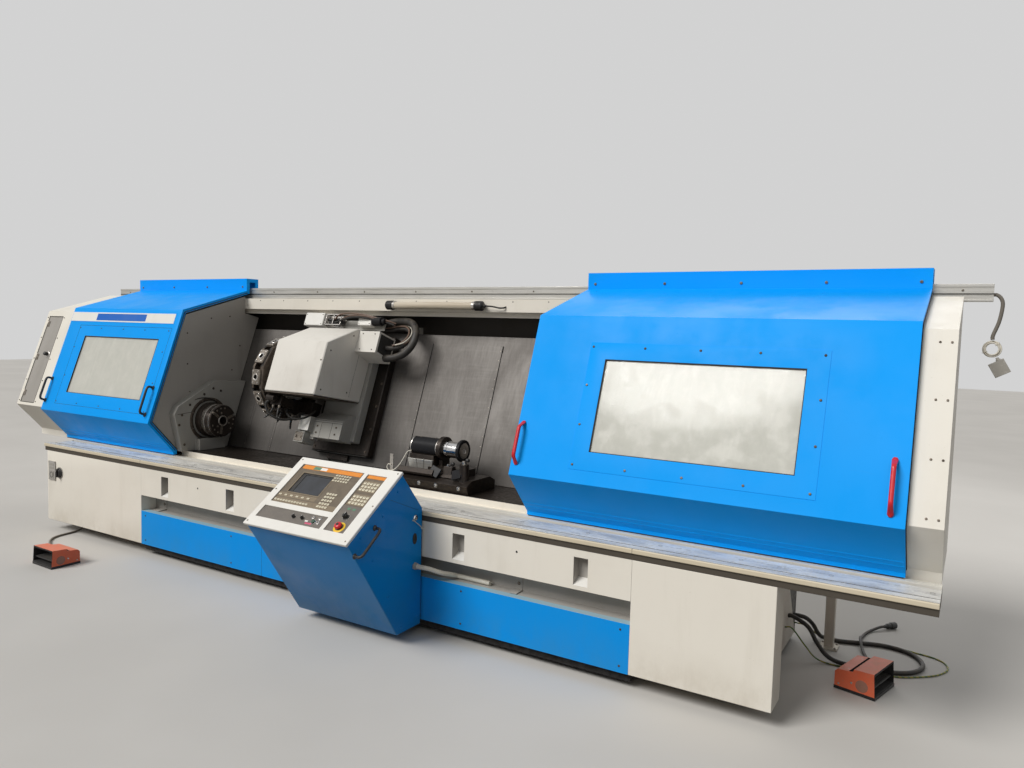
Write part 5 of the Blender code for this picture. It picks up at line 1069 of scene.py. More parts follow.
def finish_nodes():
    """Rounded copies of the main solids, finished materials on the others, and zones of several materials."""
    made = {}
    for node, material, slot, width, segments in (
        ("left_door", "blue", "blue_paint", 0.0035, 3),
        ("right_door", "blue", "blue_paint", 0.0035, 3),
        ("left_hood", "hood", "cream_paint", 0.0018, 2),
        ("right_hood", "hood", "cream_paint", 0.0018, 2),
        ("left_cabinet", "cream", "cream_paint", 0.003, 2),
        ("right_cabinet", "cream", "cream_paint", 0.003, 2),
        ("lower_panel", "blue_low", "blue_paint", 0.0015, 2),
        ("bulkhead", "wall_grey", "dark_grey_paint", 0.003, 2),
        ("headstock", "grey", "grey_paint", 0.004, 2),
        ("chuck", "oily", "dark_steel", 0.0012, 2),
        ("cross_slide", "grey", "grey_paint", 0.003, 2),
        ("turret_housing", "housing", "white_paint", 0.004, 3),
        ("turret_disc", "dark_steel", "dark_steel", 0.003, 2),
        ("tailstock_body", "oily", "dark_steel", 0.003, 2),
        ("tailstock_barrel", "black", "black_paint", 0.003, 2),
        ("console_body", "console_blue_shaded", "blue_paint", 0.004, 3),
        ("console_frame", "white", "white_paint", 0.003, 3),
        ("rear_leg", "cream", "cream_paint", 0.002, 2),
        ("left_hatch", "wall_grey", "grey_paint", 0.0015, 2),
        ("front_rail", "rail", "worn_steel", 0.001, 2),
        ("carriage", "oily", "dark_steel", 0.0015, 2),
    ):
        made[node] = rounded(node, material, slot, width, segments)
    for node, material in (
        ("top_rail", "aluminium"), ("left_window", "glass"),
        ("right_window", "glass"), ("left_slide_cover", "cover"), ("right_slide_cover", "cover"),
        ("jaw_1", "steel"),
        ("jaw_2", "steel"), ("jaw_3", "steel"), ("tailstock_quill", "chrome"), ("control_plate", "keypad"),
        ("console_screen", "screen"),
    ):
        paint(node, material)
    zone_node("bed_casting", ("cream", "cover", "oily", "joint_and_shade", "grey_pale", "white"), bed_zone)
    zone_node("rear_guard", ("cream", "guard_painted_shade"), guard_zone)
    zones(made["carriage"], ("cover", "oily", "white", "grey"), carriage_zone)
    zones(made["turret_disc"], ("dark_steel", "steel", "joint_and_shade"), disc_zone)
    zones(made["front_rail"], ("rail", "rail_white", "rail_dark"), rail_zone)
    zones(made["lower_panel"], ("blue_low", "panel_top_highlight"), panel_zone)


finish_nodes()


# Doors
LEFT_DOOR = (-0.181, 1.282)
RIGHT_DOOR = (4.427, 6.329)
LEFT_GLASS = (0.101, 1.099, 0.247, 0.743)
RIGHT_GLASS = (4.869, 5.877, 0.242, 0.742)


def ring(bm, outer, inner, z):
    """A flat rectangular frame between two (x0, x1, y0, y1) rectangles."""
    loops = []
    for x0, x1, y0, y1 in (outer, inner):
        for level in z:
            loops.append([bm.verts.new((x, y, level)) for x, y in ((x0, y0), (x1, y0), (x1, y1), (x0, y1))])
    low_out, high_out, low_in, high_in = loops
    for i in range(4):
        j = (i + 1) % 4
        bm.faces.new((low_out[i], low_out[j], high_out[j], high_out[i]))
        bm.faces.new((low_in[j], low_in[i], high_in[i], high_in[j]))
        bm.faces.new((high_out[i], high_out[j], high_in[j], high_in[i]))
        bm.faces.new((low_out[j], low_out[i], low_in[i], low_in[j]))
    return bm


def grown(rect, by):
    """The (x0, x1, y0, y1) rectangle made larger on every side."""
    return (rect[0] - by, rect[1] + by, rect[2] - by, rect[3] + by)


def make_door_trim():
    """Gaskets, screws, lips, seals and skirt beads of both doors, and the plain badge strip; each gasket's
    dark line also stands in as painted shadow at the window's edge.
    """
    for side, span, glass in (("left", LEFT_DOOR, LEFT_GLASS), ("right", RIGHT_DOOR, RIGHT_GLASS)):
        body = side + "_door"
        # A dark rubber gasket round each window, which also serves as painted shadow along the window's edge.
        gasket = ring(new(), grown(glass, -0.0004), grown(glass, -0.004), (-0.0012, 0.0078))
        emit(side + "_window_gasket_and_shadow_line", body, gasket, DOOR, "dark_rubber", 0.0008, 2)
        screws = new()
        count = 5 if side == "right" else 4
        for k in range(count):
            x = span[0] + 0.05 + (span[1] - span[0] - 0.10) * k / (count - 1)
            add_screw(screws, (x, 0.956, 2.051), "Y", 0.0085, 0.005, True)
        emit(side + "_runner_screws", body, screws, MACHINE, "steel")
        lip = add_prism(
            new(), [(0.2625, 0.7255), (0.2660, 0.7255), (0.2660, 0.7165), (0.2640, 0.7155), (0.2625, 0.7170)],
            (span[0] + 0.006, span[1] - 0.006),
        )
        emit(side + "_door_lip", body, lip, MACHINE, "dark_rubber")
        # A black seal runs round the inside of each side edge.
        for number, x in enumerate((span[0] - 0.0012, span[1] + 0.0012)):
            inner = offset_route(DOOR_PATH, 0.020)
            seal = add_tube(new(), round_corners([(x, y, z) for y, z in inner]), 0.0032, 6)
            emit(f"{side}_edge_seal_{number}", body, seal, MACHINE, "dark_rubber", angle=70)
        # Two pressed beads run along the skirt under the knee.
        beads = new()
        down, out = Vector((0.669, -0.743)), Vector((-0.743, -0.669))
        for at in (0.240, 0.276):
            outline = []
            for along, height in (
                (-0.0045, -0.0004), (-0.0030, 0.0012), (-0.0010, 0.0019), (0.0010, 0.0019), (0.0030, 0.0012),
                (0.0045, -0.0004),
            ):
                outline.append(tuple(Vector(KNEE) + down * (at + along) + out * height))
            add_prism(beads, outline, (span[0] + 0.006, span[1] - 0.006))
        emit(side + "_skirt_beads", body, beads, MACHINE, "blue", slot="blue_paint", angle=60)
    plate_screws = new()
    columns = [4.79 + 0.29 * k for k in range(5)]
    for x in columns:
        add_each(add_screw, plate_screws, x, (0.175, 0.815), -0.0022, "Z", 0.0065, 0.0035, True)
    add_each(
        add_screw, plate_screws, (columns[0], columns[-1]), (0.388, 0.602), -0.0022, "Z", 0.0065, 0.0035, True
    )
    emit("right_plate_screws", "right_door", plate_screws, DOOR, "dark_steel")
    panel_screws = new()
    for x in (0.0, 0.30, 0.605, 0.89, 1.19):
        add_screw(panel_screws, (x, 0.178, -0.0002), "Z", 0.0052, 0.003, True)
        add_screw(panel_screws, (x, 0.826, -0.0002), "Z", 0.0052, 0.003, True)
    add_each(add_screw, panel_screws, (0.0, 1.19), (0.35, 0.60), -0.0002, "Z", 0.0052, 0.003, True)
    emit("left_panel_screws", "left_door", panel_screws, DOOR, "dark_steel")
    seam = ring(new(), (-0.0115, 1.2195, 0.1535, 0.8465), (-0.0095, 1.2175, 0.1555, 0.8445), (-0.0004, 0.002))
    emit("left_panel_seam", "left_door", seam, DOOR, "joint_and_shade")
    strip = add_box(new(), (-0.174, 1.219), (0.0375, 0.1185), (-0.0026, -0.0012))
    emit("badge_strip_face", "left_door", strip, DOOR, "white", 0.0006, 2)
    band = add_box(new(), (0.19, 0.86), (0.048, 0.108), (-0.0031, -0.0022))
    emit("badge_strip_band", "left_door", band, DOOR, "band_blue", 0.0004, 1, slot="blue_paint")


def offset_route(points, distance):
    """The same (y, z) path moved into the door's inside."""
    points = [Vector(p) for p in points]
    moved = []
    for i, point in enumerate(points):
        before = (point - points[i - 1]).normalized() if i else None
        after = (points[i + 1] - point).normalized() if i + 1 < len(points) else None
        sides = [Vector((-way.y, way.x)) for way in (before, after) if way]
        mean = sum(sides, Vector((0, 0))).normalized()
        moved.append(point + mean * distance / mean.dot(sides[0]))
    return [tuple(p) for p in moved]


def round_corners(points, corner=0.012):
    """The path with its corners rounded off and its straights left as they are."""
    points = [Vector(p) for p in points]
    made = [points[0]]
    for a, b, c in zip(points, points[1:], points[2:]):
        start = b + (a - b).normalized() * min(corner, (a - b).length * 0.45)
        end = b + (c - b).normalized() * min(corner, (c - b).length * 0.45)
        for k in range(6):
            t = k / 5
            made.append(start * (1 - t) ** 2 + b * 2 * t * (1 - t) + end * t * t)
    made.append(points[-1])
    return made


def make_bow_handle(name, node, body, local, length, reach, radius):
    """A round bow handle on two flanged feet, lying along the frame's Y."""
    half = length / 2
    route = round_corners([(0, -half, 0.002), (0, -half, reach), (0, half, reach), (0, half, 0.002)], 0.032)
    bm = add_tube(new(), route, radius, 12)
    for end in (-half, half):
        add_turned(
            bm,
            [
                (0, FIT), (radius * 1.9, FIT), (radius * 1.9, 0.003), (radius * 1.25, 0.008),
                (radius * 0.9, 0.012),
            ],
            (0, end, 0), "Z", 20,
        )
    emit(name, body, bm, local, "black_plastic", angle=50, replaces=(node,))


def make_strap_handle(name, node, centre, length):
    """A flat arched pull: wide ends screwed flat on the door, a rounded grip standing off it."""
    bm = new()
    half, reach, steps = length / 2, 0.046, 26
    rings = []
    for k in range(steps + 1):
        t = k / steps
        y = -half - 0.012 + (length + 0.024) * t
        rise = min(1.0, min(t, 1 - t) / 0.20)
        rise = rise * rise * (3 - 2 * rise)
        height = 0.003 + (reach - 0.003) * rise
        wide = 0.0135 - 0.0035 * rise
        thick = 0.0035 + 0.0050 * rise
        tip = min(1.0, min(t, 1 - t) * 30)
        wide *= 0.55 + 0.45 * tip
        loop = []
        for j in range(12):
            a = 2 * math.pi * j / 12
            c, s = math.cos(a), math.sin(a)
            loop.append(
                bm.verts.new(
                    (
                        wide * abs(c) ** 0.7 * math.copysign(1, c), y,
                        height + thick * abs(s) ** 0.8 * math.copysign(1, s),
                    ),
                ),
            )
        rings.append(loop)
    close_rings(bm, rings)
    frame_of = on_door(centre)
    emit(name, "right_door", bm, frame_of, "red_plastic", slot="red_plastic", angle=60, replaces=(node,))
    screws = add_each(add_screw, new(), 0, (-half, half), 0.0064, "Z", 0.0055, 0.003)
    emit(name + "_screws", "right_door", screws, frame_of, "dark_steel")


def on_door(centre):
    """A frame on a door's face whose Z points out of it."""
    return DOOR @ Matrix.Translation(centre) @ turn_x(math.pi)


def make_handles():
    """Bow handles on the left door and red strap handles on the right one."""
    for letter, centre, length in (("a", (-0.161, 0.735, 0), 0.19), ("b", (1.216, 0.74, 0), 0.21)):
        name, node = "left_door_grip_" + letter, "left_handle_" + letter
        make_bow_handle(name, node, "left_door", on_door(centre), length, 0.05, 0.009)
    for letter, centre, length in (("a", (4.461, 0.734, 0), 0.22), ("b", (6.271, 0.742, 0), 0.23)):
        make_strap_handle("right_door_grip_" + letter, "right_handle_" + letter, centre, length)


M["band_blue"] = painted("band_blue", (40, 104, 196), (120, 150, 190), 0.35, 0.4, 0.3)
make_door_trim()
make_handles()


# Fixed hoods, top rail, guard and lamp
HOOD_EDGE = offset_route(DOOR_PATH, 0.04)[1]
HOOD = placed(0, *HOOD_EDGE, turn_x(-math.pi / 2 - SLANT))
RAIL_FRONT = 1.0
GUARD_FRONT = 0.955
RAIL_ENDS = (-0.553, 6.593)
GUARD_ENDS = (-0.651, 6.464)


def add_bolt(bm, centre, axis, radius=0.009, height=0.007, flip=False):
    """A hexagon head on a washer."""
    add_turned(
        bm, [(0, 0), (radius * 1.35, 0), (radius * 1.35, height * 0.22), (0, height * 0.22)], centre, axis,
        18, flip,
    )
    return add_turned(
        bm,
        [
            (0, height * 0.2), (radius, height * 0.2), (radius, height * 0.85), (radius * 0.8, height),
            (0, height),
        ],
        centre, axis, 6, flip,
    )


def make_hood_trim():
    """The hatch's latch, hinges and seal, and the screws of both hoods."""
    latch = new()
    centre = (-0.61 + 0.21 * 0.75, 0.40, 0)
    add_turned(
        latch,
        [
            (0, -0.0285), (0.010, -0.0285), (0.0155, -0.0255), (0.0165, -0.014), (0.0155, -0.010),
            (0.0155, 0.0035),
        ],
        centre, "Z", 24,
    )
    emit("hatch_latch", "hatch", latch, HOOD, "black_plastic")
    plate = add_turned(
        new(), [(0.0165, 0.0036), (0.0165, 0.0012), (0.027, 0.0012), (0.029, 0.0026), (0.029, 0.0036)],
        centre, "Z", 28,
    )
    emit("hatch_latch_ring", "hatch", plate, HOOD, "bright_steel")
    hinges = new()
    for y in (0.12, 0.43, 0.76):
        add_turned(
            hinges,
            [(0, -0.03), (0.0055, -0.03), (0.0062, -0.029), (0.0062, 0.029), (0.0055, 0.03), (0, 0.03)],
            (-0.6097, y, 0.004), "Y", 14,
        )
        add_box(hinges, (-0.604, -0.578), (y - 0.026, y + 0.026), (0.0016, 0.0038))
        for step in (-0.015, 0.015):
            add_screw(hinges, (-0.588, y + step, 0.0017), "Z", 0.0034, 0.0018, True)
    emit("hatch_hinges", "hatch", hinges, HOOD, "steel")
    opening = (-0.6105, -0.3995, 0.0495, 0.8405)
    seal = ring(new(), grown(opening, 0.0035), grown(opening, -0.0005), (-0.0012, 0.0015))
    emit("hatch_opening_seal", "machine", seal, HOOD, "dark_rubber", 0.0005, 1)
    screws = new()
    add_each(
        add_screw, screws, (-0.632, -0.377), (0.06, 0.25, 0.445, 0.64, 0.83), -0.0003, "Z", 0.0055, 0.0032,
        True,
    )
    add_each(add_screw, screws, (6.40, 6.445), (0.06, 0.32, 0.58, 0.83), -0.0003, "Z", 0.0055, 0.0032, True)
    emit("hood_screws", "machine", screws, HOOD, "dark_steel")


def make_top_rail():
    """Beads, slot, screws and end caps of the top rail."""
    beads = new()
    add_prism(
        beads,
        [
            (RAIL_FRONT - 0.0045, 2.027), (RAIL_FRONT - 0.0045, 2.0405), (RAIL_FRONT - 0.0005, 2.0415),
            (RAIL_FRONT - 0.0005, 2.026),
        ],
        (-0.551, 6.591),
    )
    add_prism(
        beads,
        [
            (RAIL_FRONT - 0.0035, 1.9565), (RAIL_FRONT - 0.0035, 1.966), (RAIL_FRONT - 0.0005, 1.968),
            (RAIL_FRONT - 0.0005, 1.955),
        ],
        (-0.551, 6.591),
    )
    emit("top_rail_beads", "machine", beads, MACHINE, "aluminium", 0.0008, 2)
    slot = add_prism(
        new(),
        [
            (RAIL_FRONT - 0.0008, 1.990), (RAIL_FRONT - 0.0008, 1.9935), (RAIL_FRONT + 0.0004, 1.9935),
            (RAIL_FRONT + 0.0004, 1.990),
        ],
        (-0.551, 6.591),
    )
    emit("top_rail_slot", "machine", slot, MACHINE, "joint_and_shade")
    screws = new()
    for k in range(15):
        add_screw(screws, (-0.40 + k * 0.49, RAIL_FRONT - 0.0003, 2.010), "Y", 0.006, 0.0032, True)
    emit("top_rail_screws", "machine", screws, MACHINE, "steel")
    caps = new()
    for x in (RAIL_ENDS[0] + 0.0006, RAIL_ENDS[1] - 0.0026):
        add_box(caps, (x, x + 0.002), (RAIL_FRONT + 0.0015, RAIL_FRONT + 0.0385), (1.9555, 2.0405))
    emit("top_rail_caps", "machine", caps, MACHINE, "grey_plastic", 0.0006, 1, slot="grey_plastic")


def make_guard_trim():
    """The strip along the rear guard's front, its joints and screws."""
    front = GUARD_FRONT + 0.0035
    strip = add_prism(
        new(),
        [(front - 0.0022, 1.877), (front - 0.0022, 1.926), (front + 0.0008, 1.928), (front + 0.0008, 1.875)],
        (GUARD_ENDS[0] + 0.002, GUARD_ENDS[1] - 0.002),
    )
    emit("guard_strip", "machine", strip, MACHINE, "hood", 0.0008, 2, slot="white_paint")
    seams = new()
    for x in (0.62, 2.08, 4.60):
        add_box(seams, (x, x + 0.0016), (front - 0.0028, front + 0.001), (1.8765, 1.9265))
    emit("guard_strip_joints", "machine", seams, MACHINE, "joint_and_shade")
    screws = new()
    for k in range(12):
        add_screw(screws, (1.45 + k * 0.27, front - 0.0020, 1.938), "Y", 0.005, 0.003, True)
    emit("guard_screws", "machine", screws, MACHINE, "steel")


LAMP_X = (2.86, 3.64)
LAMP_YZ = (0.919, 1.908)


def make_lamp():
    """The work lamp's tube, ribbed caps, clips, lead and end bands."""
    y, z = LAMP_YZ
    tube = add_rod(new(), 0.0262, LAMP_X[0] + 0.02, LAMP_X[1] - 0.02, (0, y, z), "X", 32, 0.002)
    emit("lamp_tube", "machine", tube, MACHINE, "tube", slot="lamp_glass", replaces=("work_lamp",))
    caps = new()
    for x, way in ((LAMP_X[0], 1), (LAMP_X[1], -1)):
        profile = [(0, -0.032), (0.018, -0.032), (0.026, -0.028), (0.0325, -0.022)]
        for k in range(4):
            base = -0.020 + k * 0.010
            profile += [
                (0.0335, base), (0.0335, base + 0.005), (0.0305, base + 0.0062), (0.0305, base + 0.0088)
            ]
        profile += [(0.0335, 0.020), (0.0335, 0.029), (0.029, 0.031), (0.0262, 0.031)]
        add_turned(caps, profile, (x, y, z), "X", 30, way < 0)
    emit("lamp_caps", "machine", caps, MACHINE, "black_plastic")
    clips = new()
    for x in (LAMP_X[0] + 0.045, LAMP_X[1] - 0.045):
        add_turned(
            clips, [(0.0268, -0.010), (0.0290, -0.010), (0.0290, 0.010), (0.0268, 0.010)], (x, y, z), "X", 30
        )
        add_box(clips, (x - 0.010, x + 0.010), (y + 0.022, GUARD_FRONT - 0.0005), (z - 0.014, z + 0.014))
        add_screw(clips, (x, y, z + 0.0288), "Z", 0.004, 0.004)
    emit("lamp_clips", "machine", clips, MACHINE, "bright_steel", 0.0005, 1)
    lead = new()
    end = LAMP_X[1] + 0.031
    route = [
        (end, y, z), (end + 0.03, y, z), (end + 0.075, y + 0.004, z - 0.004),
        (end + 0.12, y + 0.012, z - 0.012), (end + 0.15, y + 0.022, z - 0.010),
        (end + 0.155, GUARD_FRONT + 0.002, z - 0.004),
    ]
    add_hose(lead, route, 0.006, 0.0055)
    add_turned(
        lead, [(0, -0.002), (0.011, -0.002), (0.011, 0.004), (0.0085, 0.018), (0.0058, 0.022)], (end, y, z),
        "X", 16,
    )
    emit("lamp_lead", "machine", lead, MACHINE, "dark_rubber", angle=60)
    bands = new()
    for x in (LAMP_X[0] + 0.034, LAMP_X[1] - 0.034):
        add_turned(bands, [(0, -0.004), (0.0266, -0.004), (0.0266, 0.004), (0, 0.004)], (x, y, z), "X", 30)
    emit("lamp_end_bands", "machine", bands, MACHINE, "bright_steel")


make_hood_trim()
make_top_rail()
make_guard_trim()
make_lamp()


# Headstock and chuck
HEAD_FACE = 1.335
CHUCK_FACE = 1.505
CHUCK_RADIUS = 0.125


def around(radius, angle):
    """The (Y, Z) of a point round the spindle axis."""
    return SPINDLE_YZ[0] + radius * math.cos(angle), SPINDLE_YZ[1] + radius * math.sin(angle)


def make_headstock_trim():
    """Bolts, seam, seal ring and lead of the headstock, and the bulkhead's screws and ring."""
    bolts = new()
    for y, z in (
        (0.30, 1.03), (0.275, 0.955), (0.37, 1.105), (0.32, 0.80), (0.50, 1.18), (0.585, 1.222), (0.655, 1.20)
    ):
        add_bolt(bolts, (HEAD_FACE + 0.0002, y, z), "X", 0.0075, 0.007)
    emit("headstock_bolts", "machine", bolts, MACHINE, "dark_steel")
    seam = new()
    add_prism(
        seam, [(0.262, 1.036), (0.262, 1.039), (0.392, 1.049), (0.392, 1.046)],
        (HEAD_FACE - 0.0002, HEAD_FACE + 0.0008),
    )
    add_prism(
        seam, [(0.392, 1.046), (0.392, 1.049), (0.395, 1.0), (0.3935, 1.0)],
        (HEAD_FACE - 0.0002, HEAD_FACE + 0.0008),
    )
    emit("headstock_seam", "machine", seam, MACHINE, "joint_and_shade")
    seal = add_turned(
        new(),
        [(0.147, 0.0002), (0.147, 0.0062), (0.151, 0.008), (0.168, 0.008), (0.172, 0.0055), (0.172, 0.0002)],
        (HEAD_FACE, *SPINDLE_YZ), "X", 56,
    )
    emit("spindle_seal_ring", "machine", seal, MACHINE, "dark_steel")
    screws = new()
    for k in range(8):
        add_screw(
            screws, (HEAD_FACE + 0.0078, *around(0.1595, math.radians(22.5 + 45 * k))), "X", 0.0055, 0.004
        )
    emit("spindle_seal_screws", "machine", screws, MACHINE, "steel")
    lead = new()
    route = [
        (1.268, 0.352, 1.085), (1.30, 0.352, 1.09), (1.325, 0.372, 1.118), (1.333, 0.43, 1.146),
        (1.340, 0.50, 1.152), (1.343, 0.56, 1.14), (1.343, 0.60, 1.118), (1.338, 0.615, 1.10),
    ]
    add_hose(lead, route, 0.008, 0.0042, 8)
    emit("headstock_lead", "machine", lead, MACHINE, "dark_rubber", angle=60)
    wall_screws = new()
    for y, z in (
        (0.40, 1.66), (0.40, 1.42), (0.42, 1.20), (0.62, 1.78), (0.80, 1.80), (0.90, 1.56), (0.82, 1.36),
        (0.25, 1.00), (0.30, 0.84),
    ):
        add_screw(wall_screws, (1.2652, y, z), "X", 0.006, 0.0035)
    emit("bulkhead_screws", "machine", wall_screws, MACHINE, "dark_steel")
    band = add_turned(
        new(), [(0.236, 0.0003), (0.236, 0.0035), (0.250, 0.0035), (0.2515, 0.0022), (0.2515, 0.0003)],
        (1.265, *SPINDLE_YZ), "X", 60,
    )
    emit("bulkhead_ring", "machine", band, MACHINE, "wall_grey", slot="dark_grey_paint")


def make_chuck_trim():
    """Bands, bush, screws, key sockets and face lines of the chuck, and the jaws' serrations."""
    face = (CHUCK_FACE, *SPINDLE_YZ)
    band = new()
    add_turned(band, [(0.1251, -0.092), (0.1266, -0.091), (0.1266, -0.066), (0.1251, -0.065)], face, "X", 72)
    add_turned(
        band, [(0.1251, -0.020), (0.1261, -0.0195), (0.1261, -0.0125), (0.1251, -0.012)], face, "X", 72
    )
    emit("chuck_bands", "spindle", band, MACHINE, "bright_steel")
    bush = add_turned(
        new(),
        [
            (0.0330, -0.05), (0.0330, 0.0035), (0.0350, 0.0045), (0.0405, 0.0045), (0.0415, 0.0036),
            (0.0415, 0.0002),
        ],
        face, "X", 40,
    )
    emit("chuck_bush", "spindle", bush, MACHINE, "bright_steel")
    screws = new()
    for jaw in range(3):
        middle = math.radians(90 - 50 - 120 * jaw)
        for step, radius in ((-38, 0.098), (38, 0.098), (-60, 0.062), (60, 0.098)):
            add_screw(
                screws, (CHUCK_FACE + 0.0001, *around(radius, middle + math.radians(step))), "X", 0.0075,
                0.0025,
            )
    emit("chuck_screws", "spindle", screws, MACHINE, "steel")
    sockets = new()
    for k in range(3):
        angle = math.radians(100 - 120 * k)
        y, z = around(CHUCK_RADIUS + 0.0006, angle)
        turn = Matrix.Translation((CHUCK_FACE - 0.043, y, z)) @ Matrix.Rotation(angle, 4, "X")
        plug = add_turned(
            new(),
            [(0, -0.004), (0.010, -0.004), (0.010, 0.0008), (0.006, 0.0012), (0.005, -0.002), (0, -0.002)],
            (0, 0, 0), "Y", 20,
        )
        plug.transform(turn)
        merge(sockets, plug)
    emit("chuck_key_sockets", "spindle", sockets, MACHINE, "dark_steel")
    rings = new()
    for radius in (0.052, 0.111):
        add_turned(
            rings, [(radius, 0.0001), (radius, 0.0006), (radius + 0.0012, 0.0006), (radius + 0.0012, 0.0001)],
            face, "X", 64,
        )
    emit("chuck_face_lines", "spindle", rings, MACHINE, "joint_and_shade")
    for jaw in range(3):
        turn = SPINDLE @ Matrix.Rotation(math.radians(50 + 120 * jaw), 4, "X")
        teeth = new()
        for k in range(16):
            z = 0.0455 + k * 0.0038
            add_prism(
                teeth, [(-0.0108, z), (0.0108, z), (0.0108, z + 0.0022), (-0.0108, z + 0.0022)],
                (CHUCK_FACE - 0.0021, CHUCK_FACE - 0.0006),
            )
        # Rims of the two empty bolt holes that would hold a top jaw.
        for z in (0.060, 0.090):
            add_turned(
                teeth, [(0.0036, -0.0019), (0.0036, 0.0002), (0.0056, 0.0002), (0.0060, -0.0019)],
                (CHUCK_FACE, 0, z), "X", 16,
            )
        emit(f"jaw_{jaw + 1}_serrations", f"jaw_{jaw + 1}", teeth, turn, "steel")


make_headstock_trim()
make_chuck_trim()


# Turret, cross slide and connection boxes
DISC_ENDS = (2.13, 2.2347)
DISC_RADIUS = 0.30
FLAT = DISC_RADIUS * math.cos(math.radians(15))
HOUSING_FRONT = -0.35
HOUSING_X = (2.27, 2.75)


def round_disc(angle):
    """A frame on the disc's rim: its Z points out at an angle from the slope's up direction."""
    middle = (DISC_ENDS[0] + DISC_ENDS[1]) / 2
    return WAYS @ Matrix.Translation((middle, *DISC_YZ)) @ Matrix.Rotation(-angle, 4, "X")


def ways_ring(radius, angle):
    """The (behind, up) of a point round the turret disc's axis."""
    return DISC_YZ[0] + radius * math.sin(angle), DISC_YZ[1] + radius * math.cos(angle)


def make_stations():
    """Bore ring, dark line and wedge holes of each of the twelve stations."""
    for k in range(12):
        angle = math.radians(15 + 30 * k)
        bores = new()
        add_turned(
            bores,
            [
                (0.0160, FLAT + 0.004), (0.0160, FLAT + 0.0172), (0.0185, FLAT + 0.0186),
                (0.0245, FLAT + 0.0186), (0.0262, FLAT + 0.0172), (0.0262, FLAT + 0.0162),
            ],
            (0, 0, 0), "Z", 28,
        )
        for y in (-0.040, 0.040):
            add_each(add_screw, bores, (-0.024, 0.024), y, FLAT + 0.0162, "Z", 0.0062, 0.004)
        emit(f"station_bore_{k}", "turret", bores, round_disc(angle), "bright_steel", slot="worn_steel")
        line = add_box(new(), (-0.0378, -0.0368), (-0.030, 0.030), (FLAT + 0.006, FLAT + 0.0075))
        emit(f"station_dark_{k}", "turret", line, round_disc(angle), "joint_and_shade")
        holes = new()
        start = DISC_ENDS[0]
        add_turned(
            holes, [(0.0, -0.0018), (0.006, -0.0018), (0.0085, -0.0004), (0.0085, 0.002)],
            (start, *ways_ring(0.262, angle)), "X", 14,
        )
        add_turned(
            holes, [(0.0, -0.0035), (0.0075, -0.0035), (0.0095, -0.001), (0.0095, 0.002)],
            (start, *ways_ring(0.205, angle)), "X", 6,
        )
        emit(f"station_wedge_{k}", "turret", holes, WAYS, "dark_steel")


def make_disc_hub():
    """The turret disc's hub cap and its two circles of screws."""
    hub = new()
    start = DISC_ENDS[0]
    profile = [
        (0, -0.014), (0.038, -0.014), (0.044, -0.010), (0.052, -0.008), (0.105, -0.006), (0.112, -0.002),
        (0.112, 0.012), (0.150, 0.014), (0.150, 0.0195),
    ]
    add_turned(hub, profile, (start, *DISC_YZ), "X", 56)
    emit("turret_hub_cap", "turret", hub, WAYS, "grey", slot="grey_paint")
    screws = new()
    for k in range(8):
        add_screw(
            screws, (start + 0.0128, *ways_ring(0.132, math.radians(22.5 + 45 * k))), "X", 0.0068, 0.006, True
        )
    for k in range(6):
        add_screw(screws, (start - 0.0068, *ways_ring(0.078, math.radians(60 * k))), "X", 0.0058, 0.005, True)
    emit("turret_hub_screws", "turret", screws, WAYS, "dark_steel")


def make_housing_trim():
    """Screws, sheet joints and drip edge of the turret housing, and its hose guide's mouth."""
    screws = new()
    add_screw(screws, (2.735, HOUSING_FRONT - 0.0002, 0.445), "Y", 0.0055, 0.004, True)
    for n, s in ((-0.30, 0.25), (-0.05, 0.30), (-0.30, 0.53), (-0.12, 0.70)):
        add_screw(screws, (HOUSING_X[1] + 0.0002, n, s), "X", 0.0055, 0.0035)
    emit("housing_screws", "cross_slide", screws, WAYS, "dark_steel")
    fold = new()
    # The sheet cover's joints: one up the right side behind the front, one along the sloping top.
    add_box(fold, (HOUSING_X[1] - 0.0004, HOUSING_X[1] + 0.0005), (-0.0215, -0.0200), (0.275, 0.748))
    add_box(fold, (2.276, 2.744), (0.02, 0.0215), (0.7646, 0.7655))
    emit("housing_joints", "cross_slide", fold, WAYS, "joint_and_shade")
    base = new()
    # The drip edge under the sheet cover.
    slope = [
        (HOUSING_FRONT + 0.004, 0.1965), (0.100, 0.2665), (0.100, 0.2600), (HOUSING_FRONT + 0.004, 0.1900)
    ]
    add_prism(base, slope, (2.274, 2.746))
    emit("housing_drip_edge", "cross_slide", base, WAYS, "dark_steel", 0.0015, 1)
    guide = new()
    for n, s in ((-0.0755, 0.62), (-0.0755, 0.735)):
        add_each(add_screw, guide, (2.79, 2.90), n, s, "Y", 0.0045, 0.003, True)
    emit("hose_guide_screws", "cross_slide", guide, WAYS, "dark_steel")
    mouth = new()
    ring_outline = [(-0.058, 0.612), (-0.058, 0.742), (0.088, 0.742), (0.088, 0.600)]
    add_prism(mouth, ring_outline, (2.9402, 2.9425))
    emit("hose_guide_mouth", "cross_slide", mouth, WAYS, "dark_rubber", 0.001, 1)


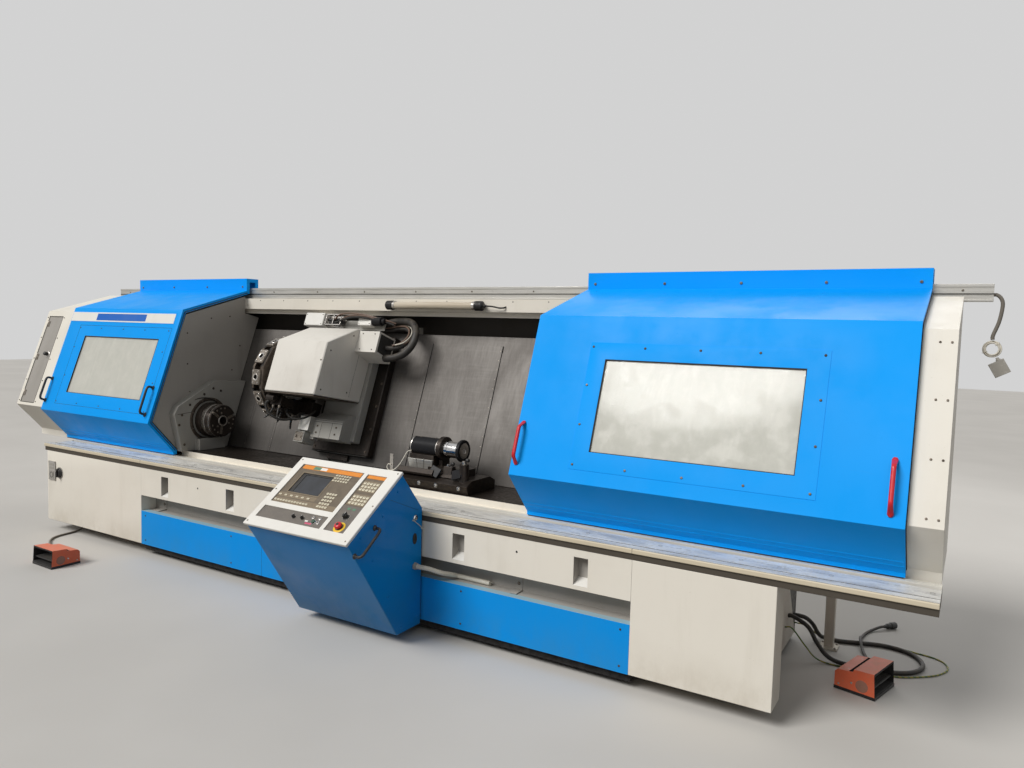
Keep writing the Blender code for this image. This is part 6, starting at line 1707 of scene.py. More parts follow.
def make_coolant_parts():
    """The dark manifold, valve blocks and jointed nozzles under the housing, beside the disc."""
    block = new()
    add_box(block, (2.262, 2.36), (-0.255, -0.13), (0.125, 0.188))
    add_box(block, (2.285, 2.345), (-0.12, -0.03), (0.095, 0.205))
    add_box(block, (2.30, 2.44), (-0.028, 0.06), (0.118, 0.215))
    add_rod(block, 0.028, 2.258, 2.335, (0, -0.285, 0.165), "X", 20, 0.003)
    add_rod(block, 0.017, 2.255, 2.345, (0, -0.205, 0.105), "X", 16, 0.002)
    emit("coolant_manifold", "cross_slide", block, WAYS, "oily", 0.004, 2, slot="dark_steel")
    fittings = new()
    for x, n, s in (
        (2.275, -0.235, 0.122), (2.305, -0.175, 0.122), (2.335, -0.235, 0.122), (2.315, -0.075, 0.092)
    ):
        add_turned(
            fittings,
            [(0, 0.004), (0.011, 0.004), (0.011, -0.010), (0.008, -0.012), (0.0065, -0.020), (0, -0.020)],
            (x, n, s), "Z", 12,
        )
    emit("coolant_fittings", "cross_slide", fittings, WAYS, "steel")
    for number, (x, n, s, lean, reach) in enumerate((
        (2.275, -0.235, 0.104, -0.02, 0.085), (2.305, -0.175, 0.104, 0.02, 0.10),
        (2.335, -0.235, 0.104, 0.05, 0.075), (2.315, -0.075, 0.074, 0.05, 0.09),
    )):
        nozzle = new()
        steps = 26
        points, sizes = [], []
        for k in range(steps + 1):
            t = k / steps
            points.append((x + lean * t * t, n - 0.035 * t * t, s - reach * t))
            bead = abs(math.sin(math.pi * t * 6))
            sizes.append((0.0055 + 0.0032 * bead) * (1.0 if t < 0.86 else 1.0 - (t - 0.86) * 4.2))
        add_tube(nozzle, points, sizes, 12)
        emit(f"coolant_nozzle_{number}", "cross_slide", nozzle, WAYS, "black_plastic", angle=65)
    for number, points in enumerate((
        [
            (2.285, -0.285, 0.150), (2.268, -0.300, 0.115), (2.29, -0.275, 0.060), (2.34, -0.215, 0.030),
            (2.385, -0.14, 0.055), (2.392, -0.085, 0.105), (2.395, -0.045, 0.122),
        ],
        [
            (2.325, -0.150, 0.130), (2.355, -0.165, 0.085), (2.40, -0.145, 0.058), (2.45, -0.10, 0.075),
            (2.475, -0.058, 0.115), (2.478, -0.025, 0.150),
        ],
        [
            (2.262, -0.125, 0.175), (2.250, -0.105, 0.135), (2.265, -0.065, 0.085), (2.305, -0.03, 0.070),
            (2.345, -0.015, 0.098), (2.352, -0.010, 0.122),
        ],
    )):
        hose = add_hose(new(), points, 0.008, (0.009, 0.0075, 0.0065)[number])
        emit(f"coolant_hose_{number}", "cross_slide", hose, WAYS, "dark_rubber", angle=65)
    cap = new()
    add_rod(cap, 0.0225, 2.246, 2.262, (0, -0.205, 0.157), "X", 20, 0.003)
    add_turned(
        cap, [(0.020, 0), (0.020, -0.02), (0.013, -0.026), (0.013, -0.04), (0, -0.04)], (2.262, -0.16, 0.158),
        "X", 16,
    )
    emit("coolant_valve_cap", "cross_slide", cap, WAYS, "white", slot="grey_plastic")


def make_slide_trim():
    """Cover, lines, screws and clamp of the cross slide, and the carriage's wiper and bolts."""
    cover = new()
    outline = [
        (-0.0575, -0.001), (-0.0575, 0.1015), (0.052, 0.1120), (0.052, 0.1095), (-0.0552, 0.0995),
        (-0.0552, -0.001),
    ]
    add_prism(cover, outline, (2.3832, 2.4815))
    emit("slide_nozzle_cover", "cross_slide", cover, WAYS, "white", 0.0008, 2)
    lines = new()
    for s in (0.078, 0.092):
        add_box(lines, (2.482, 2.748), (-0.0109, -0.0099), (s, s + 0.0022))
    for x in (2.555, 2.655):
        add_box(lines, (x, x + 0.0018), (-0.0107, -0.0099), (-0.033, 0.078))
    emit("slide_block_lines", "cross_slide", lines, WAYS, "joint_and_shade")
    screws = add_each(add_screw, new(), (2.52, 2.70), -0.0102, (0.0, 0.05), "Y", 0.0072, 0.004, True)
    emit("slide_block_screws", "cross_slide", screws, WAYS, "dark_steel")
    clamp = new()
    add_prism(
        clamp, [(-0.0635, -0.082), (-0.0635, -0.018), (-0.060, -0.0165), (-0.0602, -0.0835)], (2.378, 2.452)
    )
    add_each(add_bolt, clamp, (2.392, 2.438), -0.0635, -0.050, "Y", 0.0085, 0.008, True)
    emit("slide_clamp", "cross_slide", clamp, WAYS, "steel", 0.0008, 1)
    # The way wiper along the carriage plate's lower edge.
    wiper = add_box(new(), (2.335, 2.865), (0.176, 0.246), (-0.106, -0.0995))
    emit("carriage_wiper", "carriage", wiper, WAYS, "dark_rubber", 0.001, 1)
    bolts = add_each(
        add_bolt, new(), (2.352, 2.848), 0.1796, (-0.07, 0.10, 0.27, 0.44, 0.61, 0.77), "Y", 0.0085, 0.008,
        True,
    )
    emit("carriage_bolts", "carriage", bolts, WAYS, "dark_steel")


def make_connection_boxes():
    """Screws, clamp frame, couplings, valve and short hoses at the carriage's boxes."""
    screws = new()
    for x0, x1, s0, s1 in ((2.035, 2.22, 0.841, 0.932), (2.57, 2.69, 0.857, 0.923)):
        n = 0.0576 if x0 < 2.3 else 0.0746
        add_each(
            add_screw, screws, (x0 + 0.010, x1 - 0.010), n, (s0 + 0.008, s1 - 0.008), "Y", 0.0042, 0.0025,
            True,
        )
    emit("box_screws", "carriage", screws, WAYS, "steel")
    clamp = new()
    for s in (0.845, 0.926):
        add_box(clamp, (2.235, 2.395), (0.070, 0.078), (s, s + 0.009))
    for x in (2.235, 2.310, 2.387):
        add_box(clamp, (x, x + 0.008), (0.070, 0.078), (0.845, 0.935))
    add_box(clamp, (2.235, 2.395), (0.124, 0.1315), (0.845, 0.935))
    for x in (2.235, 2.387):
        add_box(clamp, (x, x + 0.008), (0.07, 0.1315), (0.845, 0.854))
    emit("hose_clamp_frame", "carriage", clamp, WAYS, "bright_steel", 0.001, 1, slot="worn_steel")
    couplings = new()
    for x, n, s in ((2.26, 0.10, 0.895), (2.285, 0.095, 0.872), (2.335, 0.10, 0.90), (2.365, 0.098, 0.875)):
        add_turned(
            couplings,
            [(0, 0.045), (0.013, 0.045), (0.013, 0.018), (0.010, 0.016), (0.010, -0.02), (0, -0.02)],
            (x, n, s), "X", 12,
        )
    emit("hose_couplings", "carriage", couplings, WAYS, "black_plastic")
    motor = new()
    add_rod(motor, 0.034, 2.70, 2.785, (0, 0.094, 0.89), "X", 24, 0.004)
    add_rod(motor, 0.022, 2.785, 2.812, (0, 0.094, 0.89), "X", 20, 0.003)
    emit("valve_solenoid", "carriage", motor, WAYS, "black", slot="black_plastic")
    runs = (
        (
            [
                (2.325, 0.095, 0.872), (2.40, 0.07, 0.885), (2.50, 0.05, 0.90), (2.60, 0.052, 0.905),
                (2.70, 0.07, 0.90), (2.80, 0.10, 0.89), (2.87, 0.13, 0.878),
            ],
            0.0085, "dark_rubber",
        ),
        (
            [
                (2.30, 0.10, 0.895), (2.38, 0.06, 0.925), (2.50, 0.04, 0.93), (2.62, 0.045, 0.925),
                (2.72, 0.066, 0.912), (2.82, 0.10, 0.90), (2.88, 0.135, 0.89),
            ],
            0.0062, "brown_hose",
        ),
        (
            [
                (2.375, 0.10, 0.90), (2.44, 0.06, 0.905), (2.52, 0.045, 0.915), (2.64, 0.05, 0.915),
                (2.74, 0.075, 0.90), (2.83, 0.11, 0.885), (2.875, 0.14, 0.872),
            ],
            0.0062, "brown_hose",
        ),
    )
    for number, (points, radius, material) in enumerate(runs):
        run = add_hose(new(), points, 0.008, radius)
        emit(f"carriage_hose_{number}", "carriage", run, WAYS, material, slot="black_rubber", angle=65)


make_stations()
make_disc_hub()
make_housing_trim()
make_coolant_parts()
make_slide_trim()
make_connection_boxes()


# Way covers and trough
COVER_DEPTH = 0.26
COVER_GAUGE = 0.0033


def make_cover_trim():
    """Edge strips, wiper lips and rivets of the sliding cover plates."""
    second = COVER_DEPTH - 2 * COVER_GAUGE
    first = second - COVER_GAUGE
    for name, body, x, n in (
        ("left_wing", "carriage", (1.80, 1.822), first), ("right_wing", "carriage", (3.148, 3.17), first),
        ("left_cover", "cover_left", (1.51, 1.532), second),
        ("right_cover", "cover_right", (3.738, 3.76), second),
    ):
        lip = add_prism(
            new(), [(n - 0.0022, -0.150), (n - 0.0022, 0.785), (n - 0.0001, 0.787), (n - 0.0001, -0.152)], x
        )
        emit(name + "_lip", body, lip, WAYS, "cover", 0.0006, 1, slot="worn_steel")
        edge = new()
        side = x[0] - 0.0012 if "left" in name else x[1]
        add_box(edge, (side, side + 0.0012), (n - 0.002, n + 0.0028), (-0.152, 0.787))
        emit(name + "_wiper", body, edge, WAYS, "joint_and_shade")
        rivets = new()
        for k in range(14):
            add_screw(rivets, (sum(x) / 2, n - 0.0021, -0.12 + k * 0.067), "Y", 0.0035, 0.0016, True, False)
        emit(name + "_rivets", body, rivets, WAYS, "steel")


def make_fixed_cover_joints():
    """Joints and screws of the fixed cover plates right of the tailstock."""
    joints = new()
    for x in (4.30, 4.90, 5.45):
        add_box(joints, (x, x + 0.0018), (0.2594, 0.2602), (-0.20, 0.74))
    emit("bed_cover_joints", "machine", joints, WAYS, "joint_and_shade")
    screws = add_each(
        add_screw, new(), (3.95, 4.27, 4.33, 4.60, 4.87, 4.93, 5.2), 0.2599, (-0.14, 0.1, 0.4, 0.71), "Y",
        0.0048, 0.0025, True,
    )
    emit("bed_cover_screws", "machine", screws, WAYS, "steel")


make_cover_trim()
make_fixed_cover_joints()


# Tailstock
BARREL = (3.414, 3.626)
BARREL_RADIUS = 0.062
QUILL_END = 3.80


def make_tailstock_trim():
    """Barrel rings and cap, cheeks, saddle, guards, bolts, levers, quill nose, lead and wiper stay."""
    bands = new()
    for x, way in ((BARREL[0], 1), (BARREL[1], -1)):
        add_turned(
            bands, [(0.0525, -0.0012), (0.058, -0.0012), (0.0625, 0.0025), (0.0632, 0.007), (0.0622, 0.010)],
            (x, *SPINDLE_YZ), "X", 48, way < 0,
        )
    emit("barrel_end_rings", "tailstock", bands, MACHINE, "bright_steel")
    cap = add_turned(
        new(), [(0, -0.006), (0.020, -0.006), (0.026, -0.003), (0.046, -0.002), (0.052, 0.0002)],
        (BARREL[0], *SPINDLE_YZ), "X", 40,
    )
    emit("barrel_cap", "tailstock", cap, MACHINE, "black", slot="black_paint")
    screws = new()
    for k in range(6):
        add_screw(
            screws, (BARREL[0] - 0.0022, *around(0.039, math.radians(30 + 60 * k))), "X", 0.005, 0.004, True
        )
    add_each(
        add_screw, screws, (3.46, 3.58), SPINDLE_YZ[0], SPINDLE_YZ[1] + BARREL_RADIUS - 0.0004, "Z", 0.006,
        0.004,
    )
    emit("barrel_screws", "tailstock", screws, MACHINE, "steel")
    cheeks = new()
    front = 0.4592
    for x0, x1, lean in ((3.426, 3.493, 0.010), (3.497, 3.553, 0.0), (3.557, 3.624, -0.010)):
        corners = [
            (x0, 0.912, front - 0.016), (x1, 0.912, front - 0.016), (x1 - 0.004 + lean, 0.833, front - 0.005),
            (x0 + 0.004 + lean, 0.833, front - 0.005),
        ]
        add_slab(cheeks, [(x, y, z) for x, z, y in corners], [(x, front, z) for x, z, y in corners])
    emit("tailstock_cheeks", "tailstock", cheeks, MACHINE, "aluminium", 0.002, 2)
    saddle = new()
    base = 0.8312
    for x0, x1, y0, y1, top in ((3.70, 3.84, 0.385, 0.52, 0.852), (3.735, 3.80, 0.395, 0.47, 0.895)):
        add_prism(
            saddle, [(y0, base - 0.002), (y0 + 0.02, top), (y1 - 0.02, top), (y1, base - 0.002)], (x0, x1)
        )
    add_prism(
        saddle, [(0.362, base - 0.001), (0.35, 0.845), (0.372, 0.872), (0.43, 0.842), (0.43, base - 0.001)],
        (3.415, 3.69),
    )
    emit("tailstock_saddle", "tailstock", saddle, MACHINE, "oily", 0.003, 2, slot="dark_steel")
    plates = new()
    for x, lean in ((3.69, 0.35), (3.86, -0.3)):
        turn = Matrix.Translation(
            (x, 0.375, 0.852)
        ) @ Matrix.Rotation(lean, 4, "Y") @ Matrix.Rotation(-0.5, 4, "X")
        one = add_box(new(), (-0.034, 0.034), (-0.006, 0.006), (-0.020, 0.040))
        one.transform(turn)
        merge(plates, one)
    emit("tailstock_guards", "tailstock", plates, MACHINE, "black", 0.0015, 2, slot="black_paint")
    bolts = new()
    for x, y, z in ((3.47, 0.352, 0.79), (3.60, 0.352, 0.79), (3.73, 0.352, 0.79), (3.90, 0.352, 0.79)):
        add_bolt(bolts, (x, 0.3415, z - 0.005), "Y", 0.010, 0.010, True)
    add_each(add_bolt, bolts, (3.755, 3.78), 0.435, 0.8952, "Z", 0.009, 0.010)
    add_turned(
        bolts, [(0, 0.0652), (0.016, 0.0652), (0.016, 0.082), (0.011, 0.086), (0, 0.086)], (3.90, 0.40, 0.86),
        "Z", 20,
    )
    emit("tailstock_bolts", "tailstock", bolts, MACHINE, "bright_steel", slot="worn_steel")
    lever = new()
    for start, end, radius in (
        ((3.90, 0.40, 0.935), (3.955, 0.355, 0.962), 0.0055),
        ((3.775, 0.432, 0.900), (3.835, 0.372, 0.925), 0.005),
    ):
        add_tube(lever, [Vector(start).lerp(Vector(end), k / 6) for k in range(7)], radius, 10)
        ball = Vector(end)
        add_turned(
            lever,
            [
                (0, -0.013), (0.008, -0.0105), (0.0125, -0.005), (0.013, 0), (0.0125, 0.005), (0.008, 0.0105),
                (0, 0.013),
            ],
            ball, "Z", 16,
        )
    emit("tailstock_levers", "tailstock", lever, MACHINE, "black_plastic", angle=60)
    nose = add_turned(
        new(), [(0.050, 0.0002), (0.0693, 0.0002), (0.0705, -0.002), (0.0705, -0.018), (0.0688, -0.0205)],
        (QUILL_END, *SPINDLE_YZ), "X", 48,
    )
    emit("quill_nose_ring", "quill", nose, MACHINE, "black", slot="dark_steel")
    face = add_turned(
        new(),
        [
            (0.0495, 0.0005), (0.046, 0.0025), (0.030, 0.0025), (0.0185, 0.0018), (0.0150, -0.004),
            (0.012, -0.028), (0, -0.030),
        ],
        (QUILL_END, *SPINDLE_YZ), "X", 48,
    )
    emit("quill_nose_face", "quill", face, MACHINE, "bright_steel")
    scraper = add_turned(
        new(), [(0.0523, -0.132), (0.0545, -0.130), (0.0545, -0.104), (0.0523, -0.1025)],
        (QUILL_END, *SPINDLE_YZ), "X", 48,
    )
    emit("quill_scraper_ring", "tailstock", scraper, MACHINE, "chrome")
    lead = new()
    route = [
        (3.425, 0.481, 0.952), (3.405, 0.466, 0.945), (3.392, 0.445, 0.905), (3.372, 0.425, 0.860),
        (3.340, 0.408, 0.826), (3.305, 0.402, 0.822), (3.290, 0.402, 0.842), (3.300, 0.404, 0.862),
        (3.318, 0.4075, 0.858),
    ]
    add_hose(lead, route, 0.006, 0.0034, 8)
    emit("tailstock_lead", "tailstock", lead, MACHINE, "white_cable", angle=60)
    stay = new()
    add_prism(stay, [(0.410, 0.765), (0.410, 0.930), (0.4145, 0.930), (0.4145, 0.765)], (3.306, 3.334))
    add_box(stay, (3.306, 3.4035), (0.410, 0.4145), (0.765, 0.80))
    emit("tailstock_wiper_stay", "tailstock", stay, MACHINE, "bright_steel", 0.0008, 1, slot="worn_steel")


make_tailstock_trim()


# Console: panel face, keys, controls and side fittings
# Each block of keys: its first key's middle, its pitch, columns, rows and a key's size
KEY_BLOCKS = (
    ((0.352, 0.40), (0.0195, 0.0195), 6, 3, (0.012, 0.010)),
    ((0.392, 0.205), (0.0195, 0.024), 4, 5, (0.013, 0.012)),
    ((0.075, 0.243), (0.043, 0.02), 6, 1, (0.016, 0.009)),
    ((0.072, 0.203), (0.0215, 0.02), 12, 1, (0.014, 0.010)),
    ((0.575, 0.27), (0.0225, 0.0235), 5, 3, (0.015, 0.015)),
    ((0.575, 0.37), (0.0225, 0.0235), 5, 3, (0.015, 0.015)),
)
# The screen's opening, as x0, x1, y0, y1
SCREEN = (0.106, 0.341, 0.270, 0.423)
CONSOLE_SIDE = 3.902


def plate_box(bm, x, y, z=(0.0002, 0.0011)):
    """A thin field on the control plate."""
    return add_box(bm, x, y, z)


def key_places(block):
    """The middles of a block's keys, row by row."""
    start, pitch, columns, rows = block[:4]
    for row in range(rows):
        for column in range(columns):
            yield start[0] + column * pitch[0], start[1] + row * pitch[1]


def make_key_caps():
    """The panel's keys, with a plain mark on each."""
    for number, block in enumerate(KEY_BLOCKS):
        caps = new()
        half_x, half_y = (side / 2 + 0.0006 for side in block[-1])
        for x, y in key_places(block):
            add_box(caps, (x - half_x, x + half_x), (y - half_y, y + half_y), (0.0003, 0.0031))
        emit(f"key_caps_{number}", "console", caps, PLATE, "key", 0.0009, 2, slot="grey_plastic")
    # A small plain mark on each key: high on the keys of the last two blocks, in the middle of the others.
    high_marks = new()
    for block in KEY_BLOCKS[4:]:
        for x, y in key_places(block):
            add_box(high_marks, (x - 0.0035, x + 0.0035), (y + 0.0015, y + 0.0045), (0.0030, 0.0034))
    emit("key_legends", "console", high_marks, PLATE, "legend", slot="black_plastic")
    marks = new()
    for block in KEY_BLOCKS[:4]:
        for x, y in key_places(block):
            add_box(marks, (x - 0.0022, x + 0.0022), (y - 0.0018, y + 0.0020), (0.0030, 0.0033))
    emit("key_marks", "console", marks, PLATE, "legend", slot="black_plastic")


def make_panel_labels():
    """Plain coloured fields of the control panel."""
    orange = new()
    plate_box(orange, (0.066, 0.511), (0.4525, 0.4825))
    plate_box(orange, (0.5575, 0.6825), (0.4555, 0.4785))
    emit("orange_strips", "console", orange, PLATE, "orange_label", 0.0003, 1, slot="orange_plastic")
    green = new()
    plate_box(green, (0.150, 0.205), (0.4555, 0.4795), (0.0009, 0.0016))
    plate_box(green, (0.592, 0.612), (0.2215, 0.2360), (0.0002, 0.0014))
    plate_box(green, (0.628, 0.648), (0.2205, 0.2350), (0.0002, 0.0014))
    emit("green_fields", "console", green, PLATE, "green_label", 0.0003, 1, slot="grey_plastic")
    pale = new()
    plate_box(pale, (0.205, 0.252), (0.4575, 0.4775), (0.0009, 0.0015))
    plate_box(pale, (0.388, 0.410), (0.0935, 0.1035))
    emit("pale_fields", "console", pale, PLATE, "white", 0.0003, 1, slot="grey_plastic")
    pink = new()
    plate_box(pink, (0.398, 0.444), (0.0795, 0.0905))
    emit("pink_field", "console", pink, PLATE, "pink_label", 0.0003, 1, slot="red_plastic")
    fields = new()
    for x, y in (
        ((0.059, 0.520), (0.1855, 0.2225)), ((0.059, 0.345), (0.2285, 0.2605)),
        ((0.560, 0.680), (0.2555, 0.3375)), ((0.560, 0.680), (0.3555, 0.4375)),
    ):
        plate_box(fields, x, y, (0.0002, 0.0006))
    emit("key_fields", "console", fields, PLATE, "key_field", slot="taupe_plastic")
    switches = new()
    plate_box(switches, (0.0435, 0.5225), (0.0635, 0.1465), (0.0002, 0.0007))
    plate_box(switches, (0.5515, 0.6875), (0.0655, 0.2485), (0.0002, 0.0007))
    emit("switch_fields", "console", switches, PLATE, "switch_field", slot="taupe_plastic")


def make_screen_bezel():
    """Edge and mask of the screen."""
    bezel = ring(new(), grown(SCREEN, 0.006), grown(SCREEN, -0.001), (0.0002, 0.0016))
    emit("screen_edge", "console", bezel, PLATE, "key_field", 0.0005, 1, slot="taupe_plastic")
    inner = new()
    visible = (SCREEN[0] + 0.030, SCREEN[1] - 0.010, SCREEN[2] + 0.007, SCREEN[3] - 0.012)
    ring(inner, grown(SCREEN, -0.0006), visible, (-0.0038, -0.0022))
    emit("screen_mask", "console", inner, PLATE, "black_plastic", 0.0004, 1)


def make_console_controls():
    """Emergency stop, dials and scales, start button, key switches and the frame's screws."""
    collar = new()
    centre = (0.634, 0.100, 0)
    add_turned(
        collar, [(0.0225, 0.0003), (0.0225, 0.0040), (0.030, 0.0040), (0.0345, 0.0024), (0.0350, 0.0003)],
        centre, "Z", 40,
    )
    emit("estop_ring", "console", collar, PLATE, "yellow_plastic", slot="orange_plastic")
    head = add_turned(
        new(),
        [
            (0, -0.006), (0.0095, -0.006), (0.0095, 0.0065), (0.0150, 0.0085), (0.0200, 0.0125),
            (0.0215, 0.0175), (0.0205, 0.0225), (0.0165, 0.0262), (0.0090, 0.0283), (0, 0.0290),
        ],
        centre, "Z", 36,
    )
    emit(
        "estop_head", "emergency_stop", head, PLATE, "red_plastic", slot="red_plastic",
        replaces=("emergency_stop",), angle=50,
    )
    cap = add_turned(new(), [(0.0088, 0.0282), (0.0082, 0.0296), (0, 0.0302)], centre, "Z", 24)
    emit("estop_cap", "emergency_stop", cap, PLATE, "black_plastic")
    for name, node, body, x, y, radius, height, ribs in (
        ("override_dial", "override_knob", "override_knob", 0.625, 0.171, 0.0150, 0.022, 18),
        ("mode_dial_a", "mode_knob_a", "mode_knob_a", 0.300, 0.107, 0.0090, 0.016, 12),
        ("mode_dial_b", "mode_knob_b", "mode_knob_b", 0.363, 0.109, 0.0090, 0.016, 12),
    ):
        knob = new()
        loops = []
        for r, z, wave in (
            (radius * 1.18, 0.0004, 0), (radius * 1.18, 0.0025, 0), (radius * 1.02, 0.0034, 0),
            (radius, 0.0040, 0.05), (radius * 0.93, height * 0.8, 0.05), (radius * 0.84, height, 0.02),
        ):
            loop = []
            for k in range(2 * ribs):
                out, turn = r * (1 - wave * (k % 2)), math.pi * k / ribs
                loop.append(knob.verts.new((x + out * math.cos(turn), y + out * math.sin(turn), z)))
            loops.append(loop)
        close_rings(knob, loops)
        add_box(
            knob, (x - radius * 0.26, x + radius * 0.26), (y - radius * 1.05, y + radius * 1.10),
            (height * 0.55, height + 0.0035),
        )
        emit(name, body, knob, PLATE, "black_plastic", angle=30, replaces=(node,))
        line = add_box(
            new(), (x - 0.0009, x + 0.0009), (y + radius * 0.25, y + radius * 1.08),
            (height + 0.0034, height + 0.0039),
        )
        emit(name + "_pointer", body, line, PLATE, "white")
        ticks = new()
        count = 11 if radius > 0.012 else 5
        for k in range(count):
            angle = math.radians(90 + (k - (count - 1) / 2) * (270 if radius > 0.012 else 120) / (count - 1))
            tick = add_box(new(), (radius * 1.35, radius * 1.6), (-0.0006, 0.0006), (0.0006, 0.0010))
            tick.transform(Matrix.Translation((x, y, 0)) @ Matrix.Rotation(angle, 4, "Z"))
            merge(ticks, tick)
        emit(name + "_scale", "console", ticks, PLATE, "white")
    button = add_turned(
        new(),
        [
            (0, -0.006), (0.0058, -0.006), (0.0058, 0.0060), (0.0100, 0.0062), (0.0112, 0.0080),
            (0.0104, 0.0098), (0, 0.0104),
        ],
        (0.452, 0.100, 0), "Z", 28,
    )
    emit(
        "start_button_head", "start_button", button, PLATE, "dark_green", slot="red_plastic",
        replaces=("start_button",), angle=50,
    )
    collars = new()
    for x, y, radius in (
        (0.452, 0.100, 0.0125), (0.428, 0.126, 0.0085), (0.476, 0.126, 0.0085), (0.482, 0.098, 0.0085)
    ):
        add_turned(
            collars,
            [
                (radius - 0.0008, 0.0003), (radius - 0.0008, 0.0048), (radius + 0.0012, 0.0052),
                (radius + 0.0028, 0.0030), (radius + 0.0030, 0.0003),
            ],
            (x, y, 0), "Z", 28,
        )
    emit("switch_collars", "console", collars, PLATE, "chrome")
    locks = new()
    for x, y, turn in ((0.428, 0.126, 0.3), (0.476, 0.126, 1.2), (0.482, 0.098, 0.1)):
        add_turned(
            locks, [(0, 0.0004), (0.0077, 0.0004), (0.0077, 0.0042), (0.0060, 0.0052), (0, 0.0052)],
            (x, y, 0), "Z", 24,
        )
        slot = add_box(new(), (-0.0009, 0.0009), (-0.0045, 0.0045), (0.0050, 0.0120))
        slot.transform(Matrix.Translation((x, y, 0)) @ Matrix.Rotation(turn, 4, "Z"))
        merge(locks, slot)
    emit("key_switches", "console", locks, PLATE, "bright_steel", 0.0003, 1)
    screws = add_each(add_screw, new(), (0.02, 0.739), (0.022, 0.268, 0.514), 0.0178, "Z", 0.0052, 0.002)
    emit("frame_screws", "console", screws, PANEL, "steel")


def make_console_side():
    """Handle, lock, grommet, screws, folds, wire clip, left cover and gland of the console."""
    side = CONSOLE_SIDE
    turn = turn_x(math.atan2(0.099, 0.130)) @ Matrix.Rotation(math.pi / 2, 4, "Y")
    make_bow_handle(
        "console_grip", "console_handle", "console", placed(side, -0.492, 0.645, turn), 0.19, 0.045, 0.008
    )
    lock = add_turned(
        new(),
        [
            (0, 0.0002), (0.017, 0.0002), (0.0175, 0.003), (0.0135, 0.006), (0.0125, 0.0085),
            (0.0045, 0.0085), (0.004, 0.005), (0, 0.005),
        ],
        (side, -0.077, 0.690), "X", 24,
    )
    emit("console_lock", "console", lock, MACHINE, "chrome")
    # An oval rubber grommet.
    grommet, loops, steps = new(), [], 24
    y, z = -0.080, 0.572
    for scale, x in ((1.0, 0.0002), (1.0, 0.0045), (0.86, 0.0062), (0.62, 0.0062), (0.55, 0.002)):
        turns = (2 * math.pi * j / steps for j in range(steps))
        loops.append([
            grommet.verts.new(
                (side + x, y + 0.017 * scale * math.cos(a), z + 0.031 * scale * math.sin(a))
            ) for a in turns
        ])
    loops.append([grommet.verts.new((side + 0.002, y, z))])
    join_rings(grommet, loops, steps)
    emit("console_grommet", "console", grommet, MACHINE, "dark_rubber")
    screws = new()
    for y, z in (
        (-0.232, 0.862), (-0.526, 0.672), (-0.355, 0.751), (-0.05, 0.70), (-0.04, 0.42), (-0.05, 0.12),
        (-0.19, 0.10), (-0.30, 0.30), (-0.43, 0.53),
    ):
        add_screw(screws, (side + 0.0001, y, z), "X", 0.0065, 0.0038)
    emit("console_side_screws", "console", screws, MACHINE, "console_blue_shaded", slot="blue_paint")
    folds = new()
    for (ya, za), (yb, zb) in (((-0.295, 0.829), (-0.050, 0.728)), ((-0.014, 0.10), (-0.014, 0.715))):
        way = Vector((0, yb - ya, zb - za)).normalized()
        over = Vector((0, -way.z, way.y)) * 0.0007
        corners = [
            Vector((0, ya, za)) - over, Vector((0, yb, zb)) - over, Vector((0, yb, zb)) + over,
            Vector((0, ya, za)) + over,
        ]
        near, far = ([c + Vector((x, 0, 0)) for c in corners] for x in (side + 0.0007, side - 0.0003))
        add_slab(folds, near, far)
    emit("console_side_folds", "console", folds, MACHINE, "joint_and_shade")
    clip = new()
    wire = [(side + 0.010, -0.105, 0.683), (side + 0.0115, -0.060, 0.650), (side + 0.009, -0.016, 0.616)]
    add_tube(clip, round_corners(wire, 0.004), 0.0022, 8)
    for y, z in ((-0.100, 0.6795), (-0.020, 0.6188)):
        add_turned(clip, [(0, 0.0002), (0.004, 0.0002), (0.0035, 0.010), (0, 0.012)], (side, y, z), "X", 10)
    emit("console_wire_clip", "console", clip, MACHINE, "white_cable", angle=60)
    # A screwed service cover on the console's left side.
    left = 3.1508
    door = new()
    outline = [(-0.055, 0.12), (-0.185, 0.12), (-0.43, 0.56), (-0.315, 0.73), (-0.055, 0.62)]
    add_prism(door, outline, (left - 0.0022, left - 0.0002))
    emit("console_left_cover", "console", door, MACHINE, "console_blue_shaded", 0.001, 2, slot="blue_paint")
    cover_screws = new()
    for y, z in ((-0.07, 0.14), (-0.178, 0.14), (-0.41, 0.558), (-0.31, 0.708), (-0.07, 0.60)):
        add_screw(cover_screws, (left - 0.0021, y, z), "X", 0.0055, 0.0032, True)
    emit("console_left_screws", "console", cover_screws, MACHINE, "steel")
    gland = add_turned(
        new(),
        [
            (0.0145, 0.0003), (0.022, 0.0003), (0.022, 0.010), (0.0185, 0.012), (0.0185, 0.020),
            (0.0148, 0.022),
        ],
        (side, -0.075, 0.415), "X", 6,
    )
    emit("console_gland", "console", gland, MACHINE, "grey_plastic", 0.0006, 1, slot="grey_plastic")


M["legend"] = moulded("key_legend", (96, 84, 66), (140, 128, 106), 0.5, 0.2, 900)
M["green_label"] = moulded("green_label", (84, 132, 104), (150, 150, 130), 0.45, 0.25, 900)
M["pink_label"] = moulded("pink_label", (206, 84, 120), (190, 140, 140), 0.45, 0.25, 900)
M["key_field"] = moulded("key_field", (124, 110, 90), (152, 138, 116), 0.5, 0.3, 900)
M["switch_field"] = moulded("switch_field", (104, 98, 92), (140, 132, 120), 0.5, 0.3, 900)
M["dark_green"] = moulded("start_green", (38, 74, 58), (110, 120, 104), 0.4, 0.2)
make_key_caps()
make_panel_labels()
make_screen_bezel()
make_console_controls()
make_console_side()


# Rail front, bed front, cabinets and foot switches
RAIL_SPAN = (-0.0295, 6.4715)
SWITCH = (0.182, -0.0003, 0.488)
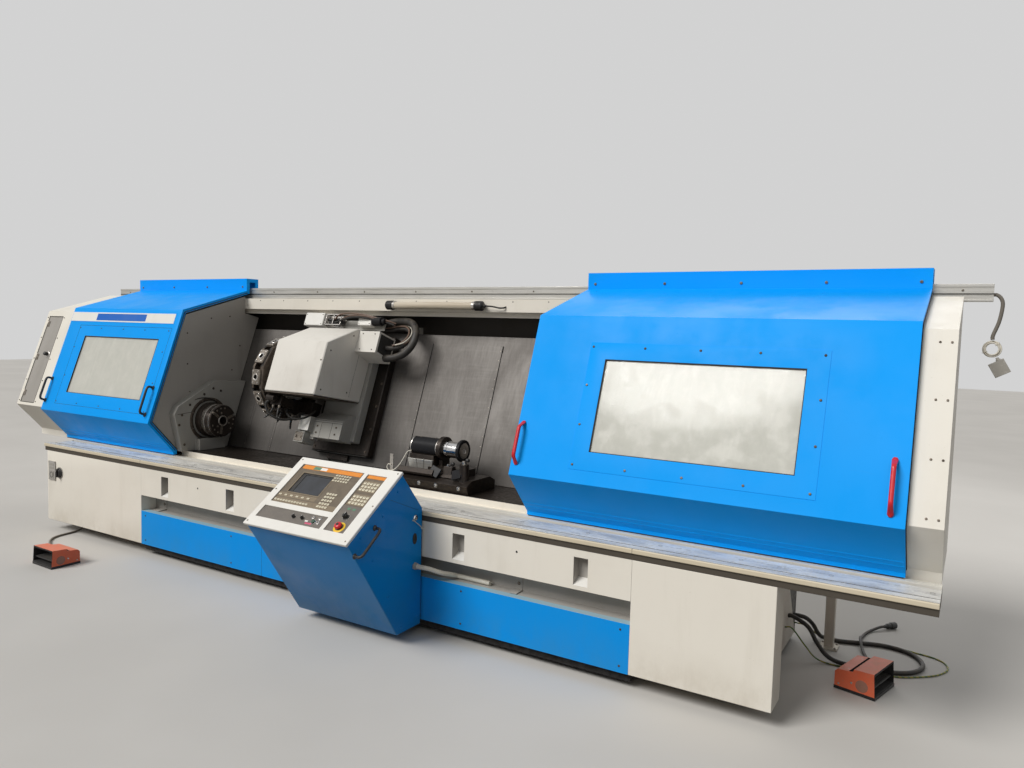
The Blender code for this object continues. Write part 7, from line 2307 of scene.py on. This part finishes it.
# Each foot switch: its name, its middle and its turn in degrees
PEDALS = (("left", 0.99, -0.4725, -91.0), ("right", 6.149, 0.732, -15.0))
PEDAL_HALF = (0.10, 0.125)


def make_rail_nose():
    """Nose, joints, bolts and end caps of the door rail."""
    nose = add_prism(
        new(),
        [
            (-0.0002, 0.6900), (-0.0070, 0.6900), (-0.0092, 0.6930), (-0.0092, 0.7100), (-0.0060, 0.7142),
            (-0.0002, 0.7142),
        ],
        RAIL_SPAN,
    )
    emit("rail_nose", "machine", nose, MACHINE, "rail_lip", 0.0012, 2, slot="worn_steel")
    joints = new()
    for x in (1.27, 3.22, 5.168):
        add_box(joints, (x, x + 0.0016), (-0.0095, -0.0002), (0.6895, 0.7146))
    emit("rail_nose_joints", "machine", joints, MACHINE, "joint_and_shade")
    bolts = new()
    for k in range(17):
        x = 0.12 + 0.395 * k
        add_turned(
            bolts,
            [
                (0.0, -0.006), (0.0052, -0.006), (0.0062, -0.0012), (0.0095, -0.0002), (0.0105, 0.0006),
                (0.0105, -0.004),
            ],
            (x, 0.1475, 0.7082), "Z", 16,
        )
    emit("rail_bolts", "machine", bolts, MACHINE, "steel")
    caps = new()
    for x in (-0.0298, 6.4708):
        add_prism(
            caps,
            [
                (0.002, 0.6585), (0.002, 0.713), (0.046, 0.713), (0.052, 0.706), (0.2, 0.706),
                (0.278, 0.7145), (0.278, 0.6585),
            ],
            (x, x + 0.001),
        )
    emit("rail_end_caps", "machine", caps, MACHINE, "rail_white", 0.0005, 1, slot="worn_steel")


def make_switch():
    """The socket plate and the main switch on the left cabinet."""
    plate = add_box(new(), (0.0292, 0.125), (-0.0086, -0.0003), (0.4192, 0.575))
    emit("socket_plate_face", "machine", plate, MACHINE, "grey_pale", 0.0015, 2, slot="grey_paint")
    parts = new()
    add_box(parts, (0.046, 0.108), (-0.0115, -0.0084), (0.432, 0.494))
    for z in (0.520, 0.548):
        add_box(parts, (0.046, 0.108), (-0.0098, -0.0084), (z - 0.009, z + 0.009))
    emit("socket_cover", "machine", parts, MACHINE, "grey_plastic", 0.0016, 2, slot="grey_plastic")
    socket = add_turned(
        new(),
        [
            (0.0, 0.0090), (0.019, 0.0090), (0.019, 0.0124), (0.0222, 0.0134), (0.0240, 0.0124),
            (0.0240, 0.0113),
        ],
        (0.077, 0, 0.463), "Y", 28, True,
    )
    emit("socket_ring", "machine", socket, MACHINE, "black_plastic")
    screws = add_each(add_screw, new(), (0.037, 0.117), -0.0085, (0.428, 0.566), "Y", 0.0036, 0.0018, True)
    emit("socket_screws", "machine", screws, MACHINE, "steel")
    collar = add_turned(
        new(), [(0.0404, 0.0002), (0.0404, 0.0032), (0.0440, 0.0042), (0.0472, 0.0030), (0.0480, 0.0002)],
        SWITCH, "Y", 44, True,
    )
    emit("switch_collar", "machine", collar, MACHINE, "grey_plastic", slot="grey_plastic")
    dial = new()
    add_turned(
        dial,
        [
            (0, -0.020), (0.011, -0.020), (0.011, 0.0004), (0.0385, 0.0004), (0.0397, 0.0020),
            (0.0392, 0.0105), (0.0372, 0.0125), (0.0300, 0.0132), (0.0285, 0.0205), (0.0270, 0.0218),
            (0, 0.0220),
        ],
        SWITCH, "Y", 44, True,
    )
    grip = [(-0.0072, -0.0335), (0.0072, -0.0335), (0.0062, 0.0338), (0, 0.0340), (-0.0062, 0.0338)]
    lever = add_prism(new(), grip, (-0.0340, -0.0120))
    lever.transform(Matrix.Translation((SWITCH[0], 0, SWITCH[2])) @ Matrix.Rotation(math.pi / 2, 4, "Z"))
    merge(dial, lever)
    emit(
        "main_switch_dial", "main_switch", dial, MACHINE, "black_plastic", 0.0010, 2,
        replaces=("main_switch",),
    )
    mark = add_box(
        new(), (SWITCH[0] - 0.0012, SWITCH[0] + 0.0012), (-0.0343, -0.0336),
        (SWITCH[2] + 0.012, SWITCH[2] + 0.031),
    )
    emit("main_switch_mark", "main_switch", mark, MACHINE, "white")
    ticks = new()
    for angle in (0, 90):
        tick = add_box(new(), (-0.0010, 0.0010), (-0.0041, -0.0034), (0.0418, 0.0462))
        tick.transform(
            Matrix.Translation((SWITCH[0], 0, SWITCH[2])) @ Matrix.Rotation(math.radians(angle), 4, "Y")
        )
        merge(ticks, tick)
    emit("switch_ticks", "machine", ticks, MACHINE, "white")


def make_bed_trim():
    """Screws, joints, plugs, brackets and bolts along the bed's front, and the rear leg's bolts."""
    screws = add_each(
        add_screw, new(), (1.32, 2.27, 3.22, 4.17, 5.12), -0.0001, (0.302, 0.118), "Y", 0.0058, 0.0028, True
    )
    emit("lower_panel_screws", "machine", screws, MACHINE, "dark_steel")
    joints = new()
    for x in (2.57, 3.87):
        add_box(joints, (x, x + 0.0014), (-0.0004, 0.002), (0.0845, 0.3345))
    emit("lower_panel_joints", "machine", joints, MACHINE, "joint_and_shade")
    plugs = new()
    for x in (1.92, 3.22, 4.52):
        add_turned(
            plugs, [(0, 0.0016), (0.0035, 0.0022), (0.0055, 0.0012), (0.0062, 0.0001)], (x, 0, 0.585), "Y",
            14, True,
        )
    emit("band_plugs", "machine", plugs, MACHINE, "dark_rubber")
    brackets = new()
    for x in (1.36, 2.9, 4.45):
        add_prism(
            brackets,
            [
                (0.1195, 0.336), (0.1195, 0.450), (0.1165, 0.450), (0.1165, 0.343), (0.052, 0.3395),
                (0.052, 0.3355),
            ],
            (x, x + 0.045),
        )
    emit("recess_brackets", "machine", brackets, MACHINE, "grey_pale", 0.0008, 1, slot="grey_paint")
    bolts = add_each(
        add_bolt, new(), (1.3825, 2.9225, 4.4725), 0.1165, (0.375, 0.425), "Y", 0.0075, 0.006, True
    )
    emit("recess_bolts", "machine", bolts, MACHINE, "steel")
    leg_bolts = new()
    for x, y in ((5.878, 1.128), (5.952, 1.128), (5.878, 1.202), (5.952, 1.202)):
        add_bolt(leg_bolts, (x, y, 0.0101), "Z", 0.006, 0.006)
    emit("leg_bolts", "machine", leg_bolts, MACHINE, "steel")


def pedal_zone(frame_of):
    """Orange outside, painted shade in black inside the open mouth."""
    inverse = frame_of.inverted()

    def choose(centre, normal):
        at = inverse @ (centre + SHIFT)
        # Painted shade: the shell's faces inside its mouth are black.
        return 1 if -0.0305 < at.x < 0.1005 and abs(at.y) < 0.1205 and 0.0235 < at.z < 0.1186 else 0
    return choose


def make_pedals():
    """The two foot switches: shell, base, cheeks, screws and ribbed treadle."""
    long, wide = PEDAL_HALF
    for side, x, y, turn in PEDALS:
        frame_of = placed(x, y, 0, Matrix.Rotation(math.radians(turn), 4, "Z"))
        shell = rounded(side + "_pedal_guard", "orange", "orange_plastic", 0.005, 3)
        zones(shell, ("orange", "joint_and_shade"), pedal_zone(frame_of))
        base = ring(
            new(), (-long - 0.0012, long + 0.0012, -wide - 0.0012, wide + 0.0012),
            (-long + 0.0005, long - 0.0005, -wide + 0.0005, wide - 0.0005), (0.0006, 0.0165),
        )
        emit(side + "_pedal_base", "machine", base, frame_of, "black_plastic", 0.0006, 1)
        cheeks = new()
        for flip, at in ((False, wide), (True, -wide)):
            add_turned(
                cheeks, [(0, 0.0018), (0.026, 0.0018), (0.0295, 0.0012), (0.0305, -0.0004)],
                (0.035, at, 0.052), "Y", 36, flip,
            )
        emit(side + "_pedal_cheeks", "machine", cheeks, frame_of, "worn_orange", slot="orange_plastic")
        screws = new()
        for flip, at in ((False, wide + 0.0001), (True, -wide - 0.0001)):
            add_screw(screws, (-0.015, at, 0.054), "Y", 0.0062, 0.0032, flip)
            add_screw(screws, (-0.078, at, 0.030), "Y", 0.0052, 0.0028, flip)
        add_each(add_screw, screws, -0.045, (-0.085, 0.085), 0.1042, "Z", 0.0045, 0.0026)
        emit(side + "_pedal_screws", "machine", screws, frame_of, "bright_steel")
        treadle = rounded(side + "_pedal_treadle", "black_plastic", "black_plastic", 0.0012, 2)
        ribs = new()
        for k in range(8):
            at = -0.004 + 0.0115 * k
            add_prism(
                ribs, [(0, 0), (0.0008, 0.0022), (0.0040, 0.0022), (0.0048, 0)], (-wide + 0.020, wide - 0.020)
            )
            bmesh.ops.translate(ribs, verts=list(ribs.verts)[-8:], vec=(0, at, 0.0578))
        ribs.transform(Matrix.Rotation(-math.pi / 2, 4, "Z"))
        emit(side + "_treadle_ribs", treadle["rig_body"], ribs, frame_of, "dark_rubber")
        if side == "left":
            profile = [
                (0.0085, 0.0), (0.014, 0.0), (0.014, 0.006), (0.0115, 0.010), (0.0105, 0.022), (0.0085, 0.022)
            ]
            gland = add_turned(new(), profile, (-long + 0.0002, -0.08, 0.03), "X", 14, True)
            emit("left_pedal_gland", "machine", gland, frame_of, "dark_rubber")


def make_back_covers():
    """Sheet covers with louvres on the machine's back, which the photograph does not show."""
    back = 1.2045
    covers, screws, slots = new(), new(), new()
    for k in range(6):
        x0 = -0.62 + 1.178 * k
        x1 = x0 + 1.15
        add_box(covers, (x0, x1), (back, back + 0.0018), (0.70, 1.90))
        add_each(
            add_screw, screws, (x0 + 0.03, (x0 + x1) / 2, x1 - 0.03), back + 0.0018, (0.73, 1.30, 1.87), "Y",
            0.0065, 0.0035,
        )
        if k in (0, 2, 5):
            for row in range(9):
                z = 1.55 + 0.028 * row
                add_prism(
                    slots,
                    [
                        (back + 0.0015, z), (back + 0.0105, z + 0.002), (back + 0.0105, z + 0.006),
                        (back + 0.0015, z + 0.018),
                    ],
                    (x0 + 0.28, x0 + 0.87),
                )
    emit("back_covers", "machine", covers, MACHINE, "hood", 0.0010, 2, slot="cream_paint")
    emit("back_cover_screws", "machine", screws, MACHINE, "steel")
    emit("back_louvres", "machine", slots, MACHINE, "hood", 0.0010, 2, slot="cream_paint")
    low, bolts = new(), new()
    for x0 in (0.55, 2.35, 4.10):
        add_box(low, (x0, x0 + 0.95), (1.2003, 1.2023), (0.18, 0.58))
        add_each(
            add_bolt, bolts, (x0 + 0.03, x0 + 0.475, x0 + 0.92), 1.2023, (0.21, 0.55), "Y", 0.0075, 0.006
        )
    emit("bed_back_covers", "machine", low, MACHINE, "grey_pale", 0.0012, 2, slot="grey_paint")
    emit("bed_back_bolts", "machine", bolts, MACHINE, "steel")


M["worn_orange"] = moulded("worn_orange", (168, 118, 100), (150, 136, 122), 0.5, 0.5, 300, (120, 104, 96))
make_rail_nose()
make_switch()
make_bed_trim()
make_pedals()
make_back_covers()
